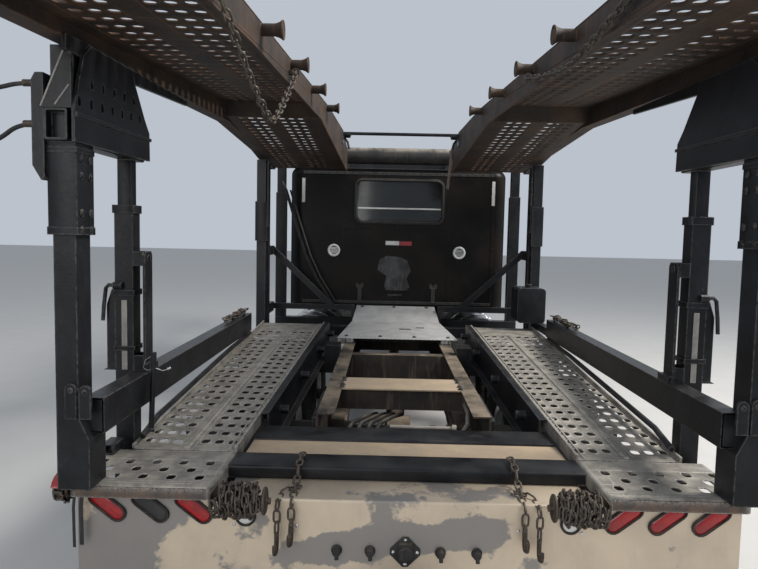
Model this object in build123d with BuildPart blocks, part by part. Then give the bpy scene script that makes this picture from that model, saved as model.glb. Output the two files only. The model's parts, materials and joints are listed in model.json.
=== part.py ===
"""Car transporter truck: a sleeper-cab power unit with a lifting upper deck and a headrack over the cab.

Millimetres, +Y is the way the truck drives, +X its right side, +Z up, the ground at Z 0.
Stations along the truck are given forward of the rear deck lip, and at() turns one into a Y.
"""

import math
import os

from build123d import *

os.makedirs("parts", exist_ok=True)

# Where the rear deck lip stands, so that the truck is centred on its origin
LIP_Y = -3750.0

# Wheels
TYRE_R = 465.0
TYRE_W = 255.0
BEAD_R = 286.0
RIM_BARREL = 16.0
HUB_R = 135.0
DRUM_R = 205.0
FRONT_AXLE = 7050.0
REAR_AXLES = (1850.0, 3150.0)
STEER_X = 985.0
DUAL_INNER_X = 770.0
DUAL_OUTER_X = 1090.0
KINGPIN_X = 835.0
KINGPIN_R = 24.0
SPINDLE_R = 45.0
RUNNING_GAP = 0.3

# Frame rails
RAIL_OUT_X = 432.0
RAIL_FLANGE = 89.0
RAIL_T = 9.0
RAIL_TOP = 2 * TYRE_R + 30.0
RAIL_DEPTH = 270.0
RAIL_REAR = 800.0
RAIL_FRONT = 7980.0

# Rear deck
DECK_TOP = RAIL_TOP - 60.0
DECK_PLATE = 6.0
LIP_DEPTH = 56.0
DECK_IN_X = 730.0
DECK_OUT_X = 1275.0
SEAM = 390.0
TRACK_FAR = 2950.0
TRACK_FAR_TOP = RAIL_TOP + 140.0
TRACK_NEAR_X = (730.0, 1185.0)
TRACK_FAR_X = (600.0, 1110.0)
TRACK_FLANGE_UP = 20.0
TRACK_FLANGE_DOWN = 40.0
TRACK_FLANGE_T = 10.0
REAR_TUBE = (238.0, 368.0)
FRONT_TUBE = (627.0, 800.0)
TUBE_BOTTOM = DECK_TOP - 94.0

# Side rails and posts
SIDE_TUBE_X = (1120.0, 1195.0)
SIDE_TUBE_Z = (TRACK_FAR_TOP, TRACK_FAR_TOP + 132.0)
SIDE_TUBE_REAR = -30.0
SIDE_TUBE_FRONT = 2540.0
POST_X = (1195.0, 1275.0)
REAR_POST = (-70.0, 40.0)
POST_BASE_TOP = RAIL_TOP + 205.0
POST_BASE_TAPER = 80.0
POST_BASE_OUT = 38.0
LIFT_POST = (440.0, 520.0)
LIFT_POST_TOP = 1950.0
LIFT_FOOT = RAIL_TOP - 160.0
FRONT_POST = (3450.0, 3530.0)
FRONT_POST_X = (1190.0, 1270.0)
FRONT_POST_FOOT = RAIL_TOP + 30.0
POST_WALL = 9.0

# Upper deck, which lifts on the posts
UPPER_REAR = -1000.0
UPPER_FRONT = 3930.0
UPPER_STEP = 1950.0
UPPER_OUT_X = 1270.0
UPPER_BEAM = 80.0
UPPER_IN_X = (640.0, 500.0)
INNER_BEAM = 42.0
UPPER_PLATE = 8.0
POST_HEADROOM = 12.0

# Headrack over the cab
RACK_REAR = 4030.0
RACK_FRONT = 8500.0
RACK_DEPTH = 90.0
RACK_IN_X = 560.0
RACK_OUT_X = 1130.0

# Cab, sleeper and hood
CAB_FLOOR = RAIL_TOP + 184.0
SLEEPER_REAR = 4050.0
SLEEPER_FRONT = 5150.0
SLEEPER_X = 1065.0
SLEEPER_TOP = 2500.0
SLEEPER_CORNER = 130.0
RACK_BOTTOM = SLEEPER_TOP + 120.0
WALL = 40.0
CAB_X = 1000.0
CAB_TOP = SLEEPER_TOP - 50.0
COWL = 6560.0
COWL_Z = 1740.0
WINDSCREEN_TOP = 6180.0
DOOR_WALL = 45.0
DOOR_GAP = 6.0
DOOR_HINGE = 6262.0
DOOR_HINGE_X = 1016.0
HOOD_FRONT = 8030.0
HOOD_PIVOT = 8050.0
HOOD_PIVOT_Z = 600.0
HOOD_WALL = 15.0
ARCH_R = 610.0
FENDER_T = 45.0
FENDER_X = 1135.0
BUMPER_Y = (8090.0, 8200.0)
BUMPER_Z = (320.0, 600.0)
BUMPER_WALL = 10.0
BUMPER_X = 1240.0

LEFT_RIGHT = (("left", -1), ("right", 1))


def at(station):
    """The Y of a station measured forward from the rear deck lip."""
    return LIP_Y + station


def block(x, y, z, mode=Mode.ADD):
    """A box between two X values, two stations and two heights, in the open part."""
    centre = (sum(x) / 2, at(sum(y) / 2), sum(z) / 2)
    with Locations(centre):
        Box(abs(x[1] - x[0]), abs(y[1] - y[0]), abs(z[1] - z[0]), mode=mode)


def rod_x(radius, x, station, z, mode=Mode.ADD):
    """A round bar across the truck, in the open part."""
    with Locations(Location((sum(x) / 2, at(station), z), (0, 90, 0))):
        Cylinder(radius, abs(x[1] - x[0]), mode=mode)


def rod_y(radius, x, stations, z, mode=Mode.ADD):
    """A round bar along the truck, in the open part."""
    with Locations(Location((x, at(sum(stations) / 2), z), (90, 0, 0))):
        Cylinder(radius, abs(stations[1] - stations[0]), mode=mode)


def rod_z(radius, x, station, z, mode=Mode.ADD):
    """An upright round bar, in the open part."""
    with Locations((x, at(station), sum(z) / 2)):
        Cylinder(radius, abs(z[1] - z[0]), mode=mode)


def side_profile(points, x, mode=Mode.ADD):
    """A closed outline of (station, height) points, run across from one X to another."""
    with BuildSketch(Plane.YZ.offset(x[0])) as outline:
        with BuildLine():
            Polyline(*[(at(station), height) for station, height in points], close=True)
        make_face()
    extrude(outline.sketch, amount=x[1] - x[0], mode=mode)


def keep(name, label):
    """Labels a finished sub-part and writes it."""
    name.part.label = label
    export_step(name.part, f"parts/{label}.step")


# Frame: two channel rails and their crossmembers, with the bumper brackets and hood pins
CROSSMEMBERS = (  # station, length along the truck, depth
    (1430.0, 130.0, 120.0),
    (2480.0, 90.0, 230.0),
    (3950.0, 80.0, 230.0),
    (5200.0, 80.0, 200.0),
    (7900.0, 90.0, 200.0),
)
RAIL_IN_X = RAIL_OUT_X - RAIL_FLANGE
RAIL_BOTTOM = RAIL_TOP - RAIL_DEPTH
HOOD_PIN_R = 14.0
HOOD_PIN_X = (RAIL_OUT_X, RAIL_OUT_X + 62.0)
with BuildPart() as frame_rails:
    block((RAIL_IN_X, RAIL_OUT_X), (RAIL_REAR, RAIL_FRONT), (RAIL_BOTTOM, RAIL_TOP))
    block(
        (RAIL_IN_X, RAIL_OUT_X - RAIL_T),
        (RAIL_REAR, RAIL_FRONT),
        (RAIL_BOTTOM + RAIL_T, RAIL_TOP - RAIL_T),
        mode=Mode.SUBTRACT,
    )
    block((RAIL_IN_X, RAIL_OUT_X), (RAIL_FRONT - 180.0, BUMPER_Y[0] - 5.0), (450.0, RAIL_BOTTOM))
    block(
        (RAIL_IN_X, RAIL_OUT_X),
        (BUMPER_Y[0] - 5.0, BUMPER_Y[1] - BUMPER_WALL),
        (450.0, BUMPER_Z[1] - 2 * BUMPER_WALL),
    )
    rod_x(HOOD_PIN_R, HOOD_PIN_X, HOOD_PIVOT, HOOD_PIVOT_Z)
    mirror(about=Plane.YZ)
    for station, length, depth in CROSSMEMBERS:
        block(
            (-RAIL_OUT_X + RAIL_T, RAIL_OUT_X - RAIL_T),
            (station - length / 2, station + length / 2),
            (RAIL_TOP - RAIL_T - depth, RAIL_TOP - RAIL_T),
        )
keep(frame_rails, "frame_rails")

# Drive axles: housings with their differentials, spindles and carriers
AXLE_TUBE_R = 65.0
AXLE_TUBE_X = 610.0
DIFF_R = 190.0
with BuildPart() as drive_axles:
    for station in REAR_AXLES:
        rod_x(AXLE_TUBE_R, (-AXLE_TUBE_X, AXLE_TUBE_X), station, TYRE_R)
        rod_x(SPINDLE_R, (-DUAL_OUTER_X + 90.0, DUAL_OUTER_X - 90.0), station, TYRE_R)
        rod_x(DIFF_R, (-75.0, 75.0), station, TYRE_R)
        rod_y(90.0, 0.0, (station, station + 330.0), TYRE_R + 20.0)
keep(drive_axles, "drive_axles")

# Drive shafts from the gearbox to the axles
SHAFT_R = 50.0
YOKE = 40.0
GEARBOX_END = 5750.0
GEARBOX_Z = 700.0
with BuildPart() as drive_shafts:
    rod_y(SHAFT_R, 0.0, (REAR_AXLES[0] + 330.0, REAR_AXLES[1] - DIFF_R), TYRE_R + 20.0)
    rod_y(SHAFT_R, 0.0, (REAR_AXLES[1] + 330.0, REAR_AXLES[1] + 330.0 + YOKE), TYRE_R + 20.0)
    front_start = Vector(0, at(REAR_AXLES[1] + 330.0 + YOKE / 2), TYRE_R + 20.0)
    front_end = Vector(0, at(GEARBOX_END - YOKE / 2), GEARBOX_Z)
    rod_y(SHAFT_R, 0.0, (GEARBOX_END - YOKE, GEARBOX_END), GEARBOX_Z)
    run = front_end - front_start
    with BuildSketch(Plane(origin=front_start, z_dir=run)) as section:
        Circle(SHAFT_R)
    extrude(section.sketch, amount=run.length)
keep(drive_shafts, "drive_shafts")

# Suspension: drive axle arms on hangers, air springs, and front leaf packs
ARM_X = (345.0, 425.0)
SPRING_R = 105.0
with BuildPart() as suspension:
    for station in REAR_AXLES:
        axle_top = TYRE_R + AXLE_TUBE_R
        arm = (
            (station + 470.0, axle_top + 120.0),
            (station + 470.0, axle_top + 40.0),
            (station + 90.0, axle_top),
            (station - 90.0, axle_top),
            (station - 420.0, axle_top - 60.0),
            (station - 420.0, axle_top - 10.0),
            (station - 60.0, axle_top + 70.0),
            (station + 60.0, axle_top + 70.0),
        )
        side_profile(arm, ARM_X)
        block(ARM_X, (station + 420.0, station + 520.0), (axle_top + 30.0, RAIL_BOTTOM))
        rod_z(SPRING_R, sum(ARM_X) / 2, station - 330.0, (axle_top - 30.0, RAIL_BOTTOM))
    beam_top = 470.0
    leaf = (
        (FRONT_AXLE - 640.0, 640.0),
        (FRONT_AXLE - 640.0, 615.0),
        (FRONT_AXLE - 60.0, beam_top),
        (FRONT_AXLE + 60.0, beam_top),
        (FRONT_AXLE + 640.0, 615.0),
        (FRONT_AXLE + 640.0, 640.0),
        (FRONT_AXLE + 60.0, beam_top + 70.0),
        (FRONT_AXLE - 60.0, beam_top + 70.0),
    )
    side_profile(leaf, ARM_X)
    for end in (-640.0, 600.0):
        block(ARM_X, (FRONT_AXLE + end, FRONT_AXLE + end + 40.0), (625.0, RAIL_BOTTOM))
    mirror(about=Plane.YZ)
keep(suspension, "suspension")

# Front axle beam with an eye for each kingpin
EYE_R = 46.0
EYE_HALF = 62.0
with BuildPart() as front_axle:
    with BuildSketch(Plane.XZ.offset(-at(FRONT_AXLE) - 45.0)) as beam:
        with BuildLine():
            Polyline(
                (-KINGPIN_X, TYRE_R + 40.0),
                (-560.0, 470.0),
                (560.0, 470.0),
                (KINGPIN_X, TYRE_R + 40.0),
                (KINGPIN_X, TYRE_R - 45.0),
                (560.0, 370.0),
                (-560.0, 370.0),
                (-KINGPIN_X, TYRE_R - 45.0),
                close=True,
            )
        make_face()
    extrude(beam.sketch, amount=90.0)
    for _, side in LEFT_RIGHT:
        rod_z(EYE_R, side * KINGPIN_X, FRONT_AXLE, (TYRE_R - EYE_HALF, TYRE_R + EYE_HALF))
    for _, side in LEFT_RIGHT:
        rod_z(
            KINGPIN_R + RUNNING_GAP,
            side * KINGPIN_X,
            FRONT_AXLE,
            (TYRE_R - EYE_HALF, TYRE_R + EYE_HALF),
            mode=Mode.SUBTRACT,
        )
keep(front_axle, "front_axle")

# Knuckles: a fork on the kingpin with the wheel spindle
EAR_T = 30.0
EAR_GAP = 1.0
for side_name, side in LEFT_RIGHT:
    with BuildPart() as knuckle:
        ear_inner = TYRE_R + EYE_HALF + EAR_GAP
        rod_z(
            KINGPIN_R,
            side * KINGPIN_X,
            FRONT_AXLE,
            (2 * TYRE_R - ear_inner - EAR_T, ear_inner + EAR_T),
        )
        for low in (ear_inner, 2 * TYRE_R - ear_inner - EAR_T):
            block(
                (side * (KINGPIN_X - 40.0), side * (KINGPIN_X + 85.0)),
                (FRONT_AXLE - 45.0, FRONT_AXLE + 45.0),
                (low, low + EAR_T),
            )
        block(
            (side * (KINGPIN_X + 55.0), side * (KINGPIN_X + 85.0)),
            (FRONT_AXLE - 60.0, FRONT_AXLE + 60.0),
            (2 * TYRE_R - ear_inner - EAR_T, ear_inner + EAR_T),
        )
        rod_x(
            SPINDLE_R,
            (side * (KINGPIN_X + 70.0), side * (STEER_X + 75.0)),
            FRONT_AXLE,
            TYRE_R,
        )
    keep(knuckle, f"knuckle_{side_name}")

# Tyre section: (radius, distance from the tyre's middle), bead to bead
TYRE_SECTION = (
    (BEAD_R, TYRE_W / 2 - 30.0),
    (BEAD_R + 45.0, TYRE_W / 2 - 8.0),
    (BEAD_R + 100.0, TYRE_W / 2),
    (TYRE_R - 22.0, TYRE_W / 2 - 12.0),
    (TYRE_R, TYRE_W / 2 - 30.0),
)


def tyre(x, station):
    """One tyre turned about a cross-truck axis, in the open part."""
    half = [(distance, radius) for radius, distance in TYRE_SECTION]
    outline = half + [(-distance, radius) for distance, radius in reversed(half)]
    with BuildSketch(Plane(origin=(x, at(station), TYRE_R), x_dir=(1, 0, 0), z_dir=(0, -1, 0))) as section:
        with BuildLine():
            Polyline(*outline, close=True)
        make_face()
    revolve(section.sketch, axis=Axis((x, at(station), TYRE_R), (1, 0, 0)))


def turned(x, station, points, height=TYRE_R):
    """A turned form of (distance from x, radius) points about a cross-truck axis."""
    with BuildSketch(Plane(origin=(x, at(station), height), x_dir=(1, 0, 0), z_dir=(0, -1, 0))) as section:
        with BuildLine():
            Polyline(*points, close=True)
        make_face()
    revolve(section.sketch, axis=Axis((x, at(station), height), (1, 0, 0)))


# Steer wheels
for side_name, side in LEFT_RIGHT:
    with BuildPart() as steer_tyre:
        tyre(side * STEER_X, FRONT_AXLE)
    keep(steer_tyre, f"steer_tyre_{side_name}")
    bore = SPINDLE_R + RUNNING_GAP
    rim_out = TYRE_W / 2 - 30.0
    with BuildPart() as steer_rim:
        profile = (
            (side * -rim_out, BEAD_R),
            (side * rim_out, BEAD_R),
            (side * rim_out, BEAD_R - RIM_BARREL),
            (side * 70.0, BEAD_R - RIM_BARREL),
            (side * 55.0, HUB_R),
            (side * 100.0, HUB_R - 20.0),
            (side * 100.0, 0.1),
            (side * 76.0, 0.1),
            (side * 76.0, bore),
            (side * -55.0, bore),
            (side * -55.0, HUB_R),
            (side * 30.0, HUB_R),
            (side * 45.0, BEAD_R - RIM_BARREL),
            (side * -rim_out, BEAD_R - RIM_BARREL),
        )
        turned(side * STEER_X, FRONT_AXLE, profile)
    keep(steer_rim, f"steer_rim_{side_name}")

# Drive wheels: two tyres and two rims to a hub, on each end of each axle
AXLE_NAMES = ("rear", "front")
for axle_name, station in zip(AXLE_NAMES, REAR_AXLES):
    for side_name, side in LEFT_RIGHT:
        with BuildPart() as drive_tyres:
            for x in (DUAL_INNER_X, DUAL_OUTER_X):
                tyre(side * x, station)
        keep(drive_tyres, f"drive_tyres_{axle_name}_{side_name}")
        middle = (DUAL_INNER_X + DUAL_OUTER_X) / 2
        spread = (DUAL_OUTER_X - DUAL_INNER_X) / 2
        near, far = spread - rim_out, spread + rim_out
        with BuildPart() as drive_rims:
            profile = (
                (side * -far, BEAD_R),
                (side * -near, BEAD_R),
                (side * -near, BEAD_R - RIM_BARREL),
                (side * -12.0, BEAD_R - RIM_BARREL),
                (side * 12.0, BEAD_R - RIM_BARREL),
                (side * near, BEAD_R - RIM_BARREL),
                (side * near, BEAD_R),
                (side * far, BEAD_R),
                (side * far, BEAD_R - RIM_BARREL),
                (side * near, BEAD_R - 2 * RIM_BARREL),
                (side * 14.0, HUB_R + 30.0),
                (side * 14.0, HUB_R),
                (side * 110.0, HUB_R - 15.0),
                (side * 180.0, HUB_R - 40.0),
                (side * 180.0, 0.1),
                (side * 85.0, 0.1),
                (side * 85.0, bore),
                (side * -far, bore),
                (side * -far, DRUM_R),
                (side * -near, DRUM_R),
                (side * -near, BEAD_R - 2 * RIM_BARREL),
                (side * -far, BEAD_R - RIM_BARREL),
            )
            turned(side * middle, station, profile)
        keep(drive_rims, f"drive_rims_{axle_name}_{side_name}")

# Engine with its gearbox as one plain block, and the radiator behind the grille
ENGINE = (6575.0, 7600.0)
ENGINE_HALF = 375.0
with BuildPart() as engine:
    block((-ENGINE_HALF, ENGINE_HALF), ENGINE, (RAIL_TOP, 1400.0))
    block((-250.0, 250.0), (GEARBOX_END, 7500.0), (560.0, RAIL_TOP))
    block((-RAIL_OUT_X, RAIL_OUT_X), (7700.0, 7790.0), (RAIL_TOP, 1380.0))
keep(engine, "engine_block")

# Rear deck: corner platforms with a rolled edge and staggered oblong holes
LIP_WALL = 20.0
LIP_CORNER = 26.0
LIP_ROLL = 15.0
PLATFORM_WALL = 8.0
PLATFORM_SLOT = (52.0, 30.0)
PLATFORM_SLOT_PITCH = 109.0
PLATFORM_ROWS = (  # station, first hole from the middle, holes
    (75.0, 802.0, 5),
    (153.0, 856.5, 4),
    (231.0, 802.0, 5),
)
with BuildPart() as deck_corners:
    block((DECK_IN_X, DECK_OUT_X), (0.0, SEAM), (DECK_TOP - LIP_DEPTH, DECK_TOP))
    fillet(deck_corners.edges().filter_by(Axis.Z).group_by(Axis.Y)[0], LIP_CORNER)
    rolled = [e for e in deck_corners.faces().sort_by(Axis.Z)[-1].edges() if e.center().Y < at(LIP_CORNER)]
    fillet(rolled, LIP_ROLL)
    block(
        (DECK_IN_X + PLATFORM_WALL, DECK_OUT_X - PLATFORM_WALL),
        (LIP_WALL, SEAM - PLATFORM_WALL),
        (DECK_TOP - LIP_DEPTH, DECK_TOP - DECK_PLATE),
        mode=Mode.SUBTRACT,
    )
    with BuildSketch(Plane.XY.offset(DECK_TOP - DECK_PLATE)) as holes:
        for station, first, count in PLATFORM_ROWS:
            for number in range(count):
                with Locations((first + number * PLATFORM_SLOT_PITCH, at(station))):
                    SlotOverall(*PLATFORM_SLOT, rotation=90)
    extrude(holes.sketch, amount=DECK_PLATE, mode=Mode.SUBTRACT)
    mirror(about=Plane.YZ)
keep(deck_corners, "deck_corners")

TUBE_TOP = DECK_TOP - DECK_PLATE
FRONT_TUBE_X = 700.0
with BuildPart() as cross_tubes:
    for span, reach in ((REAR_TUBE, DECK_IN_X), (FRONT_TUBE, FRONT_TUBE_X)):
        block((-reach, reach), span, (TUBE_BOTTOM, TUBE_TOP))
        block(
            (-reach, reach),
            (span[0] + 7.0, span[1] - 7.0),
            (TUBE_BOTTOM + 7.0, TUBE_TOP - 7.0),
            mode=Mode.SUBTRACT,
        )
keep(cross_tubes, "cross_tubes")

# Tan plates: the strip between the cross tubes and the bolted plate between the rails
STRIP_Z = (TUBE_TOP - 16.0, TUBE_TOP - 12.0)
CROSS_PLATE = (1330.0, 1620.0)
CROSS_PLATE_Z = (RAIL_TOP - RAIL_T, RAIL_TOP - RAIL_T + 8.0)
with BuildPart() as cover_plates:
    block(
        (-FRONT_TUBE_X, FRONT_TUBE_X),
        (REAR_TUBE[1] + RUNNING_GAP, FRONT_TUBE[0] - RUNNING_GAP),
        STRIP_Z,
    )
    block((-RAIL_IN_X + RUNNING_GAP, RAIL_IN_X - RUNNING_GAP), CROSS_PLATE, CROSS_PLATE_Z)
keep(cover_plates, "cover_plates")

# Polished panel with slanted oblong lamps in rubber bezels, round lamps and a row of sockets
PANEL_X = 1258.0
PANEL_Y = 45.0
PANEL_T = 4.0
PANEL_Z = (440.0, DECK_TOP - LIP_DEPTH - 1.0)
FLANGE_TOP = TUBE_BOTTOM - 1.0
LAMP_L, LAMP_H = 152.0, 52.0
LAMP_Z = DECK_TOP - 101.0
LAMP_TILT = 38.0
LAMPS = (815.0, 980.0, 1144.0)
LAMP_FIT = 0.3
LAMP_DEPTH = 27.0
ROUND_LAMP = (616.0, DECK_TOP - 130.0, 32.0)
BEZEL_W = 8.0
BEZEL_T = 12.0
PLUG_Z = DECK_TOP - 255.0
PLUGS = (  # distance from the middle, radius
    (-268.0, 16.0),
    (-141.0, 16.0),
    (-7.0, 30.0),
    (127.0, 16.0),
    (265.0, 16.0),
)


def oblongs(length, height, mode=Mode.ADD):
    """The outlines of all the slanted lamps, grown or shrunk, in the open sketch."""
    for x in LAMPS:
        for _, side in LEFT_RIGHT:
            with Locations(Location((side * x, LAMP_Z), side * LAMP_TILT)):
                SlotOverall(length, height, mode=mode)


def rounds(radius, mode=Mode.ADD):
    """The outlines of both round lamps, in the open sketch."""
    with Locations((ROUND_LAMP[0], ROUND_LAMP[1]), (-ROUND_LAMP[0], ROUND_LAMP[1])):
        Circle(radius, mode=mode)


with BuildPart() as rear_panel:
    block((-PANEL_X, PANEL_X), (PANEL_Y, PANEL_Y + PANEL_T), PANEL_Z)
    middle = (-DECK_IN_X, DECK_IN_X)
    block(middle, (PANEL_Y, PANEL_Y + PANEL_T), (FLANGE_TOP, PANEL_Z[1]), mode=Mode.SUBTRACT)
    block((-FRONT_TUBE_X, FRONT_TUBE_X), (PANEL_Y, 600.0), (FLANGE_TOP - PANEL_T, FLANGE_TOP))
    with BuildSketch(Plane.XZ.offset(-at(PANEL_Y))) as cut:
        oblongs(LAMP_L + 2 * LAMP_FIT, LAMP_H + 2 * LAMP_FIT)
    extrude(cut.sketch, amount=-PANEL_T * 2, both=True, mode=Mode.SUBTRACT)
keep(rear_panel, "rear_panel")

with BuildPart() as rear_lamps:
    with BuildSketch(Plane.XZ.offset(-at(PANEL_Y + 20.0))) as lens:
        oblongs(LAMP_L, LAMP_H)
    extrude(lens.sketch, amount=LAMP_DEPTH)
    with BuildSketch(Plane.XZ.offset(-at(PANEL_Y))) as round_lens:
        rounds(ROUND_LAMP[2])
    extrude(round_lens.sketch, amount=BEZEL_T - 4.0)
keep(rear_lamps, "rear_lamps")

with BuildPart() as rear_connectors:
    for x, radius in PLUGS:
        rod_y(radius, x, (PANEL_Y - 32.0, PANEL_Y), PLUG_Z)
    with BuildSketch(Plane.XZ.offset(-at(PANEL_Y - LAMP_FIT))) as bezels:
        oblongs(LAMP_L + 2 * BEZEL_W, LAMP_H + 2 * BEZEL_W)
        oblongs(LAMP_L + 2 * LAMP_FIT, LAMP_H + 2 * LAMP_FIT, mode=Mode.SUBTRACT)
        rounds(ROUND_LAMP[2] + BEZEL_W)
        rounds(ROUND_LAMP[2] + LAMP_FIT, mode=Mode.SUBTRACT)
    extrude(bezels.sketch, amount=BEZEL_T)
keep(rear_connectors, "rear_connectors")

# Stinger: side plates hung from the rails, a drop beam and the low hitch plate with its ball
STINGER_T = 20.0
STINGER_X = (RAIL_OUT_X, RAIL_OUT_X + STINGER_T)
HITCH_Z = 420.0
BALL_R = 38.0
HITCH_BALL = -260.0
with BuildPart() as stinger_hitch:
    for _, side in LEFT_RIGHT:
        outline = (
            (60.0, 330.0),
            (1000.0, 330.0),
            (1340.0, 560.0),
            (1340.0, RAIL_TOP - 20.0),
            (RAIL_REAR, RAIL_TOP - 20.0),
            (RAIL_REAR, FLANGE_TOP - PANEL_T),
            (PANEL_Y + PANEL_T, FLANGE_TOP - PANEL_T),
            (PANEL_Y + PANEL_T, 470.0),
        )
        side_profile(outline, (side * STINGER_X[0], side * STINGER_X[1]))
    block((-RAIL_OUT_X, RAIL_OUT_X), (60.0, 960.0), (330.0, 350.0))
    block((-RAIL_OUT_X, RAIL_OUT_X), (420.0, 620.0), (350.0, 560.0))
    hitch_outline = (
        (-330.0, HITCH_Z - 60.0),
        (420.0, HITCH_Z - 70.0),
        (420.0, HITCH_Z + 10.0),
        (-330.0, HITCH_Z),
    )
    side_profile(hitch_outline, (-130.0, 130.0))
    rod_z(22.0, 0.0, HITCH_BALL, (HITCH_Z, HITCH_Z + 40.0))
    with Locations((0, at(HITCH_BALL), HITCH_Z + 66.0)):
        Sphere(BALL_R)
keep(stinger_hitch, "stinger_hitch")

# Lower tracks: sloping plates between flanges, with a ridge down the middle
SLOPE_RUN = TRACK_FAR - SEAM
SLOPE_RISE = TRACK_FAR_TOP - DECK_TOP
SLOPE = math.atan2(SLOPE_RISE, SLOPE_RUN)
TRACK_LENGTH = math.hypot(SLOPE_RUN, SLOPE_RISE)
track_plane = Plane(
    origin=(0, at(SEAM) + RUNNING_GAP, DECK_TOP),
    x_dir=(1, 0, 0),
    z_dir=(0, -math.sin(SLOPE), math.cos(SLOPE)),
)
EDGES = ((TRACK_NEAR_X[0], TRACK_FAR_X[0], 1), (TRACK_NEAR_X[1], TRACK_FAR_X[1], -1))
TREAD_ROWS = 10
TREAD_START = 560.0
TREAD_PITCH = 228.0
TREAD_LANES = (132.0, 385.0)
TREAD_SLOT = (160.0, 60.0)


def track_edge(station):
    """How far from the middle the lower track's inner edge is at a station."""
    along = (station - SEAM) / SLOPE_RUN
    return TRACK_NEAR_X[0] + (TRACK_FAR_X[0] - TRACK_NEAR_X[0]) * along


with BuildPart() as lower_tracks:
    with BuildSketch(track_plane) as plate:
        with BuildLine():
            Polyline(
                (TRACK_NEAR_X[0], 0),
                (TRACK_NEAR_X[1], 0),
                (TRACK_FAR_X[1], TRACK_LENGTH),
                (TRACK_FAR_X[0], TRACK_LENGTH),
                close=True,
            )
        make_face()
    extrude(plate.sketch, amount=-DECK_PLATE)
    for near_x, far_x, inward in EDGES:
        with BuildSketch(track_plane.offset(-TRACK_FLANGE_DOWN)) as flange:
            with BuildLine():
                Polyline(
                    (near_x, 0),
                    (near_x + inward * TRACK_FLANGE_T, 0),
                    (far_x + inward * TRACK_FLANGE_T, TRACK_LENGTH),
                    (far_x, TRACK_LENGTH),
                    close=True,
                )
            make_face()
        extrude(flange.sketch, amount=TRACK_FLANGE_DOWN + TRACK_FLANGE_UP)
    for number in range(TREAD_ROWS):
        station = TREAD_START + number * TREAD_PITCH
        for lane in TREAD_LANES:
            x = track_edge(station) + lane
            block(
                (x - TREAD_SLOT[0] / 2, x + TREAD_SLOT[0] / 2),
                (station - TREAD_SLOT[1] / 2, station + TREAD_SLOT[1] / 2),
                (DECK_TOP - TRACK_FLANGE_DOWN, TRACK_FAR_TOP + TRACK_FLANGE_UP),
                mode=Mode.SUBTRACT,
            )
    mirror(about=Plane.YZ)
keep(lower_tracks, "lower_tracks")


def track_under(station):
    """The height of the lower tracks' underside at a station, from the rear lip."""
    along = (station - SEAM) / SLOPE_RUN
    return DECK_TOP + SLOPE_RISE * along - TRACK_FLANGE_DOWN / math.cos(SLOPE) - RUNNING_GAP


# Inner channels: deep sections along the tracks' inner edges, with pins for the wheel straps
CHANNEL_REAR = 806.0
CHANNEL_LIP = 40.0
CHANNEL_T = 8.0
CHANNEL_DROP = 170.0
CHANNEL_FOOT = 36.0
CHANNEL_PINS = (1075.0, 1708.0, 2352.0, 2860.0)
CHANNEL_PIN_R = 24.0
CHANNEL_PIN_OUT = 48.0
CHANNEL_PIN_DROP = 55.0


def track_strip(near, far, low, high):
    """A strip between two offsets from a track's inner edge and two heights on it, in the open part."""
    start = (CHANNEL_REAR - SEAM) / math.cos(SLOPE)
    edge = track_edge(CHANNEL_REAR)
    with BuildSketch(track_plane.offset(low)) as strip:
        with BuildLine():
            Polyline(
                (edge + near, start),
                (edge + far, start),
                (TRACK_FAR_X[0] + far, TRACK_LENGTH),
                (TRACK_FAR_X[0] + near, TRACK_LENGTH),
                close=True,
            )
        make_face()
    extrude(strip.sketch, amount=high - low)


with BuildPart() as track_channels:
    track_strip(-CHANNEL_LIP, -RUNNING_GAP, TRACK_FLANGE_UP - CHANNEL_T, TRACK_FLANGE_UP)
    track_strip(-CHANNEL_LIP, CHANNEL_T - CHANNEL_LIP, -CHANNEL_DROP, TRACK_FLANGE_UP)
    track_strip(-CHANNEL_LIP - CHANNEL_FOOT, -CHANNEL_LIP, -CHANNEL_DROP, CHANNEL_T - CHANNEL_DROP)
    for station in CHANNEL_PINS:
        web = track_edge(station) - CHANNEL_LIP
        height = DECK_TOP + math.tan(SLOPE) * (station - SEAM) - CHANNEL_PIN_DROP
        rod_x(CHANNEL_PIN_R, (web + CHANNEL_T / 2, web - CHANNEL_PIN_OUT), station, height)
    mirror(about=Plane.YZ)
keep(track_channels, "track_channels")

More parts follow.
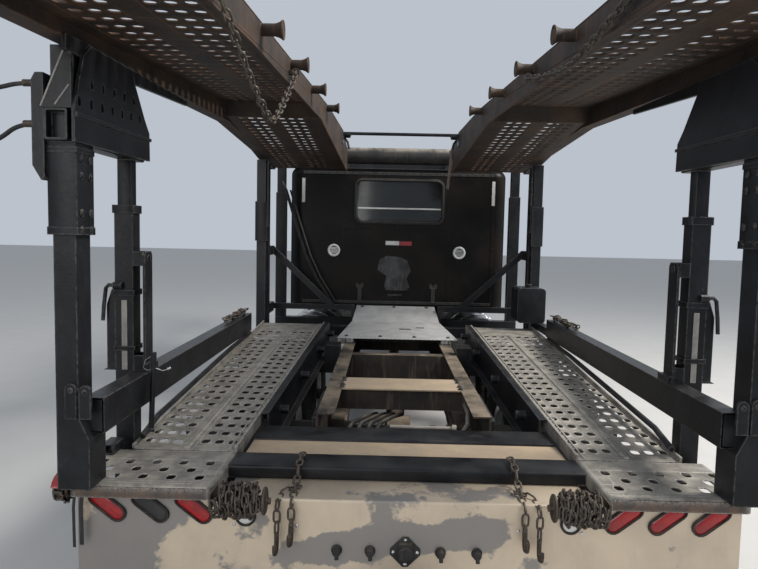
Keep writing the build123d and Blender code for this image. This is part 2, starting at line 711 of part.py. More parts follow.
# Outriggers from the frame, which carry the side rails and the feet of the posts
OUTRIGGER_X = (RAIL_OUT_X, SIDE_TUBE_X[1])
with BuildPart() as side_frames:
    block(
        (STINGER_X[1], POST_X[1]),
        (LIFT_POST[0] - 20.0, LIFT_POST[1] + 60.0),
        (LIFT_FOOT - 100.0, LIFT_FOOT),
    )
    mid = (2420.0, SIDE_TUBE_FRONT)
    profile = (
        (mid[0], RAIL_TOP - 150.0),
        (mid[1], RAIL_TOP - 150.0),
        (mid[1], track_under(mid[1])),
        (mid[0], track_under(mid[0])),
    )
    side_profile(profile, OUTRIGGER_X)
    seat = CHANNEL_DROP / math.cos(SLOPE) + RUNNING_GAP
    notch = [(y, DECK_TOP + math.tan(SLOPE) * (y - SEAM) - seat) for y in mid]
    notch_x = (track_edge(mid[1]) - CHANNEL_LIP - CHANNEL_FOOT - 2.0, track_edge(mid[0]) + 2.0)
    side_profile((*notch, (mid[1], TRACK_FAR_TOP), (mid[0], TRACK_FAR_TOP)), notch_x, mode=Mode.SUBTRACT)
    block((SIDE_TUBE_X[0] + 35.0, SIDE_TUBE_X[1]), mid, (RAIL_TOP - 90.0, SIDE_TUBE_Z[0]))
    block((RAIL_OUT_X, 1270.0), (3640.0, 3740.0), (RAIL_TOP - 60.0, RAIL_TOP + 30.0))
    block((1190.0, 1270.0), (FRONT_POST[0], 3740.0), (RAIL_TOP - 60.0, RAIL_TOP + 30.0))
    block((RAIL_OUT_X, 1230.0), (4220.0, 4320.0), (RAIL_TOP - 60.0, RAIL_TOP + 30.0))
    block(SIDE_TUBE_X, (SIDE_TUBE_REAR, SIDE_TUBE_FRONT), SIDE_TUBE_Z)
    block(
        (SIDE_TUBE_X[0] + 7.0, SIDE_TUBE_X[1] - 7.0),
        (SIDE_TUBE_REAR, SIDE_TUBE_FRONT),
        (SIDE_TUBE_Z[0] + 7.0, SIDE_TUBE_Z[1] - 7.0),
        mode=Mode.SUBTRACT,
    )
    mirror(about=Plane.YZ)
keep(side_frames, "side_frames")

# Upper deck heights, as straight runs of (station, height)
PLATE_LINE = ((UPPER_REAR, 2480.0), (100.0, 2552.0), (UPPER_STEP, 2700.0))
PLATE_FRONT_LINE = ((UPPER_STEP + 60.0, 2612.0), (UPPER_FRONT, 2470.0))
OUTER_LOW = ((UPPER_REAR, 2432.0), (0.0, 2490.0), (2100.0, 2590.0), (3200.0, 2540.0), (UPPER_FRONT, 2450.0))
OUTER_HIGH = ((UPPER_REAR, 2560.0), (0.0, 2630.0), (2050.0, 2755.0), (3200.0, 2690.0), (UPPER_FRONT, 2590.0))
INNER_LOW = ((UPPER_REAR, 2462.0), (100.0, 2536.0), (2000.0, 2600.0), (UPPER_FRONT, 2446.0))
INNER_HIGH = ((UPPER_REAR, 2600.0), (0.0, 2645.0), (1000.0, 2695.0), (2400.0, 2762.0), (3500.0, 2766.0), (UPPER_FRONT, 2660.0))


def height_at(line, station):
    """The height of a line of straight runs at a station."""
    for (y0, z0), (y1, z1) in zip(line, line[1:]):
        if y0 <= station <= y1:
            return z0 + (z1 - z0) * (station - y0) / (y1 - y0)
    raise ValueError(f"station {station} is off the line")


REAR_POST_TOP = height_at(OUTER_LOW, REAR_POST[0]) - POST_HEADROOM
FRONT_POST_TOP = height_at(OUTER_LOW, FRONT_POST[1]) - POST_HEADROOM

# Fixed posts: the rear post on its base box, and the lift post that the inner tube slides in
with BuildPart() as deck_posts:
    block(POST_X, REAR_POST, (POST_BASE_TOP, REAR_POST_TOP))
    with BuildSketch(Plane.XZ.offset(-at(REAR_POST[0]))) as base:
        with BuildLine():
            Polyline(
                (POST_X[1], DECK_TOP),
                (POST_X[1], POST_BASE_TOP),
                (POST_X[0], POST_BASE_TOP),
                (POST_X[0] - POST_BASE_OUT, POST_BASE_TOP - POST_BASE_TAPER),
                (POST_X[0] - POST_BASE_OUT, DECK_TOP),
                close=True,
            )
        make_face()
    extrude(base.sketch, amount=-(REAR_POST[1] + 25.0 - REAR_POST[0]))
    block((SIDE_TUBE_X[0], POST_X[0]), (SIDE_TUBE_REAR, 100.0), SIDE_TUBE_Z, mode=Mode.SUBTRACT)
    block(POST_X, LIFT_POST, (LIFT_FOOT, LIFT_POST_TOP))
    block(
        (POST_X[0] + POST_WALL, POST_X[1] - POST_WALL),
        (LIFT_POST[0] + POST_WALL, LIFT_POST[1] - POST_WALL),
        (LIFT_FOOT + 60.0, LIFT_POST_TOP),
        mode=Mode.SUBTRACT,
    )
    block((POST_X[0] - 5.0, POST_X[1]), (LIFT_POST[0] - 15.0, LIFT_POST[1] + 45.0), (LIFT_FOOT, LIFT_FOOT + 12.0))
    block(FRONT_POST_X, FRONT_POST, (FRONT_POST_FOOT, FRONT_POST_TOP))
    block(FRONT_POST_X, (3600.0, 3680.0), (FRONT_POST_FOOT, FRONT_POST_TOP - 60.0))
    mirror(about=Plane.YZ)
keep(deck_posts, "deck_posts")

# Behind the cab: cross beam, diagonal braces, tread-plate catwalk and the oil tank
BRACE_BEAM = (3860.0, 3910.0)
BRACE_BEAM_Z = (1115.0, 1168.0)
with BuildPart() as cab_braces:
    block((405.0, FRONT_POST_X[0]), BRACE_BEAM, BRACE_BEAM_Z)
    with BuildSketch(Plane.XZ.offset(-at(BRACE_BEAM[0]))) as brace:
        with BuildLine():
            Polyline((600.0, 1168.0), (680.0, 1168.0), (1190.0, 1640.0), (1190.0, 1715.0), close=True)
        make_face()
    extrude(brace.sketch, amount=-50.0)
    block((405.0, RAIL_OUT_X), BRACE_BEAM, (RAIL_TOP, BRACE_BEAM_Z[0]))
    block((1190.0, 1270.0), (3685.0, BRACE_BEAM[1]), (1090.0, 1180.0))
    block((1190.0, 1270.0), (3685.0, BRACE_BEAM[1]), (1635.0, 1720.0))
    block((1190.0, 1270.0), (3680.0, 3690.0), (1090.0, 1180.0))
    block((1190.0, 1270.0), (3680.0, 3690.0), (1635.0, 1720.0))
    mirror(about=Plane.YZ)
keep(cab_braces, "cab_braces")

CATWALK_T = 5.0
CATWALK = ((2880.0, 1003.0), (3700.0, 1030.0), (4000.0, 1148.0))
with BuildPart() as catwalk:
    top = CATWALK
    under = tuple((y, z - CATWALK_T) for y, z in reversed(CATWALK))
    side_profile(top + under, (-495.0, 495.0))
    with BuildSketch(Plane.XY.offset(900.0)) as taper:
        with BuildLine():
            Polyline(
                (-500.0, at(2800.0)),
                (500.0, at(2800.0)),
                (480.0, at(3000.0)),
                (375.0, at(4010.0)),
                (-385.0, at(4010.0)),
                (-480.0, at(3000.0)),
                close=True,
            )
        make_face()
    extrude(taper.sketch, amount=400.0, mode=Mode.INTERSECT)
    for station in (2940.0, 3600.0):
        top_z = height_at(CATWALK, station) - CATWALK_T
        for _, side in LEFT_RIGHT:
            block((side * 360.0, side * 420.0), (station - 20.0, station + 20.0), (RAIL_TOP, top_z))
keep(catwalk, "catwalk")

OIL_TANK_X = (960.0, 1185.0)
OIL_TANK = (2850.0, 3110.0)
OIL_TANK_Z = (1160.0, 1440.0)
with BuildPart() as oil_tank:
    block(OIL_TANK_X, OIL_TANK, OIL_TANK_Z)
    fillet(oil_tank.edges().filter_by(Axis.Y), 30.0)
    rod_z(26.0, 1060.0, 2930.0, (OIL_TANK_Z[1], OIL_TANK_Z[1] + 30.0))
    block((1130.0, OIL_TANK_X[1]), (SIDE_TUBE_FRONT, OIL_TANK[1]), (SIDE_TUBE_Z[0], OIL_TANK_Z[0]))
keep(oil_tank, "oil_tank")

with BuildPart() as mud_flaps:
    block((640.0, 1220.0), (1250.0, 1258.0), (180.0, 780.0))
    block((OUTRIGGER_X[0] + STINGER_T, 1220.0), (1258.0, 1290.0), (740.0, 780.0))
    mirror(about=Plane.YZ)
keep(mud_flaps, "mud_flaps")

# Lip spools: a shaft with a flange at its end, on a bracket at each platform's inner side
SPOOL_X = (525.0, DECK_IN_X - 8.0)
SPOOL_Y = -32.0
SPOOL_Z = DECK_TOP - 38.0
SPOOL_R = 20.0
SPOOL_FLANGE_R = 50.0
SPOOL_FLANGE_T = 10.0
SPOOL_PLATE = 30.0
with BuildPart() as lip_spools:
    rod_x(SPOOL_R, SPOOL_X, SPOOL_Y, SPOOL_Z)
    rod_x(SPOOL_FLANGE_R, (SPOOL_X[0], SPOOL_X[0] + SPOOL_FLANGE_T), SPOOL_Y, SPOOL_Z)
    rod_x(14.0, (SPOOL_X[0] - 18.0, SPOOL_X[0]), SPOOL_Y, SPOOL_Z)
    block(
        (SPOOL_X[1], DECK_IN_X - RUNNING_GAP),
        (SPOOL_Y - SPOOL_PLATE, PANEL_Y - 1.0),
        (SPOOL_Z - SPOOL_PLATE, SPOOL_Z + SPOOL_PLATE),
    )
    mirror(about=Plane.YZ)
keep(lip_spools, "lip_spools")

# Chains: links of square wire, each turned a quarter from the last and just touching the next
LINK_WIRE = 9.0
LINK_INSIDE = (40.0, 15.0)
LINK_PITCH = LINK_INSIDE[0] + 1.0
LINK_CHAMFER = 9.0
LINK_HALF = LINK_INSIDE[1] / 2 + LINK_WIRE
WIND = (540.0, 705.0)
WIND_R = (66.0, 74.0)
WIND_TURNS = 6
HOOK_X = 440.0
HOOK_T = 14.0
with BuildPart() as link_part:
    with BuildSketch() as link_outline:
        Rectangle(LINK_INSIDE[0] + 2 * LINK_WIRE, LINK_INSIDE[1] + 2 * LINK_WIRE)
        chamfer(link_outline.vertices(), LINK_CHAMFER)
        Rectangle(*LINK_INSIDE, mode=Mode.SUBTRACT)
    extrude(link_outline.sketch, amount=LINK_WIRE / 2, both=True)


def chain(route, first_turn=0):
    """The links along a route of (x, station, height) points, as a list of solids."""
    points = [Vector(x, at(station), height) for x, station, height in route]
    links = []
    spent = LINK_PITCH / 2
    for start, end in zip(points, points[1:]):
        run = end - start
        while spent < run.length:
            flat = Plane(origin=start + run.normalized() * spent, x_dir=run, z_dir=run.cross(Vector(0.31, 0.2, 0.93)))
            quarter = 90 * ((len(links) + first_turn) % 2)
            links.append(link_part.part.moved(Location(flat) * Rot(quarter, 0, 0)))
            spent += LINK_PITCH
        spent -= run.length
    return links


HOOK_OUTLINE = (  # station, depth below the chain's end
    (6.0, 0.0),
    (6.0, -52.0),
    (-22.0, -52.0),
    (-22.0, -34.0),
    (-36.0, -34.0),
    (-36.0, -68.0),
    (20.0, -68.0),
    (20.0, 0.0),
)
HOOK_END = DECK_TOP - 152.0
with BuildPart() as lip_chains:
    for _, side in LEFT_RIGHT:
        step = (WIND[1] - WIND[0]) / (2 * WIND_TURNS)
        turns = [(side * (WIND[0] + number * step), WIND_R[number % 2]) for number in range(2 * WIND_TURNS + 1)]
        bore = SPOOL_R + RUNNING_GAP
        turned(0.0, SPOOL_Y, (*turns, (side * WIND[1], bore), (side * WIND[0], bore)), SPOOL_Z)
        on_tube = TUBE_TOP + LINK_HALF + 2 * RUNNING_GAP
        drape = (
            (side * HOOK_X, REAR_TUBE[1] - 30.0, on_tube),
            (side * HOOK_X, REAR_TUBE[0] - 10.0, on_tube),
            (side * HOOK_X, REAR_TUBE[0] - 28.0, TUBE_TOP - 30.0),
            (side * HOOK_X, PANEL_Y - 24.0, FLANGE_TOP + 26.0),
            (side * HOOK_X, PANEL_Y - 24.0, HOOK_END - 8.0),
        )
        add(chain(drape, 1))
        hook = [(PANEL_Y - 31.0 + station, HOOK_END + depth) for station, depth in HOOK_OUTLINE]
        side_profile(hook, (side * HOOK_X - HOOK_T / 2, side * HOOK_X + HOOK_T / 2))
keep(lip_chains, "lip_chains")

# Upper deck: on each side a perforated runway between a deep outer and a tapering inner beam
INNER_ANGLE = math.atan2(UPPER_IN_X[1] - UPPER_IN_X[0], UPPER_FRONT - UPPER_REAR)
INNER_LENGTH = math.hypot(UPPER_IN_X[1] - UPPER_IN_X[0], UPPER_FRONT - UPPER_REAR)
UPPER_LANES = (762.0, 1034.0)
UPPER_SLOT = (160.0, 65.0)
UPPER_SLOT_PITCH = 243.0
UPPER_ROWS = ((-870.0, 12), (2130.0, 7))  # first station, rows
STUBS = (230.0, 870.0, 1550.0, 2300.0)
STUB_R = 24.0
STUB_CAP_R = 36.0
STUB_OUT = 85.0


def inner_edge(station):
    """How far from the middle the upper deck's inner edge is at a station."""
    along = (station - UPPER_REAR) / (UPPER_FRONT - UPPER_REAR)
    return UPPER_IN_X[0] + (UPPER_IN_X[1] - UPPER_IN_X[0]) * along


with BuildPart() as upper_tracks:
    plate_top = PLATE_LINE + PLATE_FRONT_LINE
    plate_low = tuple((y, z - UPPER_PLATE) for y, z in reversed(plate_top))
    side_profile(plate_top + plate_low, (400.0, UPPER_OUT_X - UPPER_BEAM))
    with BuildSketch(Plane.XY.offset(2300.0)) as plan:
        with BuildLine():
            Polyline(
                (UPPER_IN_X[0], at(UPPER_REAR)),
                (UPPER_OUT_X, at(UPPER_REAR)),
                (UPPER_OUT_X, at(UPPER_FRONT)),
                (UPPER_IN_X[1], at(UPPER_FRONT)),
                close=True,
            )
        make_face()
    extrude(plan.sketch, amount=600.0, mode=Mode.INTERSECT)
    with BuildSketch(Plane.XY.offset(2300.0)) as openings:
        for first, count in UPPER_ROWS:
            for number in range(count):
                for lane in UPPER_LANES:
                    with Locations((lane, at(first + number * UPPER_SLOT_PITCH))):
                        Rectangle(*UPPER_SLOT)
    extrude(openings.sketch, amount=600.0, mode=Mode.SUBTRACT)
    side_profile(OUTER_HIGH + tuple(reversed(OUTER_LOW)), (UPPER_OUT_X - UPPER_BEAM, UPPER_OUT_X))
    inner_plane = Plane(
        origin=(UPPER_IN_X[0], at(UPPER_REAR), 0),
        x_dir=(math.sin(INNER_ANGLE), math.cos(INNER_ANGLE), 0),
        z_dir=(math.cos(INNER_ANGLE), -math.sin(INNER_ANGLE), 0),
    )
    stretch = INNER_LENGTH / (UPPER_FRONT - UPPER_REAR)
    inner_outline = INNER_HIGH + tuple(reversed(INNER_LOW))
    with BuildSketch(inner_plane) as inner:
        with BuildLine():
            Polyline(*[((y - UPPER_REAR) * stretch, z) for y, z in inner_outline], close=True)
        make_face()
    extrude(inner.sketch, amount=INNER_BEAM)
    for station in STUBS:
        edge = inner_edge(station)
        z = height_at(INNER_HIGH, station) - STUB_R - 6.0
        rod_x(STUB_R, (edge + 20.0, edge - STUB_OUT), station, z)
        rod_x(STUB_CAP_R, (edge - STUB_OUT + 14.0, edge - STUB_OUT), station, z)
    mirror(about=Plane.YZ)
keep(upper_tracks, "upper_tracks")

# Deck chains: loops that hang from eyes on the inner beams and end at the stubs
EYE = 9.0
DECK_CHAINS = (  # the eye's side, station and height, then the route's (x, station, height) points
    (
        (-1, -500.0, 2585.0),
        (
            (-606.0, -500.0, 2570.0),
            (-556.0, -300.0, 2450.0),
            (-556.0, -100.0, 2352.0),
            (-556.0, 150.0, 2312.0),
            (-556.0, 400.0, 2318.0),
            (-556.0, 600.0, 2400.0),
            (-556.0, 720.0, 2500.0),
            (-556.0, 820.0, 2604.0),
        ),
    ),
    (
        (1, -480.0, 2585.0),
        (
            (606.0, -480.0, 2580.0),
            (592.0, -60.0, 2552.0),
            (584.0, 100.0, 2530.0),
            (576.0, 260.0, 2515.0),
            (566.0, 430.0, 2518.0),
            (558.0, 640.0, 2545.0),
            (554.0, 820.0, 2602.0),
        ),
    ),
)
with BuildPart() as deck_chains:
    for (side, station, height), route in DECK_CHAINS:
        eye_out = inner_edge(station + EYE) - RUNNING_GAP
        block(
            (side * (eye_out - 26.0), side * eye_out),
            (station - EYE, station + EYE),
            (height - 2 * EYE, height + EYE),
        )
        add(chain(route))
keep(deck_chains, "deck_chains")

# What carries the upper deck: sleeves on the posts, gussets, box tubes and the inner lift tubes
SLEEVE_T = 12.0
SLEEVE_GAP = 0.5
SLEEVE_Z = (1830.0, 2300.0)
FRONT_SLEEVE_Z = (1770.0, 2120.0)
GUSSET_X = (UPPER_OUT_X - UPPER_BEAM - SLEEVE_T, UPPER_OUT_X - UPPER_BEAM)
BOX_TUBE_Z = (2145.0, 2252.0)
BOX_TUBE_FRONT = 580.0
BOX_TUBE_REAR = -120.0
LIFT_TUBE_LOW = 1150.0
SLOT = (46.0, 22.0)
SLOT_ROWS = ((-90.0, 2318.0, 7), (30.0, 2400.0, 5))
SLOT_PITCH = 84.0
HOSE_BLOCK_X = (1290.0, 1330.0)
HOSE_BLOCK = (-95.0, -5.0)
HOSE_BLOCK_Z = (2010.0, 2375.0)
GUSSET_TOP = height_at(PLATE_LINE, BOX_TUBE_REAR) - UPPER_PLATE - 4.0


def sleeve(post_x, post_y, heights):
    """A square sleeve with a running gap on an upright post, in the open part."""
    room = SLEEVE_GAP + SLEEVE_T
    block(
        (post_x[0] - room, post_x[1] + room),
        (post_y[0] - room, post_y[1] + room),
        heights,
    )


def bore_post(post_x, post_y, heights):
    """Clears the post's own space, with its running gap, in the open part."""
    block(
        (post_x[0] - SLEEVE_GAP, post_x[1] + SLEEVE_GAP),
        (post_y[0] - SLEEVE_GAP, post_y[1] + SLEEVE_GAP),
        heights,
        mode=Mode.SUBTRACT,
    )


with BuildPart() as lift_brackets:
    sleeve(POST_X, REAR_POST, SLEEVE_Z)
    gusset = (
        (BOX_TUBE_REAR, BOX_TUBE_Z[0]),
        (510.0, BOX_TUBE_Z[0]),
        (500.0, 2275.0),
        (365.0, 2365.0),
        (365.0, GUSSET_TOP),
        (BOX_TUBE_REAR, GUSSET_TOP),
    )
    side_profile(gusset, GUSSET_X)
    block(POST_X, (BOX_TUBE_REAR, BOX_TUBE_FRONT), BOX_TUBE_Z)
    block(
        (POST_X[0] + 8.0, POST_X[1] - 8.0),
        (REAR_POST[1] + 20.0, BOX_TUBE_FRONT),
        (BOX_TUBE_Z[0] + 8.0, BOX_TUBE_Z[1] - 8.0),
        mode=Mode.SUBTRACT,
    )
    block(
        (POST_X[0] + 8.0, POST_X[1] - 8.0),
        (BOX_TUBE_REAR, REAR_POST[0] - 20.0),
        (BOX_TUBE_Z[0] + 8.0, BOX_TUBE_Z[1] - 8.0),
        mode=Mode.SUBTRACT,
    )
    with BuildSketch(Plane.YZ.offset(GUSSET_X[0])) as slots:
        for first, height, count in SLOT_ROWS:
            for number in range(count):
                with Locations((at(first + number * SLOT_PITCH), height)):
                    SlotOverall(*SLOT)
    extrude(slots.sketch, amount=SLEEVE_T - 1.0, mode=Mode.SUBTRACT)
    bore_post(POST_X, REAR_POST, (SLEEVE_Z[0], REAR_POST_TOP + POST_HEADROOM))
    block(
        (POST_X[0] + POST_WALL + SLEEVE_GAP, POST_X[1] - POST_WALL - SLEEVE_GAP),
        (LIFT_POST[0] + POST_WALL + SLEEVE_GAP, LIFT_POST[1] - POST_WALL - SLEEVE_GAP),
        (LIFT_TUBE_LOW, BOX_TUBE_Z[0] + 8.0),
    )
    sleeve(FRONT_POST_X, FRONT_POST, FRONT_SLEEVE_Z)
    arm_x = (FRONT_POST_X[0] - SLEEVE_GAP - 2 * SLEEVE_T, FRONT_POST_X[0] - SLEEVE_GAP - SLEEVE_T)
    arm_top = height_at(PLATE_FRONT_LINE, FRONT_POST[1]) - UPPER_PLATE - RUNNING_GAP
    block(arm_x, FRONT_POST, (FRONT_SLEEVE_Z[0] + 120.0, arm_top))
    bore_post(FRONT_POST_X, FRONT_POST, FRONT_SLEEVE_Z)
    sleeve_out = POST_X[1] + SLEEVE_GAP + SLEEVE_T
    block((sleeve_out, HOSE_BLOCK_X[0]), HOSE_BLOCK, SLEEVE_Z)
    block(HOSE_BLOCK_X, HOSE_BLOCK, HOSE_BLOCK_Z)
    mirror(about=Plane.YZ)
keep(lift_brackets, "lift_brackets")

CROSS_BAR = 3480.0
CROSS_BAR_R = 14.0
with BuildPart() as upper_cross_bar:
    reach = inner_edge(CROSS_BAR + CROSS_BAR_R) - RUNNING_GAP
    rod_x(CROSS_BAR_R, (-reach, reach), CROSS_BAR, 2736.0)
keep(upper_cross_bar, "upper_cross_bar")

# Headrack: two runways over the cab on telescoping posts behind the cab and on the bumper
RACK_POST_X = (1130.0, 1230.0)
RACK_REAR_POST = (4220.0, 4320.0)
RACK_FRONT_POST_X = (1150.0, 1230.0)
RACK_FRONT_POST = (8105.0, 8185.0)
RACK_HOUSING_TOP = (2250.0, 2150.0)
RACK_BEAM = 60.0
RACK_TUBE_Z = RACK_BOTTOM - 5.0
RACK_TUBE_R = 38.0
RACK_CROSS = (5600.0, 7000.0, 8300.0)
RACK_TUBE_LOW = 1500.0
RACK_ROWS = 12
RACK_SLOT_START = 4400.0
RACK_SLOT_PITCH = 340.0
RACK_LANES = (740.0, 990.0)
RACK_POSTS = (
    (RACK_POST_X, RACK_REAR_POST, RAIL_TOP + 30.0, RACK_HOUSING_TOP[0]),
    (RACK_FRONT_POST_X, RACK_FRONT_POST, BUMPER_Z[1], RACK_HOUSING_TOP[1]),
)
with BuildPart() as rack_posts:
    for post_x, post_y, foot, top in RACK_POSTS:
        block(post_x, post_y, (foot, top))
        block(
            (post_x[0] + POST_WALL, post_x[1] - POST_WALL),
            (post_y[0] + POST_WALL, post_y[1] - POST_WALL),
            (RACK_TUBE_LOW - 400.0, top),
            mode=Mode.SUBTRACT,
        )
    mirror(about=Plane.YZ)
keep(rack_posts, "rack_posts")

RACK_OUT = RACK_POST_X[1]
with BuildPart() as headrack:
    for x in ((RACK_IN_X, RACK_IN_X + RACK_BEAM), (RACK_OUT - RACK_BEAM, RACK_OUT)):
        block(x, (RACK_REAR + 60.0, RACK_FRONT), (RACK_BOTTOM, RACK_BOTTOM + RACK_DEPTH))
    block(
        (RACK_IN_X, RACK_OUT),
        (RACK_REAR + 60.0, RACK_FRONT),
        (RACK_BOTTOM + 40.0, RACK_BOTTOM + 48.0),
    )
    for number in range(RACK_ROWS):
        station = RACK_SLOT_START + number * RACK_SLOT_PITCH
        for lane in RACK_LANES:
            block(
                (lane - UPPER_SLOT[0] / 2, lane + UPPER_SLOT[0] / 2),
                (station - UPPER_SLOT[1] / 2, station + UPPER_SLOT[1] / 2),
                (RACK_BOTTOM + 30.0, RACK_BOTTOM + 60.0),
                mode=Mode.SUBTRACT,
            )
    block((RACK_IN_X, RACK_OUT), (4200.0, 4340.0), (RACK_BOTTOM, RACK_BOTTOM + 40.0))
    block((RACK_IN_X, RACK_OUT), (8090.0, 8200.0), (RACK_BOTTOM, RACK_BOTTOM + 40.0))
    room = POST_WALL + SLEEVE_GAP
    for post_x, post_y, foot, top in RACK_POSTS:
        block(
            (post_x[0] + room, post_x[1] - room),
            (post_y[0] + room, post_y[1] - room),
            (RACK_TUBE_LOW, RACK_BOTTOM + 20.0),
        )
    mirror(about=Plane.YZ)
    for station in RACK_CROSS:
        block((-RACK_IN_X, RACK_IN_X), (station - 40.0, station + 40.0), (RACK_BOTTOM, RACK_BOTTOM + 80.0))
    rod_x(RACK_TUBE_R, (-RACK_OUT + 10.0, RACK_OUT - 10.0), RACK_REAR + 60.0, RACK_TUBE_Z)
keep(headrack, "headrack")

# Sleeper: a rounded box with a rear window, open to the cab through its front wall
SLEEPER_WINDOW = (-400.0, 425.0, 1983.0, 2366.0)
WINDOW_R = 55.0
GLASS_T = 6.0
with BuildPart() as sleeper_shell:
    block((-SLEEPER_X, SLEEPER_X), (SLEEPER_REAR, SLEEPER_FRONT), (CAB_FLOOR, SLEEPER_TOP))
    rear_uprights = sleeper_shell.edges().filter_by(Axis.Z).group_by(Axis.Y)[0]
    fillet(rear_uprights, SLEEPER_CORNER)
    top_edges = sleeper_shell.faces().sort_by(Axis.Z)[-1].edges()
    fillet([e for e in top_edges if e.center().Y < at(SLEEPER_FRONT) - 10.0], 80.0)
    inner_half, inner_rear = SLEEPER_X - WALL, at(SLEEPER_REAR + WALL)
    with BuildSketch(Plane.XY.offset(CAB_FLOOR + WALL)) as room:
        with BuildLine():
            Polyline(
                (-inner_half, at(SLEEPER_FRONT - WALL)),
                (-inner_half, inner_rear),
                (inner_half, inner_rear),
                (inner_half, at(SLEEPER_FRONT - WALL)),
                close=True,
            )
        make_face()
        fillet(room.vertices().group_by(Axis.Y)[0], SLEEPER_CORNER - WALL)
    extrude(room.sketch, amount=SLEEPER_TOP - CAB_FLOOR - 2 * WALL, mode=Mode.SUBTRACT)
    block(
        (-CAB_X + 150.0, CAB_X - 150.0),
        (SLEEPER_FRONT - WALL, SLEEPER_FRONT),
        (CAB_FLOOR + WALL, CAB_TOP - 120.0),
        mode=Mode.SUBTRACT,
    )
    with BuildSketch(Plane.XZ.offset(-at(SLEEPER_REAR))) as opening:
        x0, x1, z0, z1 = SLEEPER_WINDOW
        with Locations(((x0 + x1) / 2, (z0 + z1) / 2)):
            RectangleRounded(x1 - x0, z1 - z0, WINDOW_R)
    extrude(opening.sketch, amount=-WALL, mode=Mode.SUBTRACT)
    for side in (-1, 1):
        block((side * 370.0 - 62.0, side * 370.0 + 62.0), (SLEEPER_REAR + 60.0, SLEEPER_FRONT), (RAIL_TOP, CAB_FLOOR))
keep(sleeper_shell, "sleeper_shell")

# Cab: the walls from the sleeper to the cowl, with door openings, a sloping windscreen and
# a toe board that leans back from the fenders' swing
TOE_BOARD = 6470.0
TOE_BOARD_Z = 1340.0
CAB_SIDE = (
    (SLEEPER_FRONT, CAB_FLOOR),
    (TOE_BOARD, CAB_FLOOR),
    (COWL, TOE_BOARD_Z),
    (COWL, COWL_Z),
    (WINDSCREEN_TOP, CAB_TOP - 40.0),
    (WINDSCREEN_TOP - 160.0, CAB_TOP),
    (SLEEPER_FRONT, CAB_TOP),
)
CAB_INSIDE = (
    (SLEEPER_FRONT, CAB_FLOOR + WALL),
    (TOE_BOARD - WALL, CAB_FLOOR + WALL),
    (COWL - WALL, TOE_BOARD_Z),
    (COWL - WALL, COWL_Z),
    (WINDSCREEN_TOP - WALL, CAB_TOP - 80.0),
    (WINDSCREEN_TOP - 175.0, CAB_TOP - WALL),
    (SLEEPER_FRONT, CAB_TOP - WALL),
)
DOOR_OUTLINE = (
    (5240.0, 1160.0),
    (6240.0, 1160.0),
    (6240.0, 1800.0),
    (6010.0, 2310.0),
    (5240.0, 2310.0),
)
GLASS_OUTLINE = (
    (5330.0, 1790.0),
    (6140.0, 1790.0),
    (5950.0, 2230.0),
    (5330.0, 2230.0),
)
SCREEN_LEAN = math.atan2(COWL - WINDSCREEN_TOP, CAB_TOP - 40.0 - COWL_Z)
screen_plane = Plane(
    origin=(0, at(COWL), COWL_Z),
    x_dir=(1, 0, 0),
    z_dir=(0, math.cos(SCREEN_LEAN), math.sin(SCREEN_LEAN)),
)
SCREEN_H = 560.0
SCREEN_W = 1720.0
HINGE_PIN_R = 9.0
HINGES = (1330.0, 1700.0)
with BuildPart() as cab_shell:
    side_profile(CAB_SIDE, (-CAB_X, CAB_X))
    side_profile(CAB_INSIDE, (-CAB_X + DOOR_WALL, CAB_X - DOOR_WALL), mode=Mode.SUBTRACT)
    for side in (-1, 1):
        side_profile(DOOR_OUTLINE, (side * (CAB_X - DOOR_WALL), side * CAB_X), mode=Mode.SUBTRACT)
    with BuildSketch(screen_plane) as screen:
        with Locations((0, -360.0)):
            RectangleRounded(SCREEN_W, SCREEN_H, 60.0)
    extrude(screen.sketch, amount=60.0, both=True, mode=Mode.SUBTRACT)
    for side in (-1, 1):
        for height in HINGES:
            for low in (height - 26.0, height + 14.3):
                block(
                    (side * (CAB_X - 5.0), side * (DOOR_HINGE_X + 12.0)),
                    (DOOR_HINGE - 2.0, DOOR_HINGE + 40.0),
                    (low, low + 12.0),
                )
            rod_z(HINGE_PIN_R, side * DOOR_HINGE_X, DOOR_HINGE, (height - 26.0, height + 26.0))
        block((side * 370.0 - 62.0, side * 370.0 + 62.0), (SLEEPER_FRONT + 60.0, 5700.0), (RAIL_TOP, CAB_FLOOR))
keep(cab_shell, "cab_shell")

# Doors: a thick panel with its window cut, hinge lugs on the cab's pins and a mirror on a bent arm
LUG_HALF = 13.7
MIRROR_ARM_R = 12.0


def bar(start, end, radius, mode=Mode.ADD):
    """A round bar between two (x, station, height) points, in the open part."""
    first = Vector(start[0], at(start[1]), start[2])
    run = Vector(end[0], at(end[1]), end[2]) - first
    with BuildSketch(Plane(origin=first, z_dir=run)) as section:
        Circle(radius)
    extrude(section.sketch, amount=run.length, mode=mode)


def inset(outline, gap):
    """An outline of (station, height) points moved in by a gap on every side."""
    with BuildSketch(Plane.YZ) as shape:
        with BuildLine():
            Polyline(*[(at(station), height) for station, height in outline], close=True)
        make_face()
        offset(amount=-gap, kind=Kind.INTERSECTION)
    return shape.sketch


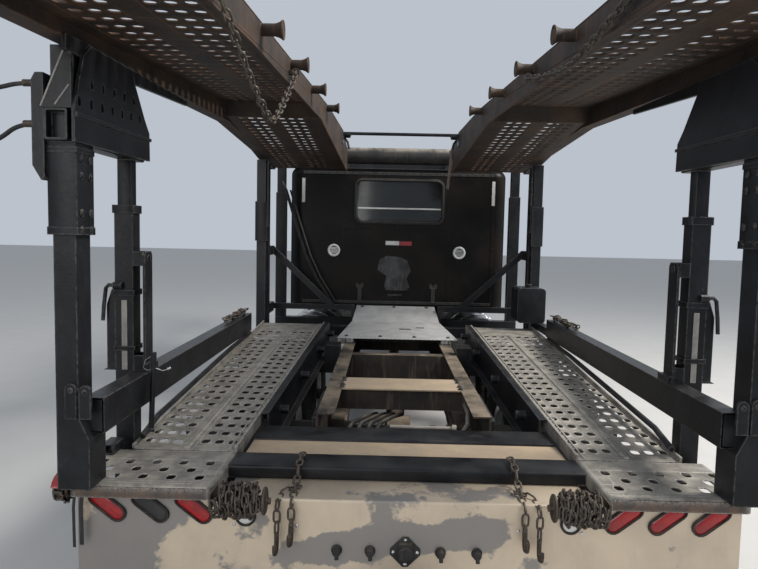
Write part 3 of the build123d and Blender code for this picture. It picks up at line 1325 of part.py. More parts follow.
for side_name, side in LEFT_RIGHT:
    inner_x, outer_x = side * (CAB_X - DOOR_WALL), side * CAB_X
    with BuildPart() as door:
        panel = Pos(inner_x, 0, 0) * inset(DOOR_OUTLINE, DOOR_GAP)
        extrude(panel, amount=side * DOOR_WALL)
        side_profile(GLASS_OUTLINE, (inner_x, outer_x), mode=Mode.SUBTRACT)
        for height in HINGES:
            low, high = height - LUG_HALF, height + LUG_HALF
            rod_z(14.0, side * DOOR_HINGE_X, DOOR_HINGE, (low, high))
            block((side * (CAB_X + 2.0), side * (DOOR_HINGE_X + 12.0)), (6190.0, DOOR_HINGE), (low, high))
            block((side * (CAB_X - 2.0), side * (CAB_X + 4.0)), (6190.0, 6228.0), (low, high))
            rod_z(HINGE_PIN_R + RUNNING_GAP, side * DOOR_HINGE_X, DOOR_HINGE, (low, high), mode=Mode.SUBTRACT)
        arm = (
            (side * (CAB_X - 12.0), 6090.0, 1730.0),
            (side * (CAB_X + 130.0), 6090.0, 1730.0),
            (side * (CAB_X + 130.0), 6090.0, 2268.0),
            (side * (CAB_X - 12.0), 5985.0, 2268.0),
        )
        for start, end in zip(arm, arm[1:]):
            bar(start, end, MIRROR_ARM_R)
        for x, station, height in arm[1:3]:
            with Locations((x, at(station), height)):
                Sphere(MIRROR_ARM_R)
        block((side * (CAB_X + 100.0), side * (CAB_X + 270.0)), (6060.0, 6120.0), (1800.0, 2190.0))
    keep(door, f"door_{side_name}")
    with BuildPart() as door_glass:
        pane = Pos(side * (CAB_X - 25.0), 0, 0) * inset(GLASS_OUTLINE, RUNNING_GAP)
        extrude(pane, amount=side * GLASS_T)
    keep(door_glass, f"door_glass_{side_name}")

with BuildPart() as cab_glass:
    with BuildSketch(screen_plane.offset(-20.0)) as pane:
        with Locations((0, -360.0)):
            RectangleRounded(SCREEN_W - 2 * RUNNING_GAP, SCREEN_H - 2 * RUNNING_GAP, 60.0)
    extrude(pane.sketch, amount=GLASS_T)
    with BuildSketch(Plane.XZ.offset(-at(SLEEPER_REAR + 12.0))) as pane:
        x0, x1, z0, z1 = SLEEPER_WINDOW
        with Locations(((x0 + x1) / 2, (z0 + z1) / 2)):
            RectangleRounded(x1 - x0 - 2 * RUNNING_GAP, z1 - z0 - 2 * RUNNING_GAP, WINDOW_R)
    extrude(pane.sketch, amount=-GLASS_T)
keep(cab_glass, "cab_glass")

# Cab inside: seats, bunk, dashboard and steering wheel
INSIDE_FLOOR = CAB_FLOOR + WALL
BUNK_X = 1020.0
BUNK = (4100.0, 4800.0)
with BuildPart() as seats:
    for centre in (-470.0, 470.0):
        block((centre - 150.0, centre + 150.0), (5420.0, 5800.0), (INSIDE_FLOOR, 1440.0))
        block((centre - 250.0, centre + 250.0), (5350.0, 5870.0), (1440.0, 1570.0))
        block((centre - 240.0, centre + 240.0), (5290.0, 5410.0), (1570.0, 2080.0))
        block((centre - 120.0, centre + 120.0), (5310.0, 5390.0), (2080.0, 2250.0))
    block((-BUNK_X, BUNK_X), BUNK, (INSIDE_FLOOR, 1650.0))
    bunk_corners = seats.edges().filter_by(Axis.Z).group_by(Axis.Y)[0]
    fillet(bunk_corners, SLEEPER_CORNER - WALL)
keep(seats, "seats_and_bunk")
COLUMN_TOP = (-470.0, 6050.0, 1640.0)
COLUMN_END = (-470.0, 6310.0, 1448.0)
COLUMN_R = 26.0
DASH = (  # station, height
    (6260.0, 1400.0),
    (COWL - WALL, 1400.0),
    (COWL - WALL, 1735.0),
    (6330.0, 1735.0),
    (6240.0, 1640.0),
)
with BuildPart() as dashboard:
    side_profile(DASH, (-940.0, 940.0))
    bar(COLUMN_TOP, COLUMN_END, COLUMN_R + RUNNING_GAP, mode=Mode.SUBTRACT)
keep(dashboard, "dashboard")
WHEEL_RIM_R = 225.0
with BuildPart() as steering_wheel:
    hub = Vector(COLUMN_TOP[0], at(COLUMN_TOP[1]), COLUMN_TOP[2])
    wheel_plane = Plane(origin=hub, z_dir=(0, -0.80, 0.60))
    with BuildSketch(wheel_plane) as ring:
        Circle(WHEEL_RIM_R)
        Circle(WHEEL_RIM_R - 30.0, mode=Mode.SUBTRACT)
        Rectangle(2 * WHEEL_RIM_R - 20.0, 34.0)
        Circle(55.0)
    extrude(ring.sketch, amount=24.0)
    bar(COLUMN_TOP, COLUMN_END, COLUMN_R)
keep(steering_wheel, "steering_wheel")

# Bumper, hollow from behind
with BuildPart() as front_bumper:
    block((-BUMPER_X, BUMPER_X), BUMPER_Y, BUMPER_Z)
    front_corners = front_bumper.edges().filter_by(Axis.Z).group_by(Axis.Y)[-1]
    fillet(front_corners, 70.0)
    block(
        (-BUMPER_X + 80.0, BUMPER_X - 80.0),
        (BUMPER_Y[0], BUMPER_Y[1] - BUMPER_WALL),
        (BUMPER_Z[0] + BUMPER_WALL, BUMPER_Z[1] - BUMPER_WALL),
        mode=Mode.SUBTRACT,
    )
keep(front_bumper, "front_bumper")

# Hood with its fenders, which tilts forward on the frame's pins
HOOD_CROWN = 7300.0
FENDER_EDGE = 34.0
FENDER_NOSE = 90.0
HOOD_SECTIONS = (  # station, half width, bottom, top
    (COWL + 10.0, 850.0, 1120.0, 1735.0),
    (HOOD_CROWN, 716.0, 910.0, 1616.0),
    (HOOD_FRONT, 540.0, 700.0, 1440.0),
)
HOOD_CORNER = 110.0
GRILLE_X = 430.0
GRILLE_Z = (800.0, 1340.0)
HOOD_LUG_X = (442.0, 482.0)
HOOD_LUG_R = 32.0


def hood_loft(sections, mode):
    """A loft through rounded sections of (station, half width, bottom, top), in the open part."""
    faces = []
    for station, half, bottom, top in sections:
        with BuildSketch(Plane.XZ.offset(-at(station))) as section:
            with Locations((0, (bottom + top) / 2)):
                RectangleRounded(2 * half, top - bottom, HOOD_CORNER)
        faces.append(section.sketch)
    loft(faces, ruled=True, mode=mode)


with BuildPart() as hood:
    hood_loft(HOOD_SECTIONS, Mode.ADD)
    for side in (-1, 1):
        with BuildSketch(Plane.YZ.offset(side * 520.0)) as arch:
            with Locations((at(FRONT_AXLE), TYRE_R)):
                Circle(ARCH_R + FENDER_T)
            with Locations((at(FRONT_AXLE), TYRE_R + 130.0 - 500.0)):
                Rectangle(2000.0, 1000.0, mode=Mode.SUBTRACT)
        extrude(arch.sketch, amount=side * (FENDER_X - 520.0))
        block((side * 500.0, side * FENDER_X), (FRONT_AXLE + 300.0, HOOD_FRONT), (730.0, 1120.0))
    fronts = [
        edge
        for edge in hood.edges().filter_by(Axis.Z)
        if abs(edge.center().X) > FENDER_X - 1.0 and edge.center().Y > at(HOOD_FRONT) - 1.0
    ]
    fillet(fronts, FENDER_NOSE)
    brows = [
        edge
        for edge in hood.edges()
        if abs(edge.center().X) > FENDER_X - FENDER_NOSE and edge.center().Z > 1000.0
    ]
    fillet(brows, FENDER_EDGE)
    inside = (
        (HOOD_SECTIONS[0][0], HOOD_SECTIONS[0][1] - HOOD_WALL, 700.0, HOOD_SECTIONS[0][3] - HOOD_WALL),
        (HOOD_FRONT - 40.0, HOOD_SECTIONS[-1][1] - HOOD_WALL, 400.0, HOOD_SECTIONS[-1][3] - HOOD_WALL),
    )
    hood_loft(inside, Mode.SUBTRACT)
    for side in (-1, 1):
        rod_x(ARCH_R, (side * 480.0, side * 1300.0), FRONT_AXLE, TYRE_R, mode=Mode.SUBTRACT)
    block((-GRILLE_X, GRILLE_X), (HOOD_FRONT - 45.0, HOOD_FRONT + 5.0), GRILLE_Z, mode=Mode.SUBTRACT)
    for side in (-1, 1):
        lug = (side * HOOD_LUG_X[0], side * HOOD_LUG_X[1])
        rod_x(HOOD_LUG_R, lug, HOOD_PIVOT, HOOD_PIVOT_Z)
        block(lug, (HOOD_FRONT - 35.0, HOOD_FRONT + 10.0), (HOOD_PIVOT_Z, 760.0))
        rod_x(HOOD_PIN_R + RUNNING_GAP, lug, HOOD_PIVOT, HOOD_PIVOT_Z, mode=Mode.SUBTRACT)
keep(hood, "hood")

GRILLE_BARS = 10
with BuildPart() as grille:
    grille_x = GRILLE_X - RUNNING_GAP
    low, high = GRILLE_Z[0] + RUNNING_GAP, GRILLE_Z[1] - RUNNING_GAP
    depth = (HOOD_FRONT - 30.0, HOOD_FRONT + 6.0)
    block((-grille_x, grille_x), depth, (low, high))
    block((-grille_x + 30.0, grille_x - 30.0), depth, (low + 30.0, high - 30.0), mode=Mode.SUBTRACT)
    pitch = (high - low - 60.0) / (GRILLE_BARS + 1)
    for number in range(1, GRILLE_BARS + 1):
        height = low + 30.0 + number * pitch
        block((-grille_x + 20.0, grille_x - 20.0), (depth[0] + 8.0, depth[1] - 6.0), (height - 7.0, height + 7.0))
    block((-12.0, 12.0), (depth[0] + 4.0, depth[1] - 2.0), (low + 20.0, high - 20.0))
keep(grille, "grille")

with BuildPart() as headlamps:
    for side in (-1, 1):
        with BuildSketch(Plane.XZ.offset(-at(HOOD_FRONT))) as lamp:
            with Locations((side * 800.0, 940.0)):
                RectangleRounded(300.0, 150.0, 40.0)
        extrude(lamp.sketch, amount=-18.0)
keep(headlamps, "headlamps")

# Fuel tanks with their straps and steps, and the step boxes ahead of them
TANK_R = 300.0
TANK_X = 900.0
TANK = (4450.0, 5880.0)
TANK_Z = 690.0
with BuildPart() as fuel_tanks:
    rod_y(TANK_R, TANK_X, TANK, TANK_Z)
    for station in (4700.0, 5600.0):
        block((RAIL_OUT_X, TANK_X - 200.0), (station, station + 60.0), (RAIL_BOTTOM + 20.0, RAIL_TOP - 40.0))
    block((TANK_X - 80.0, TANK_X + 300.0), (5250.0, 5850.0), (TANK_Z + TANK_R - 10.0, TANK_Z + TANK_R + 8.0))
    mirror(about=Plane.YZ)
keep(fuel_tanks, "fuel_tanks")
with BuildPart() as step_boxes:
    block((RAIL_OUT_X, 1180.0), (5930.0, 6340.0), (430.0, 1030.0))
    block((1050.0, 1180.0), (5930.0, 6340.0), (700.0, 1030.0), mode=Mode.SUBTRACT)
    mirror(about=Plane.YZ)
keep(step_boxes, "step_boxes")

# Hydraulic hose: a drooping loop between two fittings on the left bracket's block
HOSE_R = 8.0
HOSE_STATION = -50.0
HOSE_POINTS = (  # outward from the middle, height
    (1330.0, 2347.0),
    (1398.0, 2347.0),
    (1462.0, 2330.0),
    (1526.0, 2322.0),
    (1586.0, 2302.0),
    (1625.0, 2256.0),
    (1628.0, 2197.0),
    (1594.0, 2148.0),
    (1537.0, 2130.0),
    (1470.0, 2150.0),
    (1398.0, 2207.0),
    (1330.0, 2207.0),
)


def route_radii(points):
    """Each corner's arc radius: 0.45 of the shorter run over the tangent of half the turn."""
    radii = []
    for before, corner, after in zip(points, points[1:], points[2:]):
        incoming, outgoing = corner - before, after - corner
        turn = math.radians(incoming.get_angle(outgoing))
        radii.append(0.45 * min(incoming.length, outgoing.length) / math.tan(turn / 2))
    return radii


route = [Vector(-x, at(HOSE_STATION), z) for x, z in HOSE_POINTS]
radii = route_radii(route)
print("hose radii", [round(radius) for radius in radii])
with BuildPart() as lift_hose:
    with BuildLine() as hose_path:
        FilletPolyline(*route, radius=radii)
    with BuildSketch(Plane(origin=route[0], z_dir=route[1] - route[0])):
        Circle(HOSE_R)
    sweep(path=hose_path.wires()[0])
length = hose_path.wires()[0].length
print("hose length", round(length), "volume ratio", round(lift_hose.part.volume / (math.pi * HOSE_R**2 * length), 4))
keep(lift_hose, "lift_hose")
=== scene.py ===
"""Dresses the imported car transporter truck: perforated decks, weathered steel, lamps, chains and cab."""

from __future__ import annotations

import json
import logging
import math
from dataclasses import dataclass
from enum import Enum
from typing import Iterable, Sequence

import bmesh
import bpy
from mathutils import Matrix, Vector
from mathutils.geometry import tessellate_polygon

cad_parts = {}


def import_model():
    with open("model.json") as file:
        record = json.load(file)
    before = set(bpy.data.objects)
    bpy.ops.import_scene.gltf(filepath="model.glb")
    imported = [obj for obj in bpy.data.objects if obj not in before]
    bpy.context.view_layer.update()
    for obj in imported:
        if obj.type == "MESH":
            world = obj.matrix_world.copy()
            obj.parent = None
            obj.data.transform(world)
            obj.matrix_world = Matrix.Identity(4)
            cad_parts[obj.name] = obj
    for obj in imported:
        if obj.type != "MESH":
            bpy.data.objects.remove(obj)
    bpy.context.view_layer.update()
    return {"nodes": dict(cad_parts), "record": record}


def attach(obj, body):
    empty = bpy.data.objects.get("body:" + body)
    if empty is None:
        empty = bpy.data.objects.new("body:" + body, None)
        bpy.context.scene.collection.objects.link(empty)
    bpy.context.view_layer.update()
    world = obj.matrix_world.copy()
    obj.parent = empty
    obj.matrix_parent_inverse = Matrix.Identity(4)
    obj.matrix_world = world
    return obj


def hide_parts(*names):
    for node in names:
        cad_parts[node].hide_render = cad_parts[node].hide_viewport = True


log = logging.getLogger("truck")

Point = tuple[float, float, float]
Flat = tuple[float, float]
Color = tuple[float, float, float]
Line = Sequence[Flat]

LIP_Y = -3.75  # the rear lip, from the truck's middle; stations are counted forwards from it
SIDES = (-1, 1)  # left and right
WELD = 0.0002  # repeated copies that are nearer than this join
RUN_STRETCH: Point = (1.0, 1.0, 0.12)  # how runs of dirt are drawn out downwards


def height_at(line: Line, station: float) -> float:
    """The height of a line of straight runs at a station.

    Args:
        line: (station, height) points in order.
        station: where to read it.

    Returns:
        The height in metres, level beyond both ends.
    """
    if station <= line[0][0]:
        return line[0][1]
    for (y0, z0), (y1, z1) in zip(line, line[1:]):
        if station <= y1:
            return z0 + (z1 - z0) * (station - y0) / (y1 - y0)
    return line[-1][1]


def on(side: int, points: Iterable[Point]) -> list[Point]:
    """Points given for the right side, on one side of the truck (-1 left, 1 right)."""
    return [(side * x, y, z) for x, y, z in points]


def span(side: int, inner: float, outer: float) -> Flat:
    """The lowest and highest X between two distances from the middle, on one side."""
    return (side * inner, side * outer) if side > 0 else (side * outer, side * inner)


def grown(across: Flat, up: Flat, margin: float) -> tuple[Flat, Flat]:
    """A rectangle's two spans, with a margin added on all sides."""
    return (across[0] - margin, across[1] + margin), (up[0] - margin, up[1] + margin)


def scene_object(name: str, data: bpy.types.ID) -> bpy.types.Object:
    """A new object of the scene that carries some data."""
    item = bpy.data.objects.new(name, data)
    bpy.context.scene.collection.objects.link(item)
    return item


def nurbs(name: str, points: Sequence[Point]) -> bpy.types.Curve:
    """A NURBS curve that starts at the first control point and ends at the last."""
    curve = bpy.data.curves.new(name, "CURVE")
    curve.dimensions = "3D"
    spline = curve.splines.new("NURBS")
    spline.points.add(len(points) - 1)
    for point, spot in zip(spline.points, points):
        point.co = (*spot, 1.0)
    spline.order_u = 3
    spline.use_endpoint_u = True
    return curve


class Body(Enum):
    """The bodies of the truck that pieces ride on."""

    CHASSIS = "chassis"
    UPPER = "upper_deck"
    RACK = "headrack"
    HOOD = "hood"
    DOOR_LEFT = "door_left"
    DOOR_RIGHT = "door_right"


class Axis(Enum):
    """The truck's axes: across, along and up."""

    X = 0
    Y = 1
    Z = 2

    @property
    def others(self) -> list[int]:
        """The two other axes' numbers, in order."""
        return [number for number in range(3) if number != self.value]


class NodeChain:
    """Adds nodes to a tree and links them in short calls."""

    def __init__(self, tree: bpy.types.NodeTree) -> None:
        """Keeps the tree that the nodes go into."""
        self.tree = tree

    def add(self, kind: str, inputs: dict | None = None, **settings: object) -> bpy.types.Node:
        """Adds one node.

        Args:
            kind: the node's type name.
            inputs: values or output sockets by input name or index.
            **settings: the node's own properties.

        Returns:
            The new node.
        """
        node = self.tree.nodes.new(kind)
        for name, value in settings.items():
            setattr(node, name, value)
        for key, value in (inputs or {}).items():
            self._put(node.inputs[key], value)
        return node

    def _put(self, socket: bpy.types.NodeSocket, value: object) -> None:
        """Links an output socket to an input, or sets the input's value."""
        if isinstance(value, bpy.types.NodeSocket):
            self.tree.links.new(value, socket)
        else:
            socket.default_value = value

    def math(self, operation: str, *values: object) -> bpy.types.NodeSocket:
        """A Math node's result on values or sockets."""
        return self.add("ShaderNodeMath", dict(enumerate(values)), operation=operation).outputs[0]

    def times(self, first: object, second: object) -> bpy.types.NodeSocket:
        """The product of two values or sockets."""
        return self.math("MULTIPLY", first, second)

    def plus(self, first: object, second: object) -> bpy.types.NodeSocket:
        """The sum of two values or sockets."""
        return self.math("ADD", first, second)

    def minus(self, first: object, second: object) -> bpy.types.NodeSocket:
        """The first of two values or sockets less the second."""
        return self.math("SUBTRACT", first, second)

    def ramp(self, factor: bpy.types.NodeSocket, low: float, high: float) -> bpy.types.NodeSocket:
        """A smooth 0 to 1 step of a factor between two values."""
        inputs = {"Value": factor, "From Min": low, "From Max": high}
        return self.add("ShaderNodeMapRange", inputs, interpolation_type="SMOOTHSTEP").outputs["Result"]

    def mix(self, factor: object, first: object, second: object) -> bpy.types.NodeSocket:
        """Two colours mixed by a factor."""
        node = self.add("ShaderNodeMix", data_type="RGBA")
        for index, value in ((0, factor), (6, first), (7, second)):
            self._put(node.inputs[index], (*value, 1.0) if isinstance(value, tuple) else value)
        return node.outputs[2]

    def place(self, scale: Point = (1.0, 1.0, 1.0)) -> bpy.types.NodeSocket:
        """The Object coordinates, stretched by a scale."""
        place = self.add("ShaderNodeTexCoord").outputs["Object"]
        return self.add("ShaderNodeMapping", {"Vector": place, "Scale": scale}).outputs[0]

    def axes(self, place: bpy.types.NodeSocket) -> bpy.types.bpy_prop_collection:
        """The X, Y and Z sockets of a place or direction."""
        return self.add("ShaderNodeSeparateXYZ", {0: place}).outputs

    def noise(
        self, place: bpy.types.NodeSocket, scale: float, detail: float, rough: float = 0.5
    ) -> bpy.types.NodeSocket:
        """A noise factor on a place."""
        inputs = {"Vector": place, "Scale": scale, "Detail": detail, "Roughness": rough}
        return self.add("ShaderNodeTexNoise", inputs).outputs[0]

    def rounded(self, radius: float) -> bpy.types.NodeSocket:
        """The normal, rounded over edges by a radius."""
        return self.add("ShaderNodeBevel", {"Radius": radius}, samples=4).outputs[0]

    def feed(self, **inputs: object) -> None:
        """Sets or links inputs of the material's shader, named with _ for each space."""
        for name, value in inputs.items():
            self._put(self._shader(name), value)

    def fed(self, name: str) -> bpy.types.NodeSocket:
        """What is linked to an input of the material's shader."""
        return self._shader(name).links[0].from_socket

    def _shader(self, name: str) -> bpy.types.NodeSocket:
        """An input of the material's shader."""
        return self.tree.nodes["Principled BSDF"].inputs[name.replace("_", " ")]


@dataclass(frozen=True)
class Finish:
    """A weathered finish: base colours, worn edges, dust on what looks up, streaks and grain."""

    slot: str
    base: Color
    second: Color
    wear: Color = (0.3, 0.28, 0.26)
    dust: Color = (0.36, 0.29, 0.21)
    metallic: float = 0.0
    roughness: float = 0.5
    edge_wear: float = 0.6
    patch_wear: float = 0.15
    top_dust: float = 0.5
    streaks: float = 0.2
    patch_size: float = 6.0
    bump: float = 0.12
    grain: tuple[float, float, float] = (1.0, 1.0, 1.0)
    coat: float = 0.0
    edge_radius: float = 0.004
    specular: float = 0.4

    def build(self, name: str) -> bpy.types.Material:
        """Builds the material's nodes.

        Args:
            name: the material's name.

        Returns:
            The material.
        """
        material = bpy.data.materials.new(name)
        material.use_nodes = True
        chain = NodeChain(material.node_tree)
        patches = chain.noise(chain.place(), self.patch_size, 6.0, 0.62)
        fine = chain.noise(chain.place(self.grain), self.patch_size * 9.0, 5.0, 0.6)
        runs = chain.noise(chain.place(RUN_STRETCH), self.patch_size * 5.0, 4.0, 0.55)
        color = chain.mix(chain.ramp(patches, 0.35, 0.68), self.base, self.second)
        color = chain.mix(chain.times(chain.ramp(runs, 0.52, 0.78), self.streaks), color, self.dust)
        edges = chain.times(self._edges(chain), chain.ramp(fine, 0.32, 0.62))
        spots = chain.times(chain.ramp(fine, 0.6, 0.74), chain.ramp(patches, 0.5, 0.75))
        worn = chain.math("MAXIMUM", chain.times(edges, self.edge_wear), chain.times(spots, self.patch_wear))
        color = chain.mix(worn, color, self.wear)
        up = chain.axes(chain.add("ShaderNodeNewGeometry").outputs["Normal"])["Z"]
        lying = chain.times(chain.ramp(up, 0.25, 0.95), chain.ramp(patches, 0.3, 0.72))
        dusty = chain.times(lying, self.top_dust)
        rough = chain.plus(chain.times(fine, 0.22), self.roughness - 0.11)
        relief = {"Strength": self.bump, "Distance": 0.004, "Height": fine, "Normal": chain.rounded(self.edge_radius)}
        chain.feed(
            Base_Color=chain.mix(dusty, color, self.dust),
            Roughness=chain.plus(rough, chain.times(dusty, 0.3)),
            Metallic=self.metallic,
            Coat_Weight=self.coat,
            Specular_IOR_Level=self.specular,
            Normal=chain.add("ShaderNodeBump", relief).outputs[0],
        )
        return material

    def _edges(self, chain: NodeChain) -> bpy.types.NodeSocket:
        """A mask of the piece's outer edges, from how far a rounded normal turns from the flat one."""
        flat = chain.add("ShaderNodeNewGeometry").outputs["Normal"]
        normals = {0: chain.rounded(self.edge_radius * 2.2), 1: flat}
        turned = chain.add("ShaderNodeVectorMath", normals, operation="DOT_PRODUCT")
        return chain.ramp(turned.outputs["Value"], 0.995, 0.86)


@dataclass(frozen=True)
class TreadPlate(Finish):
    """Bright aluminium plate with a raised diamond pattern."""

    pitch: float = 0.034
    hollows: Color = (0.3, 0.31, 0.33)

    def build(self, name: str) -> bpy.types.Material:
        """Builds the plate's material with its pattern in the bump and the colour."""
        material = super().build(name)
        chain = NodeChain(material.node_tree)
        axes = chain.axes(chain.place())
        turns = math.pi / self.pitch
        waves = [
            chain.math("SINE", chain.times(lean, turns))
            for lean in (chain.plus(axes["X"], axes["Y"]), chain.minus(axes["X"], axes["Y"]))
        ]
        raised = chain.ramp(chain.math("ABSOLUTE", chain.times(*waves)), 0.45, 0.8)
        shade = chain.times(chain.minus(1.0, raised), 0.42)
        relief = {"Strength": 0.8, "Distance": 0.003, "Height": raised, "Normal": chain.fed("Normal")}
        chain.feed(
            Normal=chain.add("ShaderNodeBump", relief).outputs[0],
            Base_Color=chain.mix(shade, chain.fed("Base_Color"), self.hollows),
        )
        return material


@dataclass(frozen=True)
class Stained(Finish):
    """Brushed stainless steel with a painted darker reflection on its left and large irregular dark stains."""

    stain_and_reflection: Color = (0.22, 0.215, 0.215)

    def build(self, name: str) -> bpy.types.Material:
        """Builds the steel, with a painted darker reflection on its left and stains round its middle laid over the
        colour.
        """
        material = super().build(name)
        chain = NodeChain(material.node_tree)
        place = chain.place()
        axes = chain.axes(place)
        level = chain.minus(axes["Z"], chain.times(axes["X"], 0.12))
        band = chain.times(chain.ramp(level, 0.6, 0.67), chain.ramp(level, 0.77, 0.71))
        middle = chain.times(band, chain.ramp(chain.math("ABSOLUTE", axes["X"]), 0.5, 0.3))
        # Darker towards the left: a painted darker reflection where the panel mirrors no sunlit ground. Round the
        # middle: stains.
        push = chain.plus(chain.times(chain.ramp(axes["X"], -0.35, -0.75), 0.17), chain.times(middle, 0.19))
        spread = chain.plus(chain.noise(place, 2.6, 8.0, 0.62), push)
        stain_and_reflection = chain.times(chain.ramp(spread, 0.6, 0.64), 0.85)
        chain.feed(Base_Color=chain.mix(stain_and_reflection, chain.fed("Base_Color"), self.stain_and_reflection))
        return material


@dataclass(frozen=True)
class Glazing(Finish):
    """Dark tinted glass with a dusty film."""

    def build(self, name: str) -> bpy.types.Material:
        """Builds the glass, which lets some light through."""
        material = super().build(name)
        NodeChain(material.node_tree).feed(Transmission_Weight=0.75, IOR=1.45)
        return material


class Paint(Enum):
    """The truck's finishes."""

    STRUCTURE = Finish(
        "structure_steel", (0.0045, 0.005, 0.0065), (0.013, 0.014, 0.017), wear=(0.15, 0.145, 0.14),
        dust=(0.075, 0.07, 0.062), roughness=0.38, edge_wear=0.8, patch_wear=0.34, top_dust=0.3, streaks=0.05,
        bump=0.18, specular=0.27,
    )
    DECK = Finish(
        "deck_steel", (0.33, 0.305, 0.265), (0.1, 0.097, 0.095), wear=(0.64, 0.61, 0.56),
        dust=(0.44, 0.4, 0.33), metallic=0.25, roughness=0.46, edge_wear=0.9, patch_wear=0.65, top_dust=0.25,
        streaks=0.1, patch_size=11.0, bump=0.35,
    )
    UPPER = Finish(
        "upper_steel", (0.052, 0.032, 0.021), (0.02, 0.016, 0.014), wear=(0.17, 0.085, 0.045),
        dust=(0.12, 0.08, 0.05), roughness=0.66, edge_wear=0.8, patch_wear=0.8, top_dust=0.35, streaks=0.1,
        patch_size=5.0, bump=0.35, specular=0.3,
    )
    # Tan colour: partly dust, partly a painted reflection of sunlit sand-coloured ground.
    STAINLESS = Stained(
        "stainless", (0.66, 0.55, 0.42), (0.55, 0.46, 0.36), wear=(0.75, 0.7, 0.62), dust=(0.12, 0.115, 0.11),
        metallic=0.5, roughness=0.42, edge_wear=0.2, patch_wear=0.25, top_dust=0.05, streaks=0.1, patch_size=3.2,
        bump=0.12, grain=(0.35, 6.0, 6.0),
    )
    CAB = Finish(
        "cab_paint", (0.0022, 0.0024, 0.003), (0.012, 0.009, 0.0065), wear=(0.055, 0.05, 0.045),
        dust=(0.022, 0.019, 0.016), roughness=0.4, edge_wear=0.35, patch_wear=0.2, top_dust=0.28, streaks=0.1,
        patch_size=2.2, bump=0.08, specular=0.14,
    )
    FRAME = Finish(
        "frame_paint", (0.018, 0.015, 0.013), (0.04, 0.03, 0.022), wear=(0.18, 0.11, 0.07), dust=(0.36, 0.29, 0.21),
        roughness=0.7, top_dust=0.55, patch_wear=0.3,
    )
    # Pale dust on all upward faces: partly dust, partly a painted sunlit top.
    DUSTY = Finish(
        "structure_steel", (0.012, 0.012, 0.014), (0.03, 0.028, 0.026), wear=(0.3, 0.27, 0.23),
        dust=(0.34, 0.3, 0.25), roughness=0.5, edge_wear=0.5, patch_wear=0.5, top_dust=0.95, streaks=0.1,
        patch_size=7.0, bump=0.25,
    )
    TAN = Finish(
        "worn_tan", (0.4, 0.31, 0.21), (0.28, 0.21, 0.15), wear=(0.16, 0.12, 0.09), dust=(0.45, 0.37, 0.27),
        roughness=0.66, edge_wear=0.5, patch_wear=0.7, top_dust=0.4, patch_size=8.0, bump=0.2,
    )
    PLATE = TreadPlate(
        "tread_plate", (0.8, 0.79, 0.77), (0.62, 0.61, 0.6), wear=(0.9, 0.9, 0.9), dust=(0.5, 0.46, 0.4),
        metallic=0.35, roughness=0.38, top_dust=0.15, streaks=0.1, patch_size=9.0,
    )
    RUST = Finish(
        "deck_steel", (0.06, 0.05, 0.046), (0.14, 0.085, 0.055), wear=(0.34, 0.31, 0.28), dust=(0.2, 0.16, 0.12),
        roughness=0.55, edge_wear=0.8, patch_wear=0.7, top_dust=0.2, patch_size=14.0, bump=0.4,
    )
    WORN = Finish(
        "structure_steel", (0.33, 0.31, 0.28), (0.2, 0.19, 0.18), wear=(0.5, 0.48, 0.45), roughness=0.5,
        metallic=0.3, patch_wear=0.6, patch_size=12.0, bump=0.3,
    )
    WHITE = Finish(
        "lens_clear", (0.66, 0.66, 0.64), (0.5, 0.5, 0.48), wear=(0.3, 0.28, 0.26), dust=(0.35, 0.32, 0.28),
        roughness=0.5, edge_wear=0.3, patch_wear=0.2, top_dust=0.3, patch_size=12.0,
    )
    # A paler mottled patch low on the cab's back wall.
    SCUFF = Finish(
        "cab_paint", (0.01, 0.01, 0.012), (0.05, 0.052, 0.055), wear=(0.42, 0.42, 0.42), roughness=0.45,
        edge_wear=0.0, patch_wear=0.9, top_dust=0.1, patch_size=8.0, bump=0.5,
    )
    CHROME = Finish(
        "chrome", (0.75, 0.75, 0.76), (0.66, 0.66, 0.67), wear=(0.8, 0.8, 0.8), metallic=1.0, roughness=0.14,
        edge_wear=0.2, patch_wear=0.05, top_dust=0.15, streaks=0.06, bump=0.03,
    )
    ALUMINIUM = Finish(
        "aluminium", (0.62, 0.62, 0.63), (0.52, 0.52, 0.52), wear=(0.75, 0.75, 0.75), metallic=1.0, roughness=0.3,
        edge_wear=0.3, patch_wear=0.15, top_dust=0.3, streaks=0.15, bump=0.05,
    )
    TYRE = Finish(
        "tyre", (0.018, 0.018, 0.019), (0.032, 0.03, 0.028), wear=(0.05, 0.048, 0.045), dust=(0.14, 0.115, 0.09),
        roughness=0.82, top_dust=0.4, streaks=0.1, bump=0.12, patch_size=9.0,
    )
    GLASS = Glazing(
        "glass", (0.04, 0.05, 0.055), (0.05, 0.058, 0.06), roughness=0.08, edge_wear=0.0, patch_wear=0.0,
        top_dust=0.3, streaks=0.08, bump=0.01,
    )
    RED = Finish(
        "lens_red", (0.36, 0.006, 0.009), (0.2, 0.004, 0.006), wear=(0.4, 0.06, 0.05), roughness=0.2, edge_wear=0.1,
        patch_wear=0.1, top_dust=0.2, streaks=0.05, coat=0.5, bump=0.02, patch_size=14.0,
    )
    AMBER = Finish(
        "lens_clear", (0.62, 0.2, 0.01), (0.45, 0.14, 0.008), wear=(0.7, 0.3, 0.1), roughness=0.15, edge_wear=0.1,
        patch_wear=0.05, top_dust=0.2, streaks=0.05, coat=0.7, bump=0.02, patch_size=14.0,
    )
    CLEAR = Finish(
        "lens_clear", (0.7, 0.7, 0.68), (0.62, 0.62, 0.6), wear=(0.8, 0.8, 0.8), roughness=0.12, edge_wear=0.1,
        patch_wear=0.05, top_dust=0.2, streaks=0.05, coat=0.7, bump=0.02, patch_size=14.0,
    )
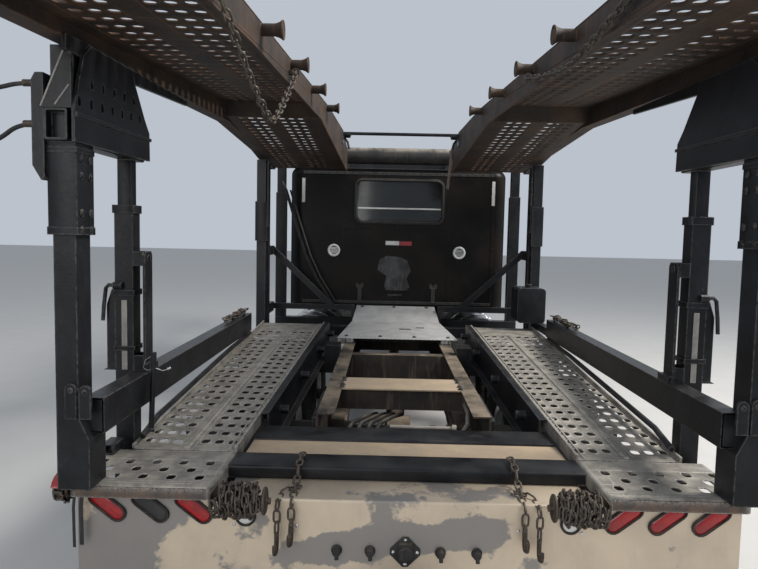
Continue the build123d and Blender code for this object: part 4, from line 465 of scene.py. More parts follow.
    PLASTIC = Finish(
        "plastic_black", (0.018, 0.018, 0.019), (0.03, 0.03, 0.03), roughness=0.55, edge_wear=0.3, patch_wear=0.1,
        top_dust=0.35, streaks=0.1,
    )
    RUBBER = Finish(
        "rubber", (0.013, 0.013, 0.014), (0.024, 0.023, 0.022), wear=(0.06, 0.055, 0.05), roughness=0.6,
        edge_wear=0.2, patch_wear=0.2, top_dust=0.3, streaks=0.1, patch_size=14.0,
    )
    CLOTH = Finish(
        "upholstery", (0.09, 0.09, 0.1), (0.12, 0.12, 0.125), wear=(0.15, 0.15, 0.15), roughness=0.9,
        edge_wear=0.15, patch_wear=0.1, top_dust=0.15, streaks=0.05, bump=0.35, patch_size=20.0,
    )
    CHAIN = Finish(
        "chain_steel", (0.075, 0.055, 0.042), (0.04, 0.034, 0.03), wear=(0.3, 0.27, 0.24), metallic=0.6,
        roughness=0.5, edge_wear=0.5, patch_wear=0.6, top_dust=0.25, patch_size=30.0,
    )


class PaintShop:
    """Builds each finish once and hands it out."""

    def __init__(self) -> None:
        """Starts with no material built."""
        self.built: dict[Paint, bpy.types.Material] = {}

    def material(self, paint: Paint) -> bpy.types.Material:
        """The material of a finish, built at its first use."""
        if paint not in self.built:
            self.built[paint] = paint.value.build(paint.name.lower())
        return self.built[paint]

    def by_slot(self, slot: str) -> bpy.types.Material:
        """The material of a slot of the record."""
        for paint in Paint:
            if paint.value.slot == slot:
                return self.material(paint)
        raise KeyError(f"no finish is made for slot {slot}")


SHOP = PaintShop()


class Sheet:
    """Gathers the faces of one piece, in metres in the truck's frame."""

    def __init__(self) -> None:
        """Starts with no faces."""
        self.faces = bmesh.new()

    def prism(self, outline: Line, axis: Axis, low: float, high: float) -> None:
        """A flat outline pushed along an axis.

        Args:
            outline: points on the two other axes, in the axes' order.
            axis: the axis that the outline is pushed along.
            low: where it starts on that axis.
            high: where it ends.
        """
        self.stack([(low, outline), (high, outline)], axis)

    def stack(self, layers: Sequence[tuple[float, Line]], axis: Axis, ring: bool = False) -> None:
        """Joins flat outlines of as many points, each at its level on an axis.

        Args:
            layers: (level, outline) pairs in order.
            axis: the axis of the levels.
            ring: whether the last outline joins the first, as round an opening.
        """
        self._close([self._loop(outline, axis, level) for level, outline in layers], ring)

    def box(self, x: Flat, y: Flat, z: Flat) -> None:
        """A block between two values on each axis."""
        self.prism([(x[0], y[0]), (x[1], y[0]), (x[1], y[1]), (x[0], y[1])], Axis.Z, z[0], z[1])

    def hollow(
        self, x: Flat, y: Flat, z: Flat, wall: float, axis: Axis = Axis.Z,
        radii: Flat = (0.006, 0.002), arc: int = 2,
    ) -> None:
        """A square tube with open ends.

        Args:
            x: its span across the truck.
            y: its span along the truck.
            z: its span upwards.
            wall: how thick its wall is.
            axis: the axis that it runs along.
            radii: its corners' radii outside and inside.
            arc: how many sides each corner has.
        """
        spans = (x, y, z)
        across, up = (spans[index] for index in axis.others)
        low, high = spans[axis.value]
        outer = rounded(across, up, radii[0], arc)
        inner = rounded(*grown(across, up, -wall), radii[1], arc)
        self.stack([(low, outer), (high, outer), (high, inner), (low, inner)], axis, ring=True)

    def pierced(self, outline: Line, holes: Sequence[Line], axis: Axis, low: float, high: float) -> None:
        """A plate with openings through it.

        Args:
            outline: its edge.
            holes: the openings' edges.
            axis: the axis across its thickness.
            low: its level on one side.
            high: its level on the other.
        """
        loops = [list(outline), *(list(hole) for hole in holes)]
        triangles = tessellate_polygon([[Vector((a, b, 0.0)) for a, b in loop] for loop in loops])
        sides = [[self._loop(loop, axis, level) for loop in loops] for level in (low, high)]
        for side in sides:
            verts = [vert for loop in side for vert in loop]
            for triangle in triangles:
                self.faces.faces.new([verts[index] for index in triangle])
        for near, far in zip(*sides):
            self.wall(near, far)

    def hexahedron(self, lower: Sequence[Point], upper: Sequence[Point]) -> None:
        """A solid between two rings of as many points."""
        self._close([[self.faces.verts.new(p) for p in ring] for ring in (lower, upper)])

    def _close(self, rings: list[list[bmesh.types.BMVert]], ring: bool = False) -> None:
        """Joins rings by walls and closes both ends, or joins the last ring to the first."""
        for lower, upper in zip(rings, rings[1:] + (rings[:1] if ring else [])):
            self.wall(lower, upper)
        if not ring:
            self.faces.faces.new(list(reversed(rings[0])))
            self.faces.faces.new(rings[-1])

    def rod(self, start: Point, end: Point, radius: float, sides: int = 16, tip: float | None = None) -> None:
        """A round rod, or a cone where the tip's radius differs.

        Args:
            start: the middle of one end.
            end: the middle of the other.
            radius: the radius at the start.
            sides: how many sides it has.
            tip: the radius at the end, when it differs.
        """
        first, second = Vector(start), Vector(end)
        turn = (second - first).to_track_quat("Z", "Y")
        rings = []
        for middle, size in ((first, radius), (second, radius if tip is None else tip)):
            ring = [middle + turn @ Vector((*spot, 0.0)) for spot in circle(size, count=sides)]
            rings.append([self.faces.verts.new(spot) for spot in ring])
        self._close(rings)

    def lathe(self, centre: Point, axis: Axis, profile: Line, sides: int = 32) -> None:
        """A turned shape.

        Args:
            centre: the point that the profile's distances start from.
            axis: the axis that it turns about.
            profile: (distance along the axis, radius) points of a closed section.
            sides: how many sides it has.
        """
        first, second = axis.others
        rings = []
        for c, s in circle(1.0, count=sides):
            ring = []
            for along, radius in profile:
                spot = list(centre)
                spot[axis.value] += along
                spot[first] += radius * c
                spot[second] += radius * s
                ring.append(self.faces.verts.new(spot))
            rings.append(ring)
        for here, there in zip(rings, rings[1:] + rings[:1]):
            self.wall(here, there)
        poles = [vert for ring in rings for vert, (_, radius) in zip(ring, profile) if radius == 0.0]
        bmesh.ops.remove_doubles(self.faces, verts=poles, dist=1e-6)

    def path(self, points: Sequence[Point], radius: float, sides: int = 8, closed: bool = False) -> None:
        """A round bar that follows points.

        Args:
            points: the middle line.
            radius: the bar's radius.
            sides: how many sides it has.
            closed: whether the last point joins the first.
        """
        line = [Vector(p) for p in points]
        count = len(line)
        rings = []
        side = None
        for index, spot in enumerate(line):
            before = line[index - 1] if index or closed else spot
            after = line[(index + 1) % count] if index < count - 1 or closed else spot
            run = (after - before).normalized()
            if side is None:
                side = run.orthogonal().normalized()
            side = (side - run * side.dot(run)).normalized()
            other = run.cross(side)
            rings.append([self.faces.verts.new(spot + a * side + b * other) for a, b in circle(radius, count=sides)])
        if not closed:
            self._close(rings)
            return
        for lower, upper in zip(rings, rings[1:]):
            self.wall(lower, upper)
        first, last = rings[0], rings[-1]
        self.wall(last, first, min(range(sides), key=lambda k: (last[0].co - first[k].co).length))

    def take(self, mesh: bpy.types.Mesh) -> None:
        """Adds the faces of a finished mesh."""
        self.faces.from_mesh(mesh)

    def mirrored(self) -> None:
        """Adds a copy of all faces on the truck's other side."""
        both = self.faces.verts[:] + self.faces.edges[:] + self.faces.faces[:]
        copy = bmesh.ops.duplicate(self.faces, geom=both)["geom"]
        verts = [item for item in copy if isinstance(item, bmesh.types.BMVert)]
        faces = [item for item in copy if isinstance(item, bmesh.types.BMFace)]
        for vert in verts:
            vert.co.x = -vert.co.x
        bmesh.ops.reverse_faces(self.faces, faces=faces)

    def mesh(self, name: str, smooth: float = 35.0, outwards: bool = True) -> bpy.types.Mesh:
        """The gathered faces as a mesh.

        Args:
            name: the mesh's name.
            smooth: edges that turn by more than this many degrees stay sharp.
            outwards: whether the faces are turned to point outwards.

        Returns:
            The mesh.
        """
        if outwards:
            bmesh.ops.recalc_face_normals(self.faces, faces=self.faces.faces[:])
        mesh = bpy.data.meshes.new(name)
        self.faces.to_mesh(mesh)
        self.faces.free()
        mesh.shade_smooth()
        mesh.set_sharp_from_angle(angle=math.radians(smooth))
        return mesh

    def _loop(self, outline: Line, axis: Axis, level: float) -> list[bmesh.types.BMVert]:
        """New vertices of a flat outline at its level on an axis."""
        first, second = axis.others
        loop = []
        for a, b in outline:
            spot = [level] * 3
            spot[first], spot[second] = a, b
            loop.append(self.faces.verts.new(spot))
        return loop

    def wall(self, lower: Sequence[bmesh.types.BMVert], upper: Sequence[bmesh.types.BMVert], shift: int = 0) -> None:
        """Joins two rings of as many vertices, the second turned on by a number of steps."""
        count = len(lower)
        for here in range(count):
            after = (here + 1) % count
            self.faces.faces.new(
                (lower[here], lower[after], upper[(after + shift) % count], upper[(here + shift) % count])
            )

    def moved(self, matrix: Matrix) -> None:
        """Moves all faces by a matrix."""
        bmesh.ops.transform(self.faces, matrix=matrix, verts=self.faces.verts[:])

    def piece(
        self, name: str, paint: Paint, body: Body | str = Body.CHASSIS, replaces: Sequence[str] = (),
        smooth: float = 35.0, outwards: bool = True,
    ) -> None:
        """Puts the gathered faces into the scene as one piece; place() and mesh() say what each value is."""
        place(self.mesh(name, smooth, outwards), paint, body, replaces)


def place(mesh: bpy.types.Mesh, paint: Paint, body: Body | str, replaces: Sequence[str] = ()) -> None:
    """Moves a finished mesh from stations to the truck's frame and lets it ride.

    Args:
        mesh: the mesh, whose name the piece takes.
        paint: its finish.
        body: the body that it rides on.
        replaces: the CAD nodes that it stands for.
    """
    mesh.transform(Matrix.Translation((0.0, LIP_Y, 0.0)))
    piece = scene_object(mesh.name.partition(".")[0], mesh)
    mesh.materials.clear()
    mesh.materials.append(SHOP.material(paint))
    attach(piece, body.value if isinstance(body, Body) else body)
    if replaces:
        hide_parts(*replaces)
    log.info("%s: %d faces", piece.name, len(mesh.polygons))


class Repeat:
    """Builds Geometry Nodes trees that set copies of a piece in rows, rings and along lines."""

    def __init__(self, name: str) -> None:
        """Starts an empty tree of that name with a geometry input and output."""
        self.name = name
        self.tree = bpy.data.node_groups.new(name, "GeometryNodeTree")
        self.chain = NodeChain(self.tree)
        for way in ("INPUT", "OUTPUT"):
            self.tree.interface.new_socket("Geometry", in_out=way, socket_type="NodeSocketGeometry")
        self.values: dict[str, object] = {}
        self.carriers: list[bpy.types.Object] = []
        self.entry = self.tree.nodes.new("NodeGroupInput")

    def value(self, name: str, kind: str, value: object) -> bpy.types.NodeSocket:
        """Adds a named input and gives its socket in the tree."""
        socket = self.tree.interface.new_socket(name, in_out="INPUT", socket_type=f"NodeSocket{kind}")
        self.values[socket.identifier] = value
        return self.entry.outputs[name]

    def shape(self, name: str, data: bpy.types.ID) -> bpy.types.NodeSocket:
        """Adds a named input that takes a mesh or curve, and gives the socket of its geometry."""
        self.carriers.append(scene_object(data.name, data))
        info = self.chain.add("GeometryNodeObjectInfo", {"Object": self.value(name, "Object", self.carriers[-1])})
        return info.outputs["Geometry"]

    def turn(self, **angles: bpy.types.NodeSocket) -> bpy.types.NodeSocket:
        """A rotation by angles about named axes."""
        euler = self.chain.add("ShaderNodeCombineXYZ", angles)
        return self.chain.add("FunctionNodeEulerToRotation", {0: euler.outputs[0]}).outputs[0]

    def bake(self, points: bpy.types.NodeSocket, copies: dict, paint: Paint) -> bpy.types.Mesh:
        """Ends the tree, runs it on an empty mesh and gives the result as a plain mesh.

        Args:
            points: the socket with the points that carry the copies.
            copies: the inputs of the node that sets the copies.
            paint: the finish that the tree sets.

        Returns:
            The plain mesh.
        """
        chain = self.chain
        placed = chain.add("GeometryNodeInstanceOnPoints", {"Points": points, **copies})
        real = chain.add("GeometryNodeRealizeInstances", {0: placed.outputs[0]})
        joined = chain.add("GeometryNodeMergeByDistance", {0: real.outputs[0], "Distance": WELD})
        painted = chain.add("GeometryNodeSetMaterial", {0: joined.outputs[0], "Material": SHOP.material(paint)})
        chain.add("NodeGroupOutput", {0: painted.outputs[0]})
        carrier = scene_object(self.name, bpy.data.meshes.new(self.name))
        modifier = carrier.modifiers.new(self.name, "NODES")
        modifier.node_group = self.tree
        for identifier, value in self.values.items():
            modifier[identifier] = value
        bpy.context.view_layer.update()
        solid = carrier.evaluated_get(bpy.context.evaluated_depsgraph_get())
        mesh = bpy.data.meshes.new_from_object(solid)
        for used in (carrier, *self.carriers):
            bpy.data.objects.remove(used)
        mesh.name = self.name
        return mesh


def circle(radius: float, middle: Flat = (0.0, 0.0), count: int = 24) -> list[Flat]:
    """A round outline of short sides."""
    turns = [math.tau * step / count for step in range(count)]
    return [(middle[0] + radius * math.cos(turn), middle[1] + radius * math.sin(turn)) for turn in turns]


def oblong(size: Flat, middle: Flat, tilt: float = 0.0, arc: int = 7) -> list[Flat]:
    """An outline of two straight sides and two half rounds.

    Args:
        size: its whole length and width.
        middle: its middle.
        tilt: its turn in degrees.
        arc: how many sides each half round has.

    Returns:
        The outline's points.
    """
    radius, reach = size[1] / 2, (size[0] - size[1]) / 2
    c, s = math.cos(math.radians(tilt)), math.sin(math.radians(tilt))
    points = []
    for end, start in ((1, -90), (-1, 90)):
        for step in range(arc + 1):
            angle = math.radians(start + 180 * step / arc)
            a, b = end * reach + radius * math.cos(angle), radius * math.sin(angle)
            points.append((middle[0] + a * c - b * s, middle[1] + a * s + b * c))
    return points


def rounded(across: Flat, up: Flat, radius: float, arc: int = 4) -> list[Flat]:
    """An outline of a rectangle with rounded corners.

    Args:
        across: its lowest and highest first value.
        up: its lowest and highest second value.
        radius: the corners' radius.
        arc: how many sides each corner has.

    Returns:
        The outline's points.
    """
    points = []
    corners = ((across[1], up[0], -90), (across[1], up[1], 0), (across[0], up[1], 90), (across[0], up[0], 180))
    for a, b, start in corners:
        inner_a = a - math.copysign(radius, a - sum(across) / 2)
        inner_b = b - math.copysign(radius, b - sum(up) / 2)
        for step in range(arc + 1):
            angle = math.radians(start + 90 * step / arc)
            points.append((inner_a + radius * math.cos(angle), inner_b + radius * math.sin(angle)))
    return points


@dataclass
class Scatter:
    """Sets copies of a small pattern at spots, each turned to its own direction, with Geometry Nodes."""

    name: str
    pattern: Sheet

    def piece(
        self, spots: Sequence[tuple[Point, Point]], paint: Paint, body: Body = Body.CHASSIS
    ) -> None:
        """Puts the copies into the scene as one piece.

        Args:
            spots: each copy's place, and the direction that its own upright takes.
            paint: the copies' finish.
            body: the body that they ride on.
        """
        marks = bpy.data.meshes.new(f"{self.name}_spots")
        marks.from_pydata([spot for spot, _ in spots], [], [])
        aims = marks.attributes.new("aim", "FLOAT_VECTOR", "POINT")
        for item, (_, aim) in zip(aims.data, spots):
            item.vector = aim
        repeat = Repeat(self.name)
        points = repeat.shape("Spots", marks)
        copy = repeat.shape("Pattern", self.pattern.mesh(f"{self.name}_pattern"))
        aim = repeat.chain.add("GeometryNodeInputNamedAttribute", {"Name": "aim"}, data_type="FLOAT_VECTOR")
        turn = repeat.chain.add(
            "FunctionNodeAlignRotationToVector", {"Vector": aim.outputs["Attribute"]}, axis="Z"
        )
        place(repeat.bake(points, {"Instance": copy, "Rotation": turn.outputs[0]}, paint), paint, body)


@dataclass
class Series:
    """Repeats a pattern in a straight row, or round an axis that runs across the truck, with Geometry Nodes."""

    name: str
    pattern: Sheet
    count: int
    start: Point = (0.0, 0.0, 0.0)
    step: Point = (0.0, 0.0, 0.0)
    turn: float = 0.0

    def mesh(self, paint: Paint) -> bpy.types.Mesh:
        """The row or ring as one plain mesh in a finish."""
        repeat = Repeat(self.name)
        copy = repeat.shape("Pattern", self.pattern.mesh(f"{self.name}_pattern"))
        inputs = {
            "Count": repeat.value("Count", "Int", self.count),
            "Start Location": repeat.value("Start", "Vector", self.start),
            "Offset": repeat.value("Step", "Vector", self.step),
        }
        line = repeat.chain.add("GeometryNodeMeshLine", inputs)
        index = repeat.chain.add("GeometryNodeInputIndex").outputs[0]
        turn = repeat.turn(X=repeat.chain.times(index, repeat.value("Turn", "Float", self.turn)))
        return repeat.bake(line.outputs[0], {"Instance": copy, "Rotation": turn}, paint)


@dataclass
class LinkChain:
    """Chain of round welded links, each turned a quarter from the last, set along a path with Geometry Nodes."""

    wire: float = 0.0045
    inside: Flat = (0.04, 0.015)
    pitch: float = 0.041
    jitter: float = 0.25

    def link(self) -> Sheet:
        """One link, with its long way up."""
        sheet = Sheet()
        size = tuple(size + 2 * self.wire for size in self.inside)
        line = oblong(size, (0.0, 0.0), 90.0, arc=5)
        sheet.path([(x, 0.0, z) for x, z in line], self.wire, 6, closed=True)
        return sheet

    def run(self, name: str, route: Sequence[Point], paint: Paint, seed: int) -> bpy.types.Mesh:
        """The links along a route.

        Args:
            name: the mesh's name.
            route: the path's control points.
            paint: the links' finish.
            seed: what the links' slight turns start from.

        Returns:
            The plain mesh.
        """
        repeat = Repeat(name)
        chain = repeat.chain
        line = repeat.shape("Path", nurbs(f"{name}_path", route))
        copy = repeat.shape("Link", self.link().mesh(f"{name}_link", 70.0))
        points = chain.add(
            "GeometryNodeCurveToPoints",
            {"Curve": line, "Length": repeat.value("Pitch", "Float", self.pitch)},
            mode="LENGTH",
        )
        index = chain.add("GeometryNodeInputIndex").outputs[0]
        quarter = chain.times(chain.math("MODULO", index, 2.0), math.pi / 2)
        loose = repeat.value("Jitter", "Float", self.jitter)
        limits = {2: chain.times(loose, -1.0), 3: loose, "Seed": seed}
        shake = chain.add("FunctionNodeRandomValue", limits, data_type="FLOAT")
        turns = {0: points.outputs["Rotation"], 1: repeat.turn(Z=chain.plus(quarter, shake.outputs[1]))}
        rotation = chain.add("FunctionNodeRotateRotation", turns, rotation_space="LOCAL")
        copies = {"Instance": copy, "Rotation": rotation.outputs[0]}
        return repeat.bake(points.outputs["Points"], copies, paint)


def bolt(radius: float = 0.009, height: float = 0.007) -> Sheet:
    """A hexagon head on a washer, which stands up from the origin."""
    sheet = Sheet()
    sheet.stack([(0.0, circle(radius * 1.5, count=12)), (height * 0.3, circle(radius * 1.45, count=12))], Axis.Z)
    head = [(height * 0.3, circle(radius, count=6)), (height * 0.85, circle(radius, count=6))]
    sheet.stack([*head, (height, circle(radius * 0.8, count=6))], Axis.Z)
    return sheet


def rivet(radius: float = 0.006) -> Sheet:
    """A low domed rivet head."""
    sheet = Sheet()
    layers = ((0.0, 1.0), (0.35, 0.85), (0.5, 0.45))
    sheet.stack([(radius * up, circle(radius * wide, count=8)) for up, wide in layers], Axis.Z)
    return sheet


def both_sides(spots: Iterable[tuple[Point, Point]]) -> list[tuple[Point, Point]]:
    """Spots and their mirrored twins on the truck's other side."""
    spots = list(spots)
    return spots + [((-x, y, z), (-a, b, c)) for (x, y, z), (a, b, c) in spots]


BACK: Point = (0.0, -1.0, 0.0)
UP: Point = (0.0, 0.0, 1.0)


@dataclass
class RearLamps:
    """The slanted oblong lamps and the round ones, recessed in rubber bezels on the polished panel."""

    spots: Sequence[float] = (0.815, 0.98, 1.144)
    height: float = 0.799
    tilt: float = 38.0
    size: Flat = (0.152, 0.052)
    lens: Line = ((0.06, 0.0), (0.041, 0.0), (0.0385, 0.003), (0.0365, 0.01), (0.0352, 0.02))
    bezel: Line = (
        (0.0447, 0.008), (0.037, 0.008), (0.0335, 0.006), (0.0327, 0.003),
        (0.034, 0.0005), (0.041, -0.0015), (0.0447, -0.0015),
    )
    round_lamp: Point = (0.616, 0.77, 0.032)
    blank: float = -0.98

    def build(self) -> None:
        """Builds the red lenses, the lens that is missing, the round lenses and all the bezels."""
        red, dark, clear, rims = Sheet(), Sheet(), Sheet(), Sheet()
        for side in SIDES:
            for x in self.spots:
                where = dark if side * x == self.blank else red
                where.stack([(s, self._slot(side, x, -inset)) for s, inset in self.lens], Axis.Y)
                rims.stack([(s, self._slot(side, x, grow)) for s, grow in self.bezel], Axis.Y, ring=True)
            x, z, radius = self.round_lamp
            middle = (side * x, z)
            clear.stack([(s, circle(radius - inset, middle, 32)) for s, inset in self.lens[1:]], Axis.Y)
            rims.stack([(s, circle(radius + grow, middle, 32)) for s, grow in self.bezel], Axis.Y, ring=True)
        red.piece("lamp_lenses", Paint.RED, replaces=["rear_lamps"])
        dark.piece("lamp_blank", Paint.PLASTIC)
        clear.piece("round_lenses", Paint.CLEAR)
        rims.piece("lamp_bezels", Paint.RUBBER, replaces=["rear_connectors"])

    def _slot(self, side: int, x: float, grow: float) -> list[Flat]:
        """One slanted lamp's outline, grown by a margin."""
        size = (self.size[0] + 2 * grow, self.size[1] + 2 * grow)
        return oblong(size, (side * x, self.height), side * self.tilt)


@dataclass
class PlugRow:
    """The row of capped sockets on the panel, with the large one on its diamond plate."""

    small: Sequence[float] = (-0.268, -0.141, 0.127, 0.265)
    large: float = -0.007
    height: float = 0.645
    face: float = 0.045
    small_cap: Line = (
        (0.0, 0.0), (0.0, 0.021), (-0.005, 0.021), (-0.007, 0.017), (-0.026, 0.016), (-0.03, 0.012), (-0.03, 0.0),
    )
    large_cap: Line = (
        (0.0, 0.0), (0.0, 0.034), (-0.01, 0.034), (-0.014, 0.029), (-0.028, 0.029), (-0.032, 0.024), (-0.032, 0.0),
    )
    plate: Line = ((0.0, 0.058), (0.006, 0.058), (0.008, 0.054))

    def build(self) -> None:
        """Builds the sockets and the diamond plate."""
        sheet = Sheet()
        z, face = self.height, self.face
        for x in self.small:
            sheet.lathe((x, face, z), Axis.Y, self.small_cap, 20)
            sheet.rod((x, face - 0.022, z), (x + 0.002, face - 0.028, z - 0.026), 0.008, 10)
        x = self.large
        sheet.lathe((x, face, z), Axis.Y, self.large_cap, 28)
        sheet.stack([(face - depth, self._diamond(size)) for depth, size in self.plate], Axis.Y)
        sheet.box((x - 0.026, x + 0.026), (face - 0.03, face - 0.004), (z + 0.026, z + 0.04))
        sheet.piece("panel_sockets", Paint.RUBBER)
        around = ((0.045, 0.0), (-0.045, 0.0), (0.0, 0.047), (0.0, -0.047))
        spots = [((x + a, face - 0.008, z + b), BACK) for a, b in around]
        spots += [((side * x, face, 0.735), BACK) for side in SIDES for x in (0.66, 0.42)]
        Scatter("panel_screws", bolt(0.005, 0.004)).piece(spots, Paint.CHROME)

    def _diamond(self, size: float) -> list[Flat]:
        """The diamond plate's outline with clipped corners."""
        clip = size * 0.18
        tips = ((size, -clip), (size, clip), (clip, size), (-clip, size))
        around = [*tips, *((-a, -b) for a, b in tips)]
        return [(self.large + a, self.height + b) for a, b in around]


@dataclass
class LipChains:
    """Chains wound on the lip's spools, draped over the rear tube and ending in hooks."""

    spool: Flat = (-0.032, 0.862)
    layers: Sequence[tuple[float, float]] = ((0.552, 0.04), (0.56, 0.0565))
    turns: int = 5
    turn_pitch: float = 0.029
    drape: Line = (
        (0.338, 0.912), (0.228, 0.912), (0.205, 0.88), (0.12, 0.846), (0.021, 0.83), (0.021, 0.78), (0.021, 0.745),
    )
    hook_x: float = 0.44
    hook: Line = (
        (0.021, 0.752), (0.02, 0.715), (0.016, 0.694), (0.0, 0.684), (-0.018, 0.69), (-0.024, 0.708), (-0.02, 0.722),
    )
    eye: Line = ((-0.006, 0.007), (-0.006, 0.017), (0.006, 0.017), (0.006, 0.007))
    apart: float = 0.052

    def build(self) -> None:
        """Builds the wound chains, the draped chains and the hooks."""
        sheet = Sheet()
        wound, loose = LinkChain(pitch=0.036, jitter=0.5), LinkChain()
        for side in SIDES:
            for number, (start, radius) in enumerate(self.layers):
                helix = self._helix(side, start, radius)
                sheet.take(wound.run(f"wound_{number}", helix, Paint.CHAIN, 3 + number + side))
            x = side * self.hook_x
            route = [(x, station, z) for station, z in self.drape]
            sheet.take(loose.run("draped", route, Paint.CHAIN, 11 + side))
            loop = [(x + side * self.apart, y - 0.012, z - 0.004) for y, z in self.drape[3:]]
            sheet.take(loose.run("hanging", [(x, 0.13, 0.85), *loop], Paint.CHAIN, 21 + side))
            points = [(x, y, z) for y, z in self.hook]
            sheet.path(points, 0.01, 10)
            y, z = self.hook[-1]
            sheet.rod((x, y, z), (x, y + 0.004, z + 0.012), 0.01, 10, 0.004)
            sheet.lathe((x, *self.hook[0]), Axis.X, self.eye, 16)
            sheet.path([(x + side * self.apart, y - 0.012, z - 0.03) for y, z in self.hook], 0.009, 10)
        sheet.piece("lip_chain_links", Paint.CHAIN, replaces=["lip_chains"], smooth=50.0, outwards=False)

    def _helix(self, side: int, start: float, radius: float) -> list[Point]:
        """Points of a winding on one side's spool, twelve to a turn."""
        points = []
        for step in range(self.turns * 12 + 1):
            angle = math.tau * step / 12
            x = side * (start + self.turn_pitch * step / 12)
            points.append((x, self.spool[0] - radius * math.cos(angle), self.spool[1] + radius * math.sin(angle)))
        return points


@dataclass
class LipReels:
    """The spool discs at the lip's inner ends and the toothed ratchet reel at its left outer end."""

    disc_x: float = 0.53
    centre: Flat = (-0.032, 0.862)
    disc: Line = (
        (0.0, 0.012), (-0.004, 0.024), (-0.006, 0.046), (-0.003, 0.0505),
        (0.003, 0.0505), (0.006, 0.046), (0.004, 0.024), (0.006, 0.012),
    )
    reel: Point = (-1.277, 0.03, 0.866)
    drum: Line = ((0.0, 0.0), (0.0, 0.03), (-0.05, 0.03), (-0.05, 0.0))
    guard: Flat = (0.06, 0.057)
    pins: Sequence[tuple[float, float, float, float | None]] = (
        (0.004, -0.022, 0.0135, 0.012), (0.17, 0.0, 0.019, None),
    )
    rims: Flat = (-0.012, -0.046)
    flaps: Sequence[Point] = ((-1.262, -1.252, 0.2), (-1.236, -1.222, 0.19))

    def build(self) -> None:
        """Builds the discs, the reel and the straps that hang from the left lip."""
        sheet = Sheet()
        for side in SIDES:
            x = side * self.disc_x
            sheet.lathe((x, *self.centre), Axis.X, self.disc, 32)
            for start, end, radius, tip in self.pins:
                sheet.rod((x + side * start, *self.centre), (x + side * end, *self.centre), radius, 16, tip)
            sheet.box(span(side, 0.722, 0.7297), (-0.062, 0.044), (0.832, 0.892))
        sheet.piece("spool_discs", Paint.CHAIN, replaces=["lip_spools"])
        self._ratchet()
        strap = Sheet()
        for x0, x1, drop in self.flaps:
            line = [
                (0.02, 0.845), (0.01, 0.8), (0.014, 0.845 - drop), (0.01, 0.845 - drop), (0.006, 0.8),
                (0.016, 0.845),
            ]
            strap.prism(line, Axis.X, x0, x1)
        strap.piece("lip_rubber_flaps", Paint.RUBBER)

    def _ratchet(self) -> None:
        """The toothed reel and the guard over it."""
        ratchet, tooth, spoke, guard = Sheet(), Sheet(), Sheet(), Sheet()
        ratchet.lathe(self.reel, Axis.X, self.drum, 20)
        foot, tip = [
            [(-0.012, low, z), (-0.006, low, z), (-0.006, high, z), (-0.012, high, z)]
            for low, high, z in ((-0.01, 0.01, 0.04), (-0.004, 0.006, 0.056))
        ]
        tooth.hexahedron(foot, tip)
        spoke.box((-0.046, -0.006), (-0.005, 0.005), (0.025, 0.047))
        for name, pattern, count in (("reel_teeth", tooth, 12), ("reel_spokes", spoke, 8)):
            ratchet.take(Series(name, pattern, count, self.reel, turn=math.tau / count).mesh(Paint.CHAIN))
        for start in self.rims:
            rim = [(start, 0.036), (start, 0.047), (start + 0.006, 0.047), (start + 0.006, 0.036)]
            ratchet.lathe(self.reel, Axis.X, rim, 24)
        ratchet.piece("lip_ratchet", Paint.CHAIN, outwards=False)
        x, y, z = self.reel
        arc = [math.radians(angle) for angle in range(20, 161, 20)]
        outer, inner = [[(y + r * math.cos(a), z + r * math.sin(a)) for a in arc] for r in self.guard]
        guard.prism(outer + inner[::-1], Axis.X, x - 0.048, x - 0.002)
        guard.piece("ratchet_guard", Paint.RED)


@dataclass
class DeckChains:
    """The slack chains that loop under the upper decks' inner beams."""

    routes: Sequence[Sequence[Point]] = (
        (
            (-0.606, -0.5, 2.57), (-0.58, -0.2, 2.395), (-0.556, 0.13, 2.262),
            (-0.552, 0.3, 2.3), (-0.556, 0.82, 2.604),
        ),
        ((0.606, -0.48, 2.58), (0.59, -0.06, 2.52), (0.574, 0.32, 2.492), (0.554, 0.82, 2.602)),
    )
    eye: Line = ((-0.005, 0.01), (-0.005, 0.021), (0.005, 0.021), (0.005, 0.01))

    def build(self) -> None:
        """Builds both chains with the eyes that they hang from."""
        sheet = Sheet()
        for number, route in enumerate(self.routes):
            sheet.take(LinkChain(jitter=0.35).run(f"slack_{number}", route, Paint.CHAIN, 31 + number))
            for x, y, z in (route[0], route[-1]):
                sheet.lathe((x, y, z + 0.006), Axis.Y, self.eye, 16)
                tab = span(1 if x > 0 else -1, abs(x) + 0.012, abs(x) + 0.034)
                sheet.box(tab, (y - 0.012, y + 0.012), (z - 0.004, z + 0.016))
        sheet.piece("deck_chain_links", Paint.CHAIN, Body.UPPER, ["deck_chains"], 50.0, False)


